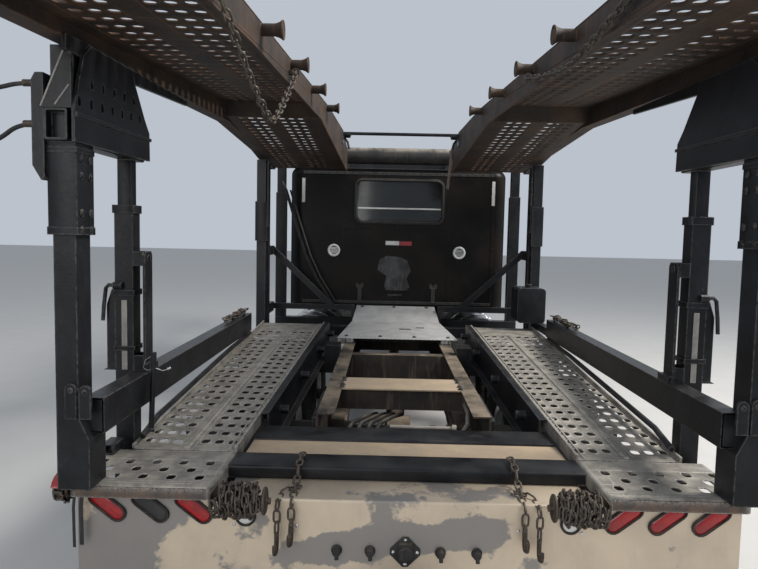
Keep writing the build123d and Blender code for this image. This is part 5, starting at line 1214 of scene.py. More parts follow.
@dataclass
class PressedLane:
    """A lane of pressed oblong holes with raised lips."""

    columns: int
    rows: int
    pitch: Flat
    hole: Flat
    sheet: float = 0.005
    lip: float = 0.004

    def _loop(self, grow: float, height: float, cell: bmesh.types.BMesh) -> list[bmesh.types.BMVert]:
        """A ring of vertices like the hole's outline, grown by a factor."""
        ring = []
        for x, y in self._border():
            angle = math.atan2(y / self.pitch[1], x / self.pitch[0])
            c, s = math.cos(angle), math.sin(angle)
            across = math.copysign(abs(c) ** 0.8, c) * self.hole[0] / 2 * grow
            along = math.copysign(abs(s) ** 0.8, s) * self.hole[1] / 2 * grow
            ring.append(cell.verts.new((across, along, height)))
        return ring

    def _border(self) -> list[Flat]:
        """Points around one cell's edge, which its neighbours share."""
        half_x, half_y = self.pitch[0] / 2, self.pitch[1] / 2
        third_x, third_y = half_x / 3, half_y / 3
        return [
            (-half_x, -half_y), (-third_x, -half_y), (third_x, -half_y), (half_x, -half_y),
            (half_x, -third_y), (half_x, third_y), (half_x, half_y), (third_x, half_y),
            (-third_x, half_y), (-half_x, half_y), (-half_x, third_y), (-half_x, -third_y),
        ]

    def cell(self) -> bpy.types.Mesh:
        """One hole in its piece of sheet."""
        cell = Sheet()
        rings = [[cell.faces.verts.new((x, y, 0.0)) for x, y in self._border()]]
        for grow, height in (
            (1.4, 0.0), (1.1, self.lip), (1.0, self.lip * 0.8), (1.0, self.lip - self.sheet), (1.35, -self.sheet),
        ):
            rings.append(self._loop(grow, height, cell.faces))
        rings.append([cell.faces.verts.new((x, y, -self.sheet)) for x, y in self._border()])
        for outer, inner in zip(rings, rings[1:]):
            cell.wall(outer, inner)
        mesh = bpy.data.meshes.new("hole_cell")
        cell.faces.to_mesh(mesh)
        cell.faces.free()
        return mesh

    def mesh(self, name: str, middle: Flat, turn: float, paint: Paint) -> bpy.types.Mesh:
        """The lane's mesh, level, about the origin's plane.

        Args:
            name: the mesh's name.
            middle: where the lane's middle lies, across and along.
            turn: its turn about the upright, in radians.
            paint: its finish.

        Returns:
            The lane's mesh.
        """
        repeat = Repeat(name)
        chain = repeat.chain
        cell = repeat.shape("Cell", self.cell())
        columns = repeat.value("Columns", "Int", self.columns)
        rows = repeat.value("Rows", "Int", self.rows)
        across = repeat.value("Pitch across", "Float", self.pitch[0])
        along = repeat.value("Pitch along", "Float", self.pitch[1])
        size = {
            "Size X": chain.times(chain.minus(columns, 1.0), across), "Vertices X": columns,
            "Size Y": chain.times(chain.minus(rows, 1.0), along), "Vertices Y": rows,
        }
        grid = chain.add("GeometryNodeMeshGrid", size)
        mesh = repeat.bake(grid.outputs["Mesh"], {"Instance": cell}, paint)
        mesh.transform(Matrix.Translation((*middle, 0.0)) @ Matrix.Rotation(turn, 4, "Z"))
        return mesh


@dataclass
class LowerTracks:
    """The two sloping tracks over the drive axles, with their pressed lanes, ribs and flanges."""

    near: Flat = (0.39, 0.9)
    far: Flat = (2.95, 1.1)
    inner: Flat = (0.73, 0.6)
    outer: Flat = (1.185, 1.11)
    flange: float = 0.01
    flange_up: float = 0.02
    flange_down: float = 0.04
    plate: float = 0.005
    pitch: Flat = (0.0615, 0.098)
    rows: int = 23
    first_row: float = 0.09
    lane_offset: float = 0.124

    @property
    def length(self) -> float:
        """The track's own length."""
        return math.hypot(self.far[0] - self.near[0], self.far[1] - self.near[1])

    def build(self) -> None:
        """Builds both tracks as one piece."""
        sheet = Sheet()
        inner, outer, length = self.inner, self.outer, self.length
        middle = ((inner[0] + outer[0]) / 2, (inner[1] + outer[1]) / 2)
        start = self.first_row - self.pitch[1] / 2
        end = start + self.rows * self.pitch[1]
        centre = (start + end) / 2
        lane = PressedLane(3, self.rows, self.pitch, (0.04, 0.05))
        half = 1.5 * self.pitch[0]
        edges = [inner]
        for number, offset in enumerate((-self.lane_offset, self.lane_offset)):
            spot = (self._read(middle, centre) + offset, centre)
            turn = math.atan2(middle[0] - middle[1], length)
            sheet.take(lane.mesh(f"lower_lane_{number}", spot, turn, Paint.DECK))
            edges += [self._moved(middle, offset - half), self._moved(middle, offset + half)]
        edges.append(outer)
        for low, high in zip(edges[::2], edges[1::2]):
            self._strip(sheet, low, high, (start - 0.01, end + 0.01))
        for reach in ((0.0, start + 0.004), (end - 0.004, length)):
            self._strip(sheet, inner, outer, reach)
        self._strip(sheet, self._moved(middle, -0.009), self._moved(middle, 0.009), (0.02, end), up=0.007)
        for edge, inward in ((inner, self.flange), (outer, -self.flange)):
            self._strip(sheet, edge, self._moved(edge, inward), (0.0, length), self.flange_down, self.flange_up)
        self._strip(sheet, self._moved(inner, 0.035), self._moved(inner, 0.041), (0.0, length), up=0.006)
        slope = math.atan2(self.far[1] - self.near[1], self.far[0] - self.near[0])
        sheet.moved(Matrix.Translation((0.0, *self.near)) @ Matrix.Rotation(slope, 4, "X"))
        sheet.mirrored()
        sheet.piece("lower_track_treads", Paint.DECK, replaces=["lower_tracks"], smooth=30.0, outwards=False)

    def _read(self, edge: Flat, along: float) -> float:
        """An edge's X at a distance along the track."""
        return edge[0] + (edge[1] - edge[0]) * along / self.length

    def _moved(self, edge: Flat, offset: float) -> Flat:
        """An edge moved outwards."""
        return (edge[0] + offset, edge[1] + offset)

    def _strip(
        self, sheet: Sheet, low: Flat, high: Flat, reach: Flat, down: float | None = None, up: float = 0.0
    ) -> None:
        """A flat bar between two edges, from one distance along to another.

        Args:
            sheet: what it is added to.
            low: one edge's X at the track's two ends.
            high: the other edge's.
            reach: the distances along where it starts and ends.
            down: how far it goes below the track's top, when not as far as the plate.
            up: how far it stands above.
        """
        floor = -(self.plate if down is None else down)
        start, end = reach
        corners = ((low, start), (high, start), (high, end), (low, end))
        base = [(self._read(edge, along), along, floor) for edge, along in corners]
        sheet.hexahedron(base, [(x, y, up) for x, y, _ in base])


@dataclass
class RearTubes:
    """The two cross tubes and the polished panel, whose flange runs forward under them."""

    tubes: Sequence[tuple[Flat, float]] = (((0.238, 0.405), 0.7295), ((0.605, 0.8), 0.6998))
    height: Flat = (0.84, 0.894)
    face: Flat = (0.045, 0.049)
    low: float = 0.44
    middle: Flat = (0.729, 0.832)
    ends: Flat = (1.258, 0.843)
    bend: Line = (
        (0.045, 0.832), (0.045, 0.836), (0.049, 0.84), (0.6, 0.84), (0.6, 0.836), (0.051, 0.836), (0.049, 0.832),
    )

    def build(self) -> None:
        """Builds the tubes, and the panel with its folded edges."""
        tubes, panel = Sheet(), Sheet()
        for along, reach in self.tubes:
            tubes.prism(rounded(along, self.height, 0.01, 3), Axis.X, -reach, reach)
        tubes.piece("rear_tubes", Paint.STRUCTURE, replaces=["cross_tubes"])
        half, top = self.middle
        for side in SIDES:
            panel.box(span(side, half, self.ends[0]), self.face, (self.low, self.ends[1]))
        panel.box((-half, half), self.face, (self.low, top))
        panel.prism(self.bend, Axis.X, -0.7, 0.7)
        hem = rounded((self.face[0] - 0.003, self.face[1]), (self.low, self.low + 0.012), 0.002, 2)
        panel.prism(hem, Axis.X, -self.ends[0], self.ends[0])
        panel.piece("polished_panel", Paint.STAINLESS, replaces=["rear_panel"], smooth=25.0)


@dataclass
class CornerPlatforms:
    """The corner plates at the rear lip, with staggered pressed holes and a rolled edge."""

    x: Flat = (0.73, 1.275)
    seam: float = 0.39
    top: float = 0.9
    sheet_t: float = 0.005
    pitch: Flat = (0.109, 0.078)
    hole: Flat = (0.036, 0.052)
    rows: Sequence[tuple[float, float, int]] = ((0.075, 0.802, 5), (0.153, 0.8565, 4), (0.231, 0.802, 5))
    roll: Sequence[Flat] = (
        (0.018, 0.0), (0.01, -0.0015), (0.004, -0.0055), (0.0008, -0.0115), (0.0, -0.018), (0.0, -0.056),
        (0.006, -0.056), (0.006, -0.018), (0.018, -0.008),
    )
    corner: float = 0.026

    def build(self) -> None:
        """Builds both platforms as one piece."""
        sheet = Sheet()
        half, edge = self.pitch[1] / 2, self.roll[0][0]
        inner = (self.x[0] + edge, self.x[1] - edge)
        depth = (-self.sheet_t, 0.0)
        for number, (station, first, count) in enumerate(self.rows):
            lane = PressedLane(count, 1, self.pitch, self.hole, sheet=self.sheet_t, lip=0.003)
            middle = (first + (count - 1) * self.pitch[0] / 2, station)
            sheet.take(lane.mesh(f"platform_row_{number}", middle, 0.0, Paint.DECK))
            left = first - self.pitch[0] / 2
            right = left + count * self.pitch[0]
            for across in ((inner[0], left), (right, inner[1])):
                if across[0] < across[1]:
                    sheet.box(across, (station - half, station + half), depth)
        sheet.box(inner, (edge, self.rows[0][0] - half), depth)
        sheet.box(inner, (self.rows[-1][0] + half, self.seam - edge), depth)
        for vert in sheet.faces.verts:
            vert.co.x = min(max(vert.co.x, inner[0]), inner[1])
        sheet.stack([(z, self._plan(inset)) for inset, z in self.roll], Axis.Z, ring=True)
        sheet.moved(Matrix.Translation((0.0, 0.0, self.top)))
        sheet.mirrored()
        sheet.piece("corner_treads", Paint.DECK, replaces=["deck_corners"], smooth=30.0, outwards=False)

    def _plan(self, inset: float) -> list[Flat]:
        """The platform's outline from above, moved in, with its two rear corners rounded."""
        radius = max(self.corner - inset, 0.002)
        x0, x1 = self.x[0] + inset, self.x[1] - inset
        points = []
        for x, start in ((x0 + radius, 180), (x1 - radius, 270)):
            for step in range(6):
                angle = math.radians(start + 90 * step / 5)
                points.append((x + radius * math.cos(angle), inset + radius + radius * math.sin(angle)))
        return points + [(x1, self.seam - inset), (x0, self.seam - inset)]


@dataclass
class LipEdges:
    """The dark rusty strip along each platform's rolled rear edge."""

    x: Flat = (0.757, 1.248)
    profile: Line = ((-0.0012, 0.846), (-0.0012, 0.882), (0.0004, 0.888), (0.0004, 0.846))

    def build(self) -> None:
        """Builds the strips."""
        sheet = Sheet()
        sheet.prism(self.profile, Axis.X, *self.x)
        sheet.mirrored()
        sheet.piece("lip_strips", Paint.RUST)


@dataclass
class PostFittings:
    """What is bolted and welded to the lift posts, the rear posts and the side tubes."""

    latch: Line = ((0.436, 1.232), (0.524, 1.232), (0.524, 1.735), (0.512, 1.752), (0.448, 1.752), (0.436, 1.735))
    foot: Line = ((1.275, 1.232), (1.33, 1.232), (1.275, 1.262))
    fin: Line = ((1.275, 1.24), (1.312, 1.24), (1.312, 1.52), (1.29, 1.585), (1.275, 1.6))
    lever: Sequence[Point] = (
        (1.272, 0.43, 1.604), (1.296, 0.428, 1.606), (1.308, 0.426, 1.592), (1.316, 0.424, 1.52),
        (1.321, 0.424, 1.452),
    )
    ears: Line = ((1.217, 1.294), (1.166, 1.288))
    side_rod: Sequence[Point] = ((1.152, 0.42, 0.945), (1.15, 0.6, 0.985), (1.118, 1.9, 1.078), (1.116, 2.46, 1.092))
    tube_rod: Sequence[Point] = ((1.158, 2.1, 1.243), (1.15, 2.3, 1.262), (1.166, 2.5, 1.246))
    wire: Sequence[Point] = (
        (-1.112, 0.424, 1.3), (-1.14, 0.43, 1.282), (-1.15, 0.432, 1.246), (-1.128, 0.428, 1.236),
        (-1.096, 0.418, 1.25),
    )
    pile_links: int = 34
    pile_at: Point = (1.1575, 1.9, 1.252)
    pile_length: float = 0.55
    tab_spans: Line = ((0.436, 0.446), (0.514, 0.524))
    tab_heights: Line = ((1.232, 1.3), (1.69, 1.752))
    wear_strip: tuple[Flat, Flat, Flat] = ((1.222, 1.246), (0.437, 0.4398), (1.235, 1.54))
    ear: Flat = (0.021, 0.022)
    ear_turns: Sequence[float] = (0.5, 1.05, 1.57, 2.09, 2.64)
    sleeve_collars: Line = ((1.822, 1.85), (2.108, 2.128))
    post_collars: Line = ((1.915, 1.95), (1.56, 1.585), (1.32, 1.34))

    def build(self) -> None:
        """Builds the housings, ears, levers, tube piles and bolts."""
        self._housings()
        self._ears()
        self._loose()
        self._piles()
        self._collars()

    def _housings(self) -> None:
        """The latch plates, levers and feet beside the lift posts."""
        sheet, strip = Sheet(), Sheet()
        sheet.prism(self.latch, Axis.X, 1.142, 1.152)
        for height in self.tab_heights:
            for along in self.tab_spans:
                sheet.box((1.152, 1.195), along, height)
        sheet.box((1.12, 1.142), (0.43, 0.53), (1.232, 1.262))
        sheet.prism(self.foot, Axis.Y, 0.444, 0.456)
        sheet.prism(self.fin, Axis.Y, 0.442, 0.452)
        sheet.rod((1.131, 0.48, 1.722), (1.197, 0.48, 1.722), 0.014, 14)
        sheet.path(self.lever, 0.0085, 10)
        sheet.rod((1.24, 0.43, 1.604), (1.276, 0.43, 1.604), 0.016, 14)
        sheet.mirrored()
        sheet.piece("post_housings", Paint.STRUCTURE)
        strip.box(*self.wear_strip)
        strip.mirrored()
        strip.piece("post_wear_strips", Paint.WORN)

    def _ears(self) -> None:
        """The clevis ears with their pins above the rear posts' bases, and the tube's end cap."""
        sheet = Sheet()
        half, rise = self.ear
        for x, top in self.ears:
            crown = [(x + half * math.cos(a), top - rise + rise * math.sin(a)) for a in self.ear_turns]
            sides = [(x - half, 1.165), (x + half, 1.165), (x + half, top - rise)]
            sheet.prism([*sides, *crown, (x - half, top - rise)], Axis.Y, -0.083, -0.0705)
            sheet.rod((x, -0.09, top - 0.024), (x, -0.07, top - 0.024), 0.008, 12)
        sheet.prism(rounded((1.122, 1.193), (1.102, 1.23), 0.008, 3), Axis.Y, -0.03, -0.02)
        sheet.mirrored()
        sheet.piece("post_ears", Paint.STRUCTURE)

    def _loose(self) -> None:
        """The leaning rod with its wire, the open square tube and the rods along the tracks and tubes."""
        sheet, wire = Sheet(), Sheet()
        sheet.rod((-1.1, 0.383, 0.985), (-1.1, 0.422, 1.319), 0.0115, 14)
        sheet.rod((-1.1, 0.381, 0.978), (-1.1, 0.384, 0.99), 0.015, 12)
        sheet.hollow((-1.285, -1.225), (0.3, 0.4), (0.902, 0.946), 0.006, Axis.Y, (0.006, 0.003))
        for side in SIDES:
            sheet.path(on(side, self.side_rod), 0.014, 10)
            sheet.path(on(side, self.tube_rod), 0.012, 8)
        sheet.piece("loose_bars", Paint.STRUCTURE)
        wire.path(self.wire, 0.0022, 6)
        wire.path([self.wire[-1], (-1.066, 0.43, 1.236), (-1.046, 0.445, 1.24)], 0.0022, 6)
        wire.rod((-1.05, 0.444, 1.24), (-1.036, 0.45, 1.246), 0.006, 8)
        wire.piece("rod_wire", Paint.ALUMINIUM)

    def _piles(self) -> None:
        """The chains heaped on the side tubes' front ends."""
        pile = Sheet()
        out, start, height = self.pile_at
        for side in SIDES:
            route = []
            for step in range(self.pile_links):
                angle = step * 1.25
                x = side * (out + 0.022 * math.sin(angle * 1.7))
                y = start + self.pile_length * step / (self.pile_links - 1) + 0.05 * math.sin(angle)
                route.append((x, y, height + 0.018 * abs(math.sin(angle * 2.3))))
            pile.take(LinkChain(jitter=0.6).run("tube_pile", route, Paint.CHAIN, 41 + side))
        pile.piece("tube_chain_piles", Paint.CHAIN, smooth=50.0, outwards=False)

    def _collars(self) -> None:
        """Collars at the tops and feet of the sleeves, which slide with the upper deck."""
        sheet, fixed = Sheet(), Sheet()
        for height in self.sleeve_collars:
            sheet.hollow((1.18, 1.29), (-0.085, 0.055), height, 0.0035, radii=(0.004, 0.002))
        for height in self.post_collars:
            fixed.hollow((1.187, 1.283), (0.432, 0.528), height, 0.0075)
        for collars, name, body in ((sheet, "sleeve_collars", Body.UPPER), (fixed, "post_collars", Body.CHASSIS)):
            collars.mirrored()
            collars.piece(name, Paint.STRUCTURE, body)
        places = [(1.182, y, z) for z in (1.84, 1.9, 2.03, 2.09, 2.26) for y in (-0.05, 0.02)]
        places += [(1.177, y, 2.205) for y in (-0.06, 0.08, 0.25, 0.42)]
        spots = both_sides((spot, (-1.0, 0.0, 0.0)) for spot in places)
        Scatter("sleeve_bolts", bolt(0.01, 0.008)).piece(spots, Paint.STRUCTURE, Body.UPPER)


@dataclass
class LiftBrackets:
    """What carries the upper deck: sleeves on the posts, box tubes with sloped gussets, and the lift tubes."""

    sleeves: Sequence[tuple[Flat, Flat, Flat]] = (
        ((1.1825, 1.2875), (-0.0825, 0.0525), (1.83, 2.3)),
        ((1.1775, 1.2825), (3.4375, 3.5425), (1.77, 2.12)),
    )
    box_tube: tuple[Flat, Flat, Flat] = ((1.195, 1.275), (-0.12, 0.58), (2.145, 2.252))
    block: Line = ((1.2875, 2.02), (1.3, 2.01), (1.33, 2.06), (1.33, 2.35), (1.316, 2.375), (1.2875, 2.375))
    cheek: Line = ((1.284, 2.253), (1.179, 2.253), (1.179, 2.462), (1.196, 2.462))
    doubler: Line = ((-0.15, 2.436), (0.45, 2.456), (1.15, 2.506), (1.15, 2.53), (0.0, 2.5), (-0.15, 2.49))
    gusset: Line = (
        (-0.12, 2.14), (0.574, 2.15), (0.57, 2.27), (0.52, 2.318), (0.4, 2.462), (0.4, 2.5),
        (0.01, 2.492), (-0.047, 2.447), (-0.12, 2.256),
    )
    rib: Line = ((-0.12, 2.225), (0.572, 2.235), (0.572, 2.248), (-0.12, 2.24))
    liner: Line = ((-0.115, 2.262), (0.54, 2.272), (0.42, 2.415), (-0.04, 2.4))
    slots: Sequence[tuple[Point, int]] = (((-0.085, 2.281, 0.0904), 7), ((0.012, 2.357, 0.0955), 5))
    slot: Flat = (0.036, 0.024)
    slot_rise: float = 0.0055
    lift_tube: tuple[Flat, Flat, Flat] = ((1.2045, 1.2655), (0.4495, 0.5105), (1.15, 2.153))
    front_plate: tuple[Flat, Flat, Flat] = ((1.1655, 1.1775), (3.45, 3.53), (1.89, 2.47))
    folds: Sequence[tuple[Point, Point, float]] = (
        ((1.284, -0.1205, 2.256), (1.198, -0.1205, 2.456), 0.0035),
        ((1.236, -0.1205, 2.262), (1.186, -0.1205, 2.33), 0.003),
    )

    def build(self) -> None:
        """Builds both sides, which differ in their slots."""
        sheet, fold = Sheet(), Sheet()
        for sleeve in self.sleeves:
            sheet.hollow(*sleeve, 0.0115)
        sheet.hollow(*self.box_tube, 0.008, Axis.Y, (0.008, 0.004), 3)
        across, along, reach = self.lift_tube
        sheet.prism(rounded(across, along, 0.006, 3), Axis.Z, *reach)
        sheet.box(*self.front_plate)
        sheet.prism(self.block, Axis.Y, -0.095, -0.005)
        sheet.prism(self.cheek, Axis.Y, -0.12, -0.11)
        sheet.prism(self.doubler, Axis.X, 1.18, 1.194)
        sheet.mirrored()
        for side in SIDES:
            holes = self._slots() if side < 0 else []
            sheet.pierced(self.gusset, holes, Axis.X, *span(side, 1.168, 1.1795))
            sheet.prism(self.rib, Axis.X, *span(side, 1.1595, 1.169))
            for start, end, radius in self.folds:
                fold.rod(*on(side, (start, end)), radius, 6)
        sheet.piece("lift_arms", Paint.STRUCTURE, Body.UPPER, ["lift_brackets"])
        fold.prism(self.liner, Axis.X, -1.1812, -1.1802)
        fold.piece("bracket_edges", Paint.WORN, Body.UPPER)

    def _slots(self) -> list[list[Flat]]:
        """The outlines of the left gusset's slots."""
        holes = []
        for (first, height, pitch), count in self.slots:
            for number in range(count):
                middle = (first + number * pitch, height + number * self.slot_rise)
                holes.append(oblong(self.slot, middle, 90.0))
        return holes


@dataclass
class Wheels:
    """Tyres with their tread blocks, and rims with hand holes, hubs and nuts."""

    height: float = 0.465
    half: Line = (
        (0.0975, 0.286), (0.108, 0.3), (0.1195, 0.331), (0.1262, 0.352), (0.1248, 0.356), (0.1275, 0.386),
        (0.1262, 0.408), (0.1275, 0.412), (0.121, 0.43), (0.1155, 0.443), (0.108, 0.451), (0.097, 0.4575),
        (0.072, 0.4575), (0.07, 0.447), (0.058, 0.447), (0.056, 0.4575), (0.03, 0.4575), (0.028, 0.447),
        (0.016, 0.447), (0.014, 0.4575),
    )
    blocks: Sequence[Line] = (
        ((0.0735, 0.45), (0.0735, 0.4642), (0.0965, 0.4642), (0.1135, 0.446), (0.106, 0.43)),
        ((0.0315, 0.45), (0.0315, 0.4642), (0.0545, 0.4642), (0.0545, 0.45)),
        ((-0.0125, 0.45), (-0.0125, 0.4642), (0.0125, 0.4642), (0.0125, 0.45)),
    )
    lugs: int = 54
    lug_half: float = 0.0205
    rim: Line = (
        (0.0975, 0.286), (0.0975, 0.276), (0.088, 0.268), (0.06, 0.262),
        (-0.06, 0.262), (-0.088, 0.268), (-0.0975, 0.276), (-0.0975, 0.286),
    )
    drive_hub: Line = (
        (0.014, 0.0), (0.014, 0.166), (0.026, 0.166), (0.026, 0.134), (0.104, 0.12),
        (0.112, 0.112), (0.118, 0.098), (0.172, 0.095), (0.18, 0.086), (0.18, 0.0),
    )
    steer_hub: Line = (
        (0.052, 0.0), (0.052, 0.166), (0.062, 0.166), (0.062, 0.12), (0.092, 0.114), (0.1, 0.102), (0.1, 0.0),
    )
    hand_holes: int = 10
    nuts: int = 10
    nut_circle: float = 0.149
    hole: Point = (0.44, 0.08, 0.5)
    disc_t: float = 0.01
    drive_x: float = 0.93
    axles: Sequence[tuple[str, float]] = (("rear", 1.85), ("front", 3.15))
    steer_at: Flat = (0.985, 7.05)
    twins: Flat = (-0.16, 0.16)
    drive_cone: Line = ((0.104, 0.263), (0.02, 0.164))
    steer_cone: Line = ((0.074, 0.263), (0.056, 0.164))

    def build(self) -> None:
        """Builds the six wheel groups."""
        drive = (self.twins, self.drive_cone, self.drive_hub)
        steer = ((0.0,), self.steer_cone, self.steer_hub)
        for side, word in zip(SIDES, ("left", "right")):
            for end, station in self.axles:
                where = f"{end}_{word}"
                nodes = (f"drive_tyres_{where}", f"drive_rims_{where}")
                self._group("drive", where, (side * self.drive_x, station, self.height), side, nodes, *drive)
            nodes = (f"steer_tyre_{word}", f"steer_rim_{word}")
            x, station = self.steer_at
            self._group("steer", word, (side * x, station, self.height), side, nodes, *steer)

    def _group(
        self, kind: str, where: str, centre: Point, side: int, nodes: tuple[str, str],
        offsets: Sequence[float], cone: Sequence[Flat], hub: Line,
    ) -> None:
        """The tyres and the rims of one wheel group.

        Args:
            kind: drive or steer.
            where: the rest of the body's name.
            centre: the middle of the group.
            side: -1 on the left, 1 on the right.
            nodes: the CAD nodes of the tyres and of the rims.
            offsets: each tyre's distance from that middle.
            cone: the disc's outer and inner (distance outwards, radius).
            hub: the hub's section.
        """
        tyres, rims = Sheet(), Sheet()
        profile = [*self.half, *self._turned(self.half[::-1])]
        spots = [(centre[0] + offset, *centre[1:]) for offset in offsets]
        for number, spot in enumerate(spots):
            name = f"{kind}_tread_{where}_{number}"
            tyres.lathe(spot, Axis.X, profile, 72)
            lugs = Series(name, self._slice(), self.lugs, spot, turn=math.tau / self.lugs)
            tyres.take(lugs.mesh(Paint.TYRE))
            rims.lathe(spot, Axis.X, self.rim, 64)
        rims.lathe(centre, Axis.X, [(side * along, radius) for along, radius in hub], 40)
        seat = hub[1][0] + 0.012
        for y, z in circle(self.nut_circle, centre[1:], self.nuts):
            for start, end, radius, sides in ((-0.002, 0.018, 0.0155, 6), (0.016, 0.032, 0.0085, 10)):
                ends = [(centre[0] + side * (seat + along), y, z) for along in (start, end)]
                rims.rod(*ends, radius, sides)
        self._disc(rims, centre, side, cone)
        body = f"{kind}_wheel_{where}"
        tyres.piece(f"{kind}_tread_{where}", Paint.TYRE, body, nodes[:1], 40.0)
        rims.piece(f"{kind}_disc_{where}", Paint.ALUMINIUM, body, nodes[1:], 30.0)

    def _turned(self, outline: Line) -> list[Flat]:
        """An outline's points on the tyre's other side."""
        return [(-across, radius) for across, radius in outline]

    def _slice(self) -> Sheet:
        """One row of tread blocks across the tyre."""
        sheet = Sheet()
        for block in (*self.blocks, *(self._turned(block) for block in self.blocks[:2])):
            sheet.prism(block, Axis.Y, -self.lug_half, self.lug_half)
        return sheet

    def _disc(self, sheet: Sheet, centre: Point, side: int, cone: Sequence[Flat]) -> None:
        """The conical disc, cell by cell, each with a rounded hand hole."""
        steps = (-1.0, -0.5, 0.0, 0.5)
        border = [(t, -1.0) for t in steps] + [(1.0, t) for t in steps]
        border += [(-u, -v) for u, v in border]
        (a0, r0), (a1, r1) = cone
        wide, shift, tall = self.hole
        made = []
        for cell in range(self.hand_holes):
            rings = []
            for depth, hole in ((0.0, False), (0.0, True), (-self.disc_t, True), (-self.disc_t, False)):
                ring = []
                for u, v in border:
                    if hole:
                        length = math.hypot(u, v)
                        u, v = wide * u / length, shift + tall * v / length
                    share = (1.0 - v) / 2
                    radius = r0 + (r1 - r0) * share
                    angle = math.tau * (cell + u / 2) / self.hand_holes
                    x = centre[0] + side * (a0 + (a1 - a0) * share + depth)
                    y, z = centre[1] + radius * math.cos(angle), centre[2] + radius * math.sin(angle)
                    ring.append(sheet.faces.verts.new((x, y, z)))
                rings.append(ring)
                made += ring
            for inner, outer in zip(rings, rings[1:]):
                sheet.wall(inner, outer)
            front, back = rings[0], rings[-1]
            for k in (*range(4), *range(8, 12)):
                sheet.faces.faces.new((front[k], back[k], back[k + 1], front[k + 1]))
        bmesh.ops.remove_doubles(sheet.faces, verts=made, dist=1e-6)


@dataclass
class FrontEnd:
    """The hood's headlamps, and the straps and caps of the fuel tanks."""

    lamp: Flat = (0.8, 0.94)
    lamp_half: Flat = (0.15, 0.075)
    lens: Line = ((8.028, 0.01), (8.038, 0.01), (8.043, 0.016), (8.0465, 0.034), (8.0478, 0.06))
    bezel: Line = ((8.028, 0.0), (8.042, -0.001), (8.044, -0.005), (8.042, -0.01), (8.028, -0.0105))
    straps: Sequence[float] = (4.72, 5.16, 5.62)
    strap: Line = ((0.0, 0.2995), (0.0, 0.304), (0.052, 0.304), (0.052, 0.2995))
    cap: Line = ((0.0, 0.0), (0.0, 0.052), (0.022, 0.052), (0.028, 0.046), (0.028, 0.0))
    tank: Flat = (0.9, 0.69)
    cap_at: Point = (0.98, 4.98, 0.965)

    def build(self) -> None:
        """Builds the lamps on the hood and the fittings along the sides."""
        lens, bezel, bands = Sheet(), Sheet(), Sheet()
        up = (self.lamp[1] - self.lamp_half[1], self.lamp[1] + self.lamp_half[1])
        for side in SIDES:
            x = side * self.lamp[0]
            across = (x - self.lamp_half[0], x + self.lamp_half[0])
            layers = []
            for station, inset in self.lens:
                corner = max(0.04 - inset / 2, 0.012)
                layers.append((station, rounded(*grown(across, up, -inset), corner, 6)))
            lens.stack(layers, Axis.Y)
            rim = [(station, rounded(*grown(across, up, grow), 0.04 + grow, 6)) for station, grow in self.bezel]
            bezel.stack(rim, Axis.Y, ring=True)
            for station in self.straps:
                bands.lathe((side * self.tank[0], station, self.tank[1]), Axis.Y, self.strap, 48)
            bands.lathe(*on(side, [self.cap_at]), Axis.Z, self.cap, 24)
        lens.piece("headlamp_lenses", Paint.CLEAR, Body.HOOD, ["headlamps"])
        bezel.piece("headlamp_bezels", Paint.CHROME, Body.HOOD)
        bands.piece("tank_straps", Paint.CHROME)


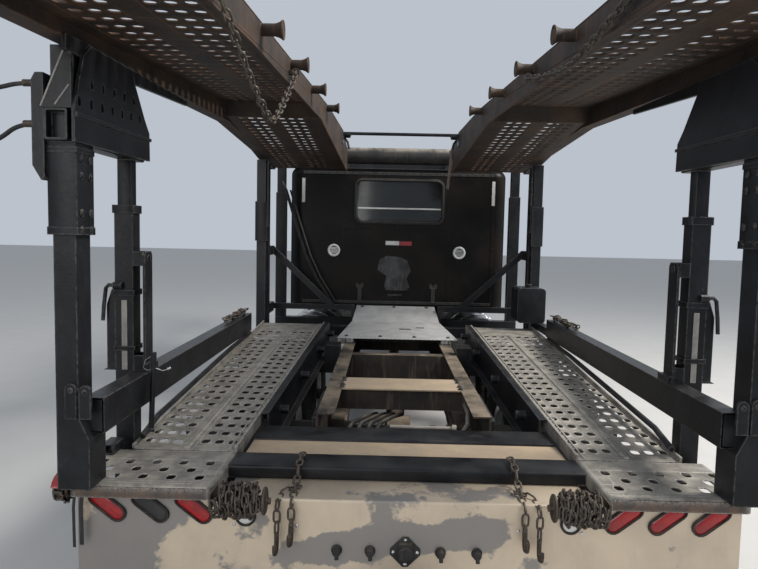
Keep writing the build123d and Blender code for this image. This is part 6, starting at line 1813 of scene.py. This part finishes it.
@dataclass
class DeckFittings:
    """The cable fittings at the cross bar's ends, the strap, the hose beside the cab and the pipes in the frame."""

    drums: Sequence[tuple[Point, float]] = (
        ((0.545, 3.46, 2.715), 0.034), ((0.475, 3.49, 2.724), 0.026), ((0.585, 3.4, 2.7), 0.024),
    )
    plate: Line = ((3.38, 2.64), (3.53, 2.64), (3.53, 2.7), (3.47, 2.752), (3.41, 2.745))
    cable: Sequence[Point] = ((0.5, 3.5, 2.7), (0.47, 3.47, 2.66), (0.455, 3.46, 2.6))
    straps: Sequence[tuple[Sequence[Point], float]] = (
        (((0.454, 3.46, 2.61), (0.446, 3.46, 2.5), (0.436, 3.46, 2.39), (0.424, 3.46, 2.262)), 0.012),
        (((0.44, 3.47, 2.6), (0.462, 3.47, 2.52), (0.452, 3.47, 2.44)), 0.009),
    )
    cab_hose: Sequence[Point] = (
        (-1.14, 4.02, 2.34), (-1.095, 4.0, 2.26), (-0.99, 3.99, 1.93),
        (-0.895, 3.985, 1.64), (-0.79, 3.98, 1.42), (-0.64, 3.98, 1.185),
    )
    pipe: Sequence[Point] = (
        (0.352, 1.6, 0.862), (0.356, 1.521, 0.87), (0.372, 1.35, 0.868),
        (0.371, 1.212, 0.86), (0.345, 1.02, 0.85), (0.302, 0.908, 0.838),
    )
    frame_hose: Sequence[Point] = ((-0.3, 0.95, 0.8), (-0.27, 1.15, 0.812), (-0.2, 1.3, 0.806), (-0.14, 1.42, 0.79))
    frame_hoses: int = 4
    hose_gap: float = 0.05
    plates: Flat = (0.508, 0.6)
    bolt_columns: Flat = (-0.343, 0.343)
    bolt_rows: Sequence[float] = (1.36, 1.42, 1.53, 1.59)
    bolt_height: float = 0.9595

    def build(self) -> None:
        """Builds what rides on the upper deck and what stays on the frame."""
        high, strap, hose, pipes, dark = Sheet(), Sheet(), Sheet(), Sheet(), Sheet()
        for side in SIDES:
            for (x, y, z), radius in self.drums:
                for reach, size, sides in ((0.028, radius, 16), (0.034, radius * 0.45, 10)):
                    high.rod((side * (x - reach), y, z), (side * (x + reach), y, z), size, sides)
            for x in self.plates:
                high.prism(self.plate, Axis.X, *span(side, x, x + 0.008))
            high.path(on(side, self.cable), 0.01, 8)
        high.piece("cable_fittings", Paint.STRUCTURE, Body.UPPER)
        for line, radius in self.straps:
            strap.path(line, radius, 6)
        strap.piece("rusty_strap", Paint.RUST, Body.UPPER)
        hose.path(self.cab_hose, 0.015, 10)
        hose.path([(x + 0.045, y - 0.02, z) for x, y, z in self.cab_hose[1:]], 0.009, 8)
        hose.piece("cab_hoses", Paint.RUBBER)
        pipes.path(self.pipe, 0.013, 10)
        pipes.rod((-0.066, 0.912, 0.866), (0.266, 0.905, 0.866), 0.0105, 10)
        pipes.rod((0.25, 0.905, 0.866), (0.272, 0.905, 0.866), 0.02, 12)
        pipes.piece("frame_pipes", Paint.WORN)
        for number in range(self.frame_hoses):
            dark.path([(x + self.hose_gap * number, y, z) for x, y, z in self.frame_hose], 0.012, 8)
        dark.piece("frame_hoses", Paint.RUBBER)
        spots = [((x, y, self.bolt_height), UP) for x in self.bolt_columns for y in self.bolt_rows]
        Scatter("cross_plate_bolts", bolt(0.011, 0.01)).piece(spots, Paint.STRUCTURE)


@dataclass
class CabFittings:
    """Handles, rails, window gaskets, mirror glass, wipers, marker lamps and panel seams of the cab."""

    door_window: Line = ((5.33, 1.79), (6.14, 1.79), (5.95, 2.23), (5.33, 2.23))
    grip: Sequence[Point] = (
        (1.002, 5.3, 1.44), (1.028, 5.306, 1.44), (1.031, 5.32, 1.44),
        (1.031, 5.41, 1.44), (1.028, 5.424, 1.44), (1.002, 5.43, 1.44),
    )
    rail: Sequence[Point] = (
        (1.0, 5.195, 1.3), (1.036, 5.195, 1.312), (1.04, 5.195, 1.34),
        (1.04, 5.195, 1.91), (1.036, 5.195, 1.938), (1.0, 5.195, 1.95),
    )
    cowl: Flat = (6.56, 1.74)
    screen_top: Flat = (6.18, 2.41)
    screen: Flat = (1.72, 0.56)
    screen_up: float = 0.36
    wipers: Sequence[Sequence[Point]] = (
        ((0.12, -0.035, 0.018), (0.34, 0.16, 0.026), (0.42, 0.2, 0.022)),
        ((0.28, 0.03, 0.016), (0.56, 0.37, 0.016)),
    )
    lamps: Sequence[float] = (-0.62, -0.31, 0.0, 0.31, 0.62)
    dome: Line = ((-0.004, 0.0), (-0.004, 0.032), (0.01, 0.031), (0.022, 0.024), (0.028, 0.012), (0.03, 0.0))
    sleeper_wall: float = 1.0655
    treads: Sequence[tuple[Flat, float]] = (((1.06, 1.172), 0.7), ((0.9, 1.172), 1.03))
    bars: int = 9
    bar_start: float = 5.955
    bar_pitch: float = 0.045
    bar: float = 0.016
    mirrors: Line = ((1.818, 2.06), (2.072, 2.172))
    lockers: Sequence[tuple[Flat, Flat, float, float]] = (
        ((4.28, 4.9), (1.26, 1.7), 0.05, 0.007), ((4.42, 4.8), (1.9, 2.18), 0.06, 0.01),
    )
    seam_heights: Sequence[float] = (1.215, 1.78, 2.33)
    latches: Flat = (4.4, 4.78)
    slot_columns: Flat = (0.74, 0.99)
    slots: int = 12
    slot_start: float = 4.4
    slot_pitch: float = 0.34
    slot_top: float = 2.6675

    def build(self) -> None:
        """Builds the doors' fittings and those that stay with the cab."""
        self._door(-1, Body.DOOR_LEFT)
        self._door(1, Body.DOOR_RIGHT)
        self._screen()
        self._shell()
        self._steps()
        self._rack()

    def _door(self, side: int, body: Body) -> None:
        """One door's handle, window gasket and mirror glass."""
        bright, gasket = Sheet(), Sheet()
        word = "left" if side < 0 else "right"
        bright.box(span(side, 0.998, 1.006), (5.285, 5.445), (1.412, 1.468))
        bright.path(on(side, self.grip), 0.0095, 10)
        for height in self.mirrors:
            bright.prism(rounded(span(side, 1.112, 1.258), height, 0.02, 4), Axis.Y, 6.0575, 6.0605)
        bright.piece(f"door_handle_{word}", Paint.CHROME, body)
        gasket.path([(side * 1.0005, y, z) for y, z in self.door_window], 0.009, 8, closed=True)
        gasket.box(span(side, 0.999, 1.004), (5.25, 6.2), (1.56, 1.58))
        gasket.piece(f"door_trim_{word}", Paint.RUBBER, body)

    def _on_screen(self, x: float, up: float, lift: float) -> Point:
        """A point over the windscreen, up along it from the cowl and lifted off it."""
        (s0, z0), (s1, z1) = self.cowl, self.screen_top
        length = math.hypot(s1 - s0, z1 - z0)
        back, rise = (s1 - s0) / length, (z1 - z0) / length
        return (x, s0 + back * up + rise * lift, z0 + rise * up - back * lift)

    def _screen(self) -> None:
        """The windscreen's gasket, its middle bar and the two wipers."""
        half = self.screen[0] / 2
        low, high = self.screen_up - self.screen[1] / 2, self.screen_up + self.screen[1] / 2
        dark = Sheet()
        edge = rounded((-half, half), (low, high), 0.06, 5)
        dark.path([self._on_screen(x, up, 0.002) for x, up in edge], 0.013, 8, closed=True)
        dark.path([self._on_screen(0.0, up, 0.002) for up in (low, high)], 0.01, 8)
        for side in SIDES:
            for bar in self.wipers:
                dark.path([self._on_screen(side * x, low + up, lift) for x, up, lift in bar], 0.006, 6)
        dark.piece("windscreen_trim", Paint.RUBBER)

    def _shell(self) -> None:
        """Grab rails, marker lamps, and the sleeper's lockers with their seams and latches."""
        bright, amber, seams = Sheet(), Sheet(), Sheet()
        for side in SIDES:
            bright.path(on(side, self.rail), 0.012, 10)
            for along, height, corner, radius in self.lockers:
                edge = rounded(along, height, corner, 4)
                seams.path([(side * self.sleeper_wall, y, z) for y, z in edge], radius, 6, closed=True)
            for z in self.seam_heights:
                seams.box(span(side, 1.064, 1.069), (4.2, 5.02), (z, z + 0.02))
            for y in self.latches:
                bright.box(span(side, 1.064, 1.074), (y - 0.03, y + 0.03), (1.63, 1.67))
        for x in self.lamps:
            amber.lathe((x, self.screen_top[0] - 0.21, 2.45), Axis.Z, self.dome, 18)
        bright.piece("grab_rails", Paint.CHROME)
        amber.piece("marker_lamps", Paint.AMBER)
        seams.piece("sleeper_seams", Paint.CAB)

    def _steps(self) -> None:
        """The bars across the step boxes."""
        treads = Sheet()
        for x, z in self.treads:
            for number in range(self.bars):
                y = self.bar_start + self.bar_pitch * number
                treads.box(x, (y, y + self.bar), (z - 0.001, z + 0.005))
        treads.mirrored()
        treads.piece("step_treads", Paint.ALUMINIUM)

    def _rack(self) -> None:
        """Raised rims round the headrack's slots."""
        rim = Sheet()
        rim.hollow((-0.088, 0.088), (-0.0405, 0.0405), (0.0, 0.005), 0.008, radii=(0.006, 0.003))
        columns = [side * x for side in SIDES for x in self.slot_columns]
        rows = [self.slot_start + self.slot_pitch * number for number in range(self.slots)]
        spots = [((x, y, self.slot_top), UP) for x in columns for y in rows]
        Scatter("rack_slot_rims", rim).piece(spots, Paint.STRUCTURE, Body.RACK)


@dataclass
class Undercarriage:
    """The dark air tank, which also stands in for the shade under the frame, the catwalk's lip, painted shadow
    patches and bolts, and the tube behind the cab's roof, worn in patches, whose pale top is partly dust and partly
    painted sunlight.
    """

    tank: Point = (0.0, 1.22, 0.655)
    tank_half: float = 0.335
    tank_r: float = 0.122
    tube: Flat = (4.09, 2.615)
    # Dark squares on the catwalk: painted shadow patches.
    cuts: Sequence[tuple[Point, float]] = (((0.074, 3.328, 1.0195), 0.05), ((0.211, 3.411, 1.0225), 0.036))
    bands: Flat = (-0.18, 0.18)
    rounds: Sequence[Point] = ((-0.552, 0.552, 0.08), (-0.535, -0.552, 0.092), (0.535, 0.552, 0.092))
    bolts: Sequence[tuple[Sequence[float], Flat]] = (
        ((-0.33, -0.02, 0.3), (3.975, 1.138)), ((-0.42, -0.14, 0.14, 0.42), (2.96, 1.006)),
    )

    def build(self) -> None:
        """Builds the tank, the lip, the bolts and the tube."""
        dark, tube, holes = Sheet(), Sheet(), Sheet()
        half, radius = self.tank_half, self.tank_r
        end = [(-half, 0.0), (-half + 0.002, radius * 0.45), (-half + 0.018, radius * 0.86), (-half + 0.05, radius)]
        # The dark tank is a plausible part that also stands in for the shade under the frame, hiding the floor.
        dark.lathe(self.tank, Axis.X, [*end, *((-along, r) for along, r in end[::-1])], 40)
        for x in self.bands:
            band = [
                (-0.018, radius - 0.002), (-0.018, radius + 0.004), (0.018, radius + 0.004), (0.018, radius - 0.002),
            ]
            dark.lathe((x, *self.tank[1:]), Axis.X, band, 40)
        dark.box((-0.42, 0.44), (3.07, 3.11), (0.95, 1.006))
        dark.piece("air_tank", Paint.STRUCTURE)
        for start, end, radius in self.rounds:
            tube.rod((start, *self.tube), (end, *self.tube), radius, 36)
        # The tube's pale top is partly dust and partly painted sunlight.
        tube.piece("roof_tube", Paint.DUSTY, Body.RACK)
        # Painted shadow patches: dark squares laid into the catwalk's top.
        for (x, y, z), size in self.cuts:
            holes.box((x - size, x + size), (y - size * 0.6, y + size * 0.6), (z - 0.004, z))
        holes.piece("catwalk_cuts", Paint.PLASTIC)
        spots = [((x, *row), UP) for columns, row in self.bolts for x in columns]
        Scatter("catwalk_bolts", bolt(0.012, 0.01)).piece(spots, Paint.STRUCTURE)


@dataclass
class CabWall:
    """The cab's back wall: window gasket and bar, vents, rivets, latches, tape and a paler mottled patch."""

    face: float = 4.05
    window: tuple[Flat, Flat] = ((-0.4, 0.425), (1.983, 2.366))
    gasket: Sequence[Point] = (
        (0.0, 0.03, 0.05), (-0.007, 0.028, 0.049), (-0.01, 0.018, 0.045),
        (-0.008, 0.006, 0.038), (0.01, 0.0, 0.035), (0.01, 0.012, 0.04),
    )
    bead: Sequence[Point] = (
        (-0.009, 0.014, 0.05), (-0.012, 0.012, 0.05), (-0.012, 0.009, 0.05), (-0.009, 0.007, 0.05),
    )
    vents: Line = ((-0.625, 1.684), (0.612, 1.683))
    vent: Line = ((0.0, 0.04), (0.0, 0.062), (-0.006, 0.062), (-0.011, 0.056), (-0.011, 0.046), (-0.004, 0.04))
    scuff: Line = (
        (-0.17, 1.6), (-0.1, 1.64), (0.02, 1.63), (0.1, 1.6), (0.14, 1.5), (0.1, 1.42),
        (0.13, 1.33), (0.05, 1.25), (-0.08, 1.24), (-0.12, 1.34), (-0.1, 1.44), (-0.19, 1.5),
    )
    columns: Flat = (-0.545, 0.512)
    edges: Flat = (-0.93, 0.93)
    bars: Flat = (1.165, 2.43)
    latch_x: float = 0.363
    tapes: Sequence[tuple[str, Paint, Flat, Flat]] = (
        ("tape_red", Paint.RED, (0.018, 0.143), (1.744, 1.784)),
        ("tape_pale", Paint.WHITE, (-0.115, 0.0175), (1.746, 1.786)),
    )

    def build(self) -> None:
        """Builds all that sits on the wall."""
        self._window()
        self._latches()
        fins = Sheet()
        for number, (x, z) in enumerate(self.vents):
            fin = Sheet()
            fin.box((-0.036, 0.036), (-0.003, 0.0), (-0.0035, 0.0035))
            row = Series(f"vent_fins_{number}", fin, 5, (x, self.face - 0.004, z - 0.026), (0.0, 0.0, 0.013))
            fins.take(row.mesh(Paint.ALUMINIUM))
        fins.piece("vent_fins", Paint.ALUMINIUM)
        for name, paint, x, z in self.tapes:
            tape = Sheet()
            self._raised(tape, x, z, 0.002)
            tape.piece(name, paint)
        self._seams()
        scuff = Sheet()
        scuff.prism(self.scuff, Axis.Y, self.face - 0.0012, self.face)
        scuff.piece("wall_scuff", Paint.SCUFF)
        self._rivets()

    def _raised(self, sheet: Sheet, x: Flat, z: Flat, height: float) -> None:
        """A flat block on the wall that stands out by a height."""
        sheet.box(x, (self.face - height, self.face), z)

    def _window(self) -> None:
        """The window's gasket and bar, the vents' rings and the pale edge strips."""
        gasket, trim = Sheet(), Sheet()
        for section in (self.gasket, self.bead):
            layers = [
                (self.face + y, rounded(*grown(*self.window, grow), corner + grow, 6)) for y, grow, corner in section
            ]
            gasket.stack(layers, Axis.Y, ring=True)
        gasket.piece("window_gasket", Paint.RUBBER)
        x0, x1 = self.window[0]
        trim.box((x0 + 0.004, x1 - 0.004), (self.face + 0.004, self.face + 0.011), (2.098, 2.112))
        for x, z in self.vents:
            trim.lathe((x, self.face, z), Axis.Y, self.vent, 32)
        for side in SIDES:
            self._raised(trim, span(side, 0.915, 0.945), (2.15, 2.385), 0.006)
        trim.piece("wall_trim", Paint.WHITE)

    def _latches(self) -> None:
        """The vents' dark middles, the two latches and the bars across the wall."""
        dark = Sheet()
        for x, z in self.vents:
            dark.rod((x, self.face - 0.003, z), (x, self.face + 0.002, z), 0.0415, 28)
        for side in SIDES:
            x = side * self.latch_x
            self._raised(dark, (x - 0.038, x + 0.038), (1.33, 1.352), 0.012)
            for offset in (-0.026, 0.026):
                self._raised(dark, (x + offset - 0.009, x + offset + 0.009), (1.322, 1.366), 0.018)
            self._raised(dark, (x - 0.018, x + 0.018), (1.185, 1.33), 0.022)
            hook = ((-0.012, 0.026, 1.2), (0.0, 0.04, 1.18), (0.012, 0.026, 1.2))
            dark.path([(x + a, self.face - out, z) for a, out, z in hook], 0.006, 8)
        for z in self.bars:
            self._raised(dark, self.edges, (z, z + 0.026), 0.004)
        dark.piece("wall_latches", Paint.PLASTIC)

    def _seams(self) -> None:
        """The laps of the wall's panels."""
        seams = Sheet()
        for x in self.columns:
            self._raised(seams, (x - 0.016, x + 0.016), (1.192, 1.925), 0.0035)
        self._raised(seams, self.columns, (1.905, 1.937), 0.004)
        self._raised(seams, (-0.2, 0.17), (1.26, 1.3), 0.004)
        for x in self.edges:
            self._raised(seams, (x - 0.012, x + 0.012), (1.192, 2.14), 0.004)
        seams.piece("wall_seams", Paint.CAB)

    def _rivets(self) -> None:
        """The rivets along the laps and round the window."""
        near = self.face - 0.004
        places = [(x, self.face - 0.0035, 1.22 + 0.042 * k) for x in self.columns for k in range(17)]
        places += [(-0.52 + 0.043 * k, near, 1.921) for k in range(24)]
        places += [(x, self.face, 1.96 + 0.05 * k) for x in (-0.475, 0.5) for k in range(10)]
        places += [(-0.9 + 0.075 * k, near, z) for k in range(25) for z in (1.178, 2.443)]
        places += [(x, near, 1.25 + 0.06 * k) for x in self.edges for k in range(15)]
        Scatter("wall_rivets", rivet(0.0065)).piece([(spot, BACK) for spot in places], Paint.CAB)


@dataclass
class UpperTracks:
    """The two perforated upper runways between a deep outer beam and a tapering inner one."""

    plate_rear: Line = ((-1.0, 2.48), (0.1, 2.552), (1.95, 2.7))
    plate_front: Line = ((2.01, 2.612), (3.93, 2.47))
    outer_low: Line = ((-1.0, 2.432), (0.0, 2.49), (2.1, 2.59), (3.2, 2.54), (3.93, 2.45))
    outer_high: Line = ((-1.0, 2.56), (0.0, 2.63), (2.05, 2.755), (3.2, 2.69), (3.93, 2.59))
    inner_low: Line = ((-1.0, 2.462), (0.1, 2.536), (2.0, 2.6), (3.93, 2.446))
    inner_high: Line = ((-1.0, 2.6), (0.0, 2.645), (1.0, 2.695), (2.4, 2.762), (3.5, 2.766), (3.93, 2.66))
    rear: float = -1.0
    front: float = 3.93
    inner_x: Flat = (0.64, 0.5)
    outer_x: float = 1.27
    beam: float = 0.08
    beam_wall: float = 0.01
    pitch: Flat = (0.0615, 0.098)
    lanes: Flat = (0.762, 1.034)
    sheet_t: float = 0.005
    stubs: Sequence[float] = (0.23, 0.87, 1.55, 2.3)
    flare: Line = (
        (-0.05, 0.0), (-0.05, 0.023), (-0.07, 0.029), (-0.083, 0.038), (-0.087, 0.037), (-0.078, 0.021),
        (-0.078, 0.0),
    )

    def inner_edge(self, station: float) -> float:
        """How far from the middle the inner edge is at a station."""
        share = (station - self.rear) / (self.front - self.rear)
        return self.inner_x[0] + (self.inner_x[1] - self.inner_x[0]) * share

    def build(self) -> None:
        """Builds both runways as one piece."""
        sheet = Sheet()
        for name, line, rows in (("rear", self.plate_rear, 30), ("front", self.plate_front, 19)):
            flat = Sheet()
            lane = PressedLane(3, rows, self.pitch, (0.04, 0.046), sheet=self.sheet_t)
            length = rows * self.pitch[1]
            first = line[0][0] + 0.006
            for number, x in enumerate(self.lanes):
                flat.take(lane.mesh(f"upper_{name}_{number}", (x, first + length / 2), 0.0, Paint.UPPER))
            self._fill(flat, line, first, first + length)
            for vert in flat.faces.verts:
                vert.co.z += height_at(line, vert.co.y)
            sheet.take(flat.mesh(f"upper_{name}_plate", outwards=False))
        self._step(sheet)
        self._beams(sheet)
        sheet.mirrored()
        sheet.piece("upper_track_treads", Paint.UPPER, Body.UPPER, ["upper_tracks"], 30.0, False)

    def _fill(self, sheet: Sheet, line: Line, first: float, last: float) -> None:
        """Plain strips beside and between the lanes, cut where the line bends.

        Args:
            sheet: what they are added to.
            line: the plate's (station, height) line.
            first: the station where the lanes start.
            last: the station where they end.
        """
        half = 1.5 * self.pitch[0]
        start, end = line[0][0], line[-1][0]
        cuts = {start, first, last, end, *(y for y, _ in line), *(start + 0.4 * k for k in range(1, 12))}
        cuts = sorted(cut for cut in cuts if start <= cut <= end)
        outer = (self.outer_x - self.beam,) * 2
        sides = [((lane - half,) * 2, (lane + half,) * 2) for lane in self.lanes]
        for y0, y1 in zip(cuts, cuts[1:]):
            inner = (self.inner_edge(y0), self.inner_edge(y1))
            edges = [inner, outer] if y1 <= first or y0 >= last else [inner, *sides[0], *sides[1], outer]
            for near, far in zip(edges[::2], edges[1::2]):
                base = [(near[0], y0), (far[0], y0), (far[1], y1), (near[1], y1)]
                sheet.prism(base, Axis.Z, -self.sheet_t, 0.0)

    def _step(self, sheet: Sheet) -> None:
        """The folded drop from the rear plate to the front plate."""
        y0, z0 = self.plate_rear[-1]
        y1, z1 = self.plate_front[0]
        profile = [
            (y0, z0), (y0 + 0.012, z0), (y1 + 0.006, z1), (y1 + 0.006, z1 - 0.006), (y1 - 0.006, z1 - 0.006),
            (y0, z0 - 0.008),
        ]
        sheet.prism(profile, Axis.X, self.inner_edge(y0), self.outer_x - self.beam)

    def _beams(self, sheet: Sheet) -> None:
        """The outer beam as a channel open outwards, the inner one as a deep angle, with its stubs."""
        web = self.outer_x - self.beam
        sheet.prism([*self.outer_high, *self.outer_low[::-1]], Axis.X, web, web + self.beam_wall)
        for line, wall in ((self.outer_high, -self.beam_wall), (self.outer_low, self.beam_wall)):
            for (y0, z0), (y1, z1) in zip(line, line[1:]):
                flange = [(y0, z0), (y1, z1), (y1, z1 + wall), (y0, z0 + wall)]
                sheet.prism(flange, Axis.X, web + self.beam_wall, self.outer_x)
        stations = sorted({y for y, _ in (*self.inner_low, *self.inner_high)})
        for ends in zip(stations, stations[1:]):
            lower, upper = [[height_at(line, y) for y in ends] for line in (self.inner_low, self.inner_high)]
            for wide, floor in ((0.01, lower), (0.05, [z - 0.008 for z in upper])):
                base, roof = [
                    [
                        (self.inner_edge(ends[k]) + out, ends[k], level[k])
                        for out, k in ((0, 0), (wide, 0), (wide, 1), (0, 1))
                    ]
                    for level in (floor, upper)
                ]
                sheet.hexahedron(base, roof)
        for y in self.stubs:
            x, z = self.inner_edge(y), height_at(self.inner_high, y) - 0.03
            sheet.rod((x + 0.02, y, z), (x - 0.085, y, z), 0.024, 20)
            sheet.lathe((x, y, z), Axis.X, self.flare, 20)


@dataclass
class LiftHose:
    """The hydraulic hose that loops between two fittings on the left bracket's block."""

    station: float = -0.05
    radius: float = 0.008
    length: float = 0.715
    route: Line = (
        (1.33, 2.347), (1.398, 2.347), (1.462, 2.33), (1.526, 2.322), (1.586, 2.302), (1.625, 2.256),
        (1.628, 2.197), (1.594, 2.148), (1.537, 2.13), (1.47, 2.15), (1.398, 2.207), (1.33, 2.207),
    )

    def build(self) -> None:
        """Builds the hose as one smooth curve, and its two crimped fittings."""
        y = LIP_Y + self.station
        curve = nurbs("hose_loop", [(-x, y, z) for x, z in self.route])
        curve.bevel_depth = self.radius
        curve.bevel_resolution = 4
        curve.resolution_u = 10
        curve.use_fill_caps = True
        hose = scene_object("hose_loop", curve)
        curve.materials.append(SHOP.material(Paint.RUBBER))
        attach(hose, Body.UPPER.value)
        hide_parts("lift_hose")
        start = (-self.route[0][0], y, self.route[0][1])
        fittings = Sheet()
        for x, z in (self.route[0], self.route[-1]):
            for start, end, radius, sides in ((-0.012, 0.016, 0.016, 6), (0.014, 0.05, 0.0125, 16)):
                fittings.rod((-x - start, self.station, z), (-x - end, self.station, z), radius, sides)
        fittings.piece("hose_fittings", Paint.CHAIN, Body.UPPER)


@dataclass
class Studio:
    """The floor, the lights and the camera at the photograph's place."""

    camera_at: Point = (-0.1019, -6.0788, 1.8457)
    yaw: float = 0.0109
    pitch: float = 0.077
    roll: float = 0.0212
    focal_px: float = 645.2
    width_px: float = 758.0
    sensor: float = 36.0
    sky: Color = (0.8, 0.87, 0.97)
    sky_strength: float = 0.62
    lights: Sequence[tuple[str, Point, Point, float, float, Color]] = (
        ("key", (7.0, -2.5, 9.0), (0.0, -0.5, 1.0), 3.0, 1500.0, (1.0, 0.96, 0.9)),
        ("fill", (-3.0, -11.0, 4.0), (0.0, 0.0, 1.4), 5.0, 220.0, (1.0, 0.98, 0.95)),
    )

    def build(self) -> None:
        """Builds the stage."""
        self._camera()
        self._floor()
        self._lights()
        bpy.context.scene.view_settings.view_transform = "Standard"

    def _camera(self) -> None:
        """Sets the camera as fitted to the photograph."""
        forward = Vector((-math.sin(self.yaw), math.cos(self.yaw), 0.0))
        right = Vector((math.cos(self.yaw), math.sin(self.yaw), 0.0))
        up = Vector(UP)
        look = forward * math.cos(self.pitch) - up * math.sin(self.pitch)
        head = up * math.cos(self.pitch) + forward * math.sin(self.pitch)
        side = right * math.cos(self.roll) + head * math.sin(self.roll)
        top = head * math.cos(self.roll) - right * math.sin(self.roll)
        lens = bpy.data.cameras.new("camera")
        lens.sensor_width = self.sensor
        lens.lens = self.focal_px / self.width_px * self.sensor
        lens.clip_end = 200.0
        camera = scene_object("camera", lens)
        turn = Matrix((side, top, -look)).transposed().to_4x4()
        camera.matrix_world = Matrix.Translation(self.camera_at) @ turn
        bpy.context.scene.camera = camera

    def _floor(self) -> None:
        """A wide pale floor."""
        sheet = Sheet()
        sheet.box((-60.0, 60.0), (-60.0, 60.0), (-0.05, 0.0))
        floor = scene_object("floor", sheet.mesh("floor"))
        material = bpy.data.materials.new("pale_floor")
        material.use_nodes = True
        chain = NodeChain(material.node_tree)
        shades = chain.mix(chain.noise(chain.place(), 3.0, 5.0), (0.46, 0.455, 0.44), (0.52, 0.512, 0.5))
        chain.feed(Base_Color=shades, Roughness=0.9)
        floor.data.materials.append(material)

    def _lights(self) -> None:
        """A pale sky, a warm key from the right and a weak fill from behind the camera."""
        world = bpy.data.worlds.new("sky")
        bpy.context.scene.world = world
        world.use_nodes = True
        sky = world.node_tree.nodes["Background"].inputs
        sky["Color"].default_value = (*self.sky, 1.0)
        sky["Strength"].default_value = self.sky_strength
        for name, spot, aim, size, power, tint in self.lights:
            light = bpy.data.lights.new(name, "AREA")
            light.size = size
            light.energy = power
            light.color = tint
            turn = (Vector(aim) - Vector(spot)).to_track_quat("-Z", "Y").to_matrix().to_4x4()
            scene_object(name, light).matrix_world = Matrix.Translation(spot) @ turn


def paint_nodes(frame: dict) -> None:
    """Gives every CAD node its slot's finish.
    """
    slots = {row["node"]: row["material_slot"] for row in frame["record"]["subparts"]}
    for name, node in frame["nodes"].items():
        node.data.materials.clear()
        node.data.materials.append(SHOP.by_slot(slots[name]))


def main() -> None:
    """Builds the truck's looks piece by piece."""
    logging.basicConfig(level=logging.INFO, format="%(name)s: %(message)s")
    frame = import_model()
    Studio().build()
    paint_nodes(frame)
    for part in (
        LiftHose(), LowerTracks(), CornerPlatforms(), UpperTracks(), RearLamps(), PlugRow(), LipChains(), LipReels(),
        DeckChains(), RearTubes(), LipEdges(), PostFittings(), CabWall(), LiftBrackets(), Wheels(), FrontEnd(),
        DeckFittings(), CabFittings(), Undercarriage(),
    ):
        part.build()
    bpy.context.view_layer.update()


if __name__ == "__main__":
    main()
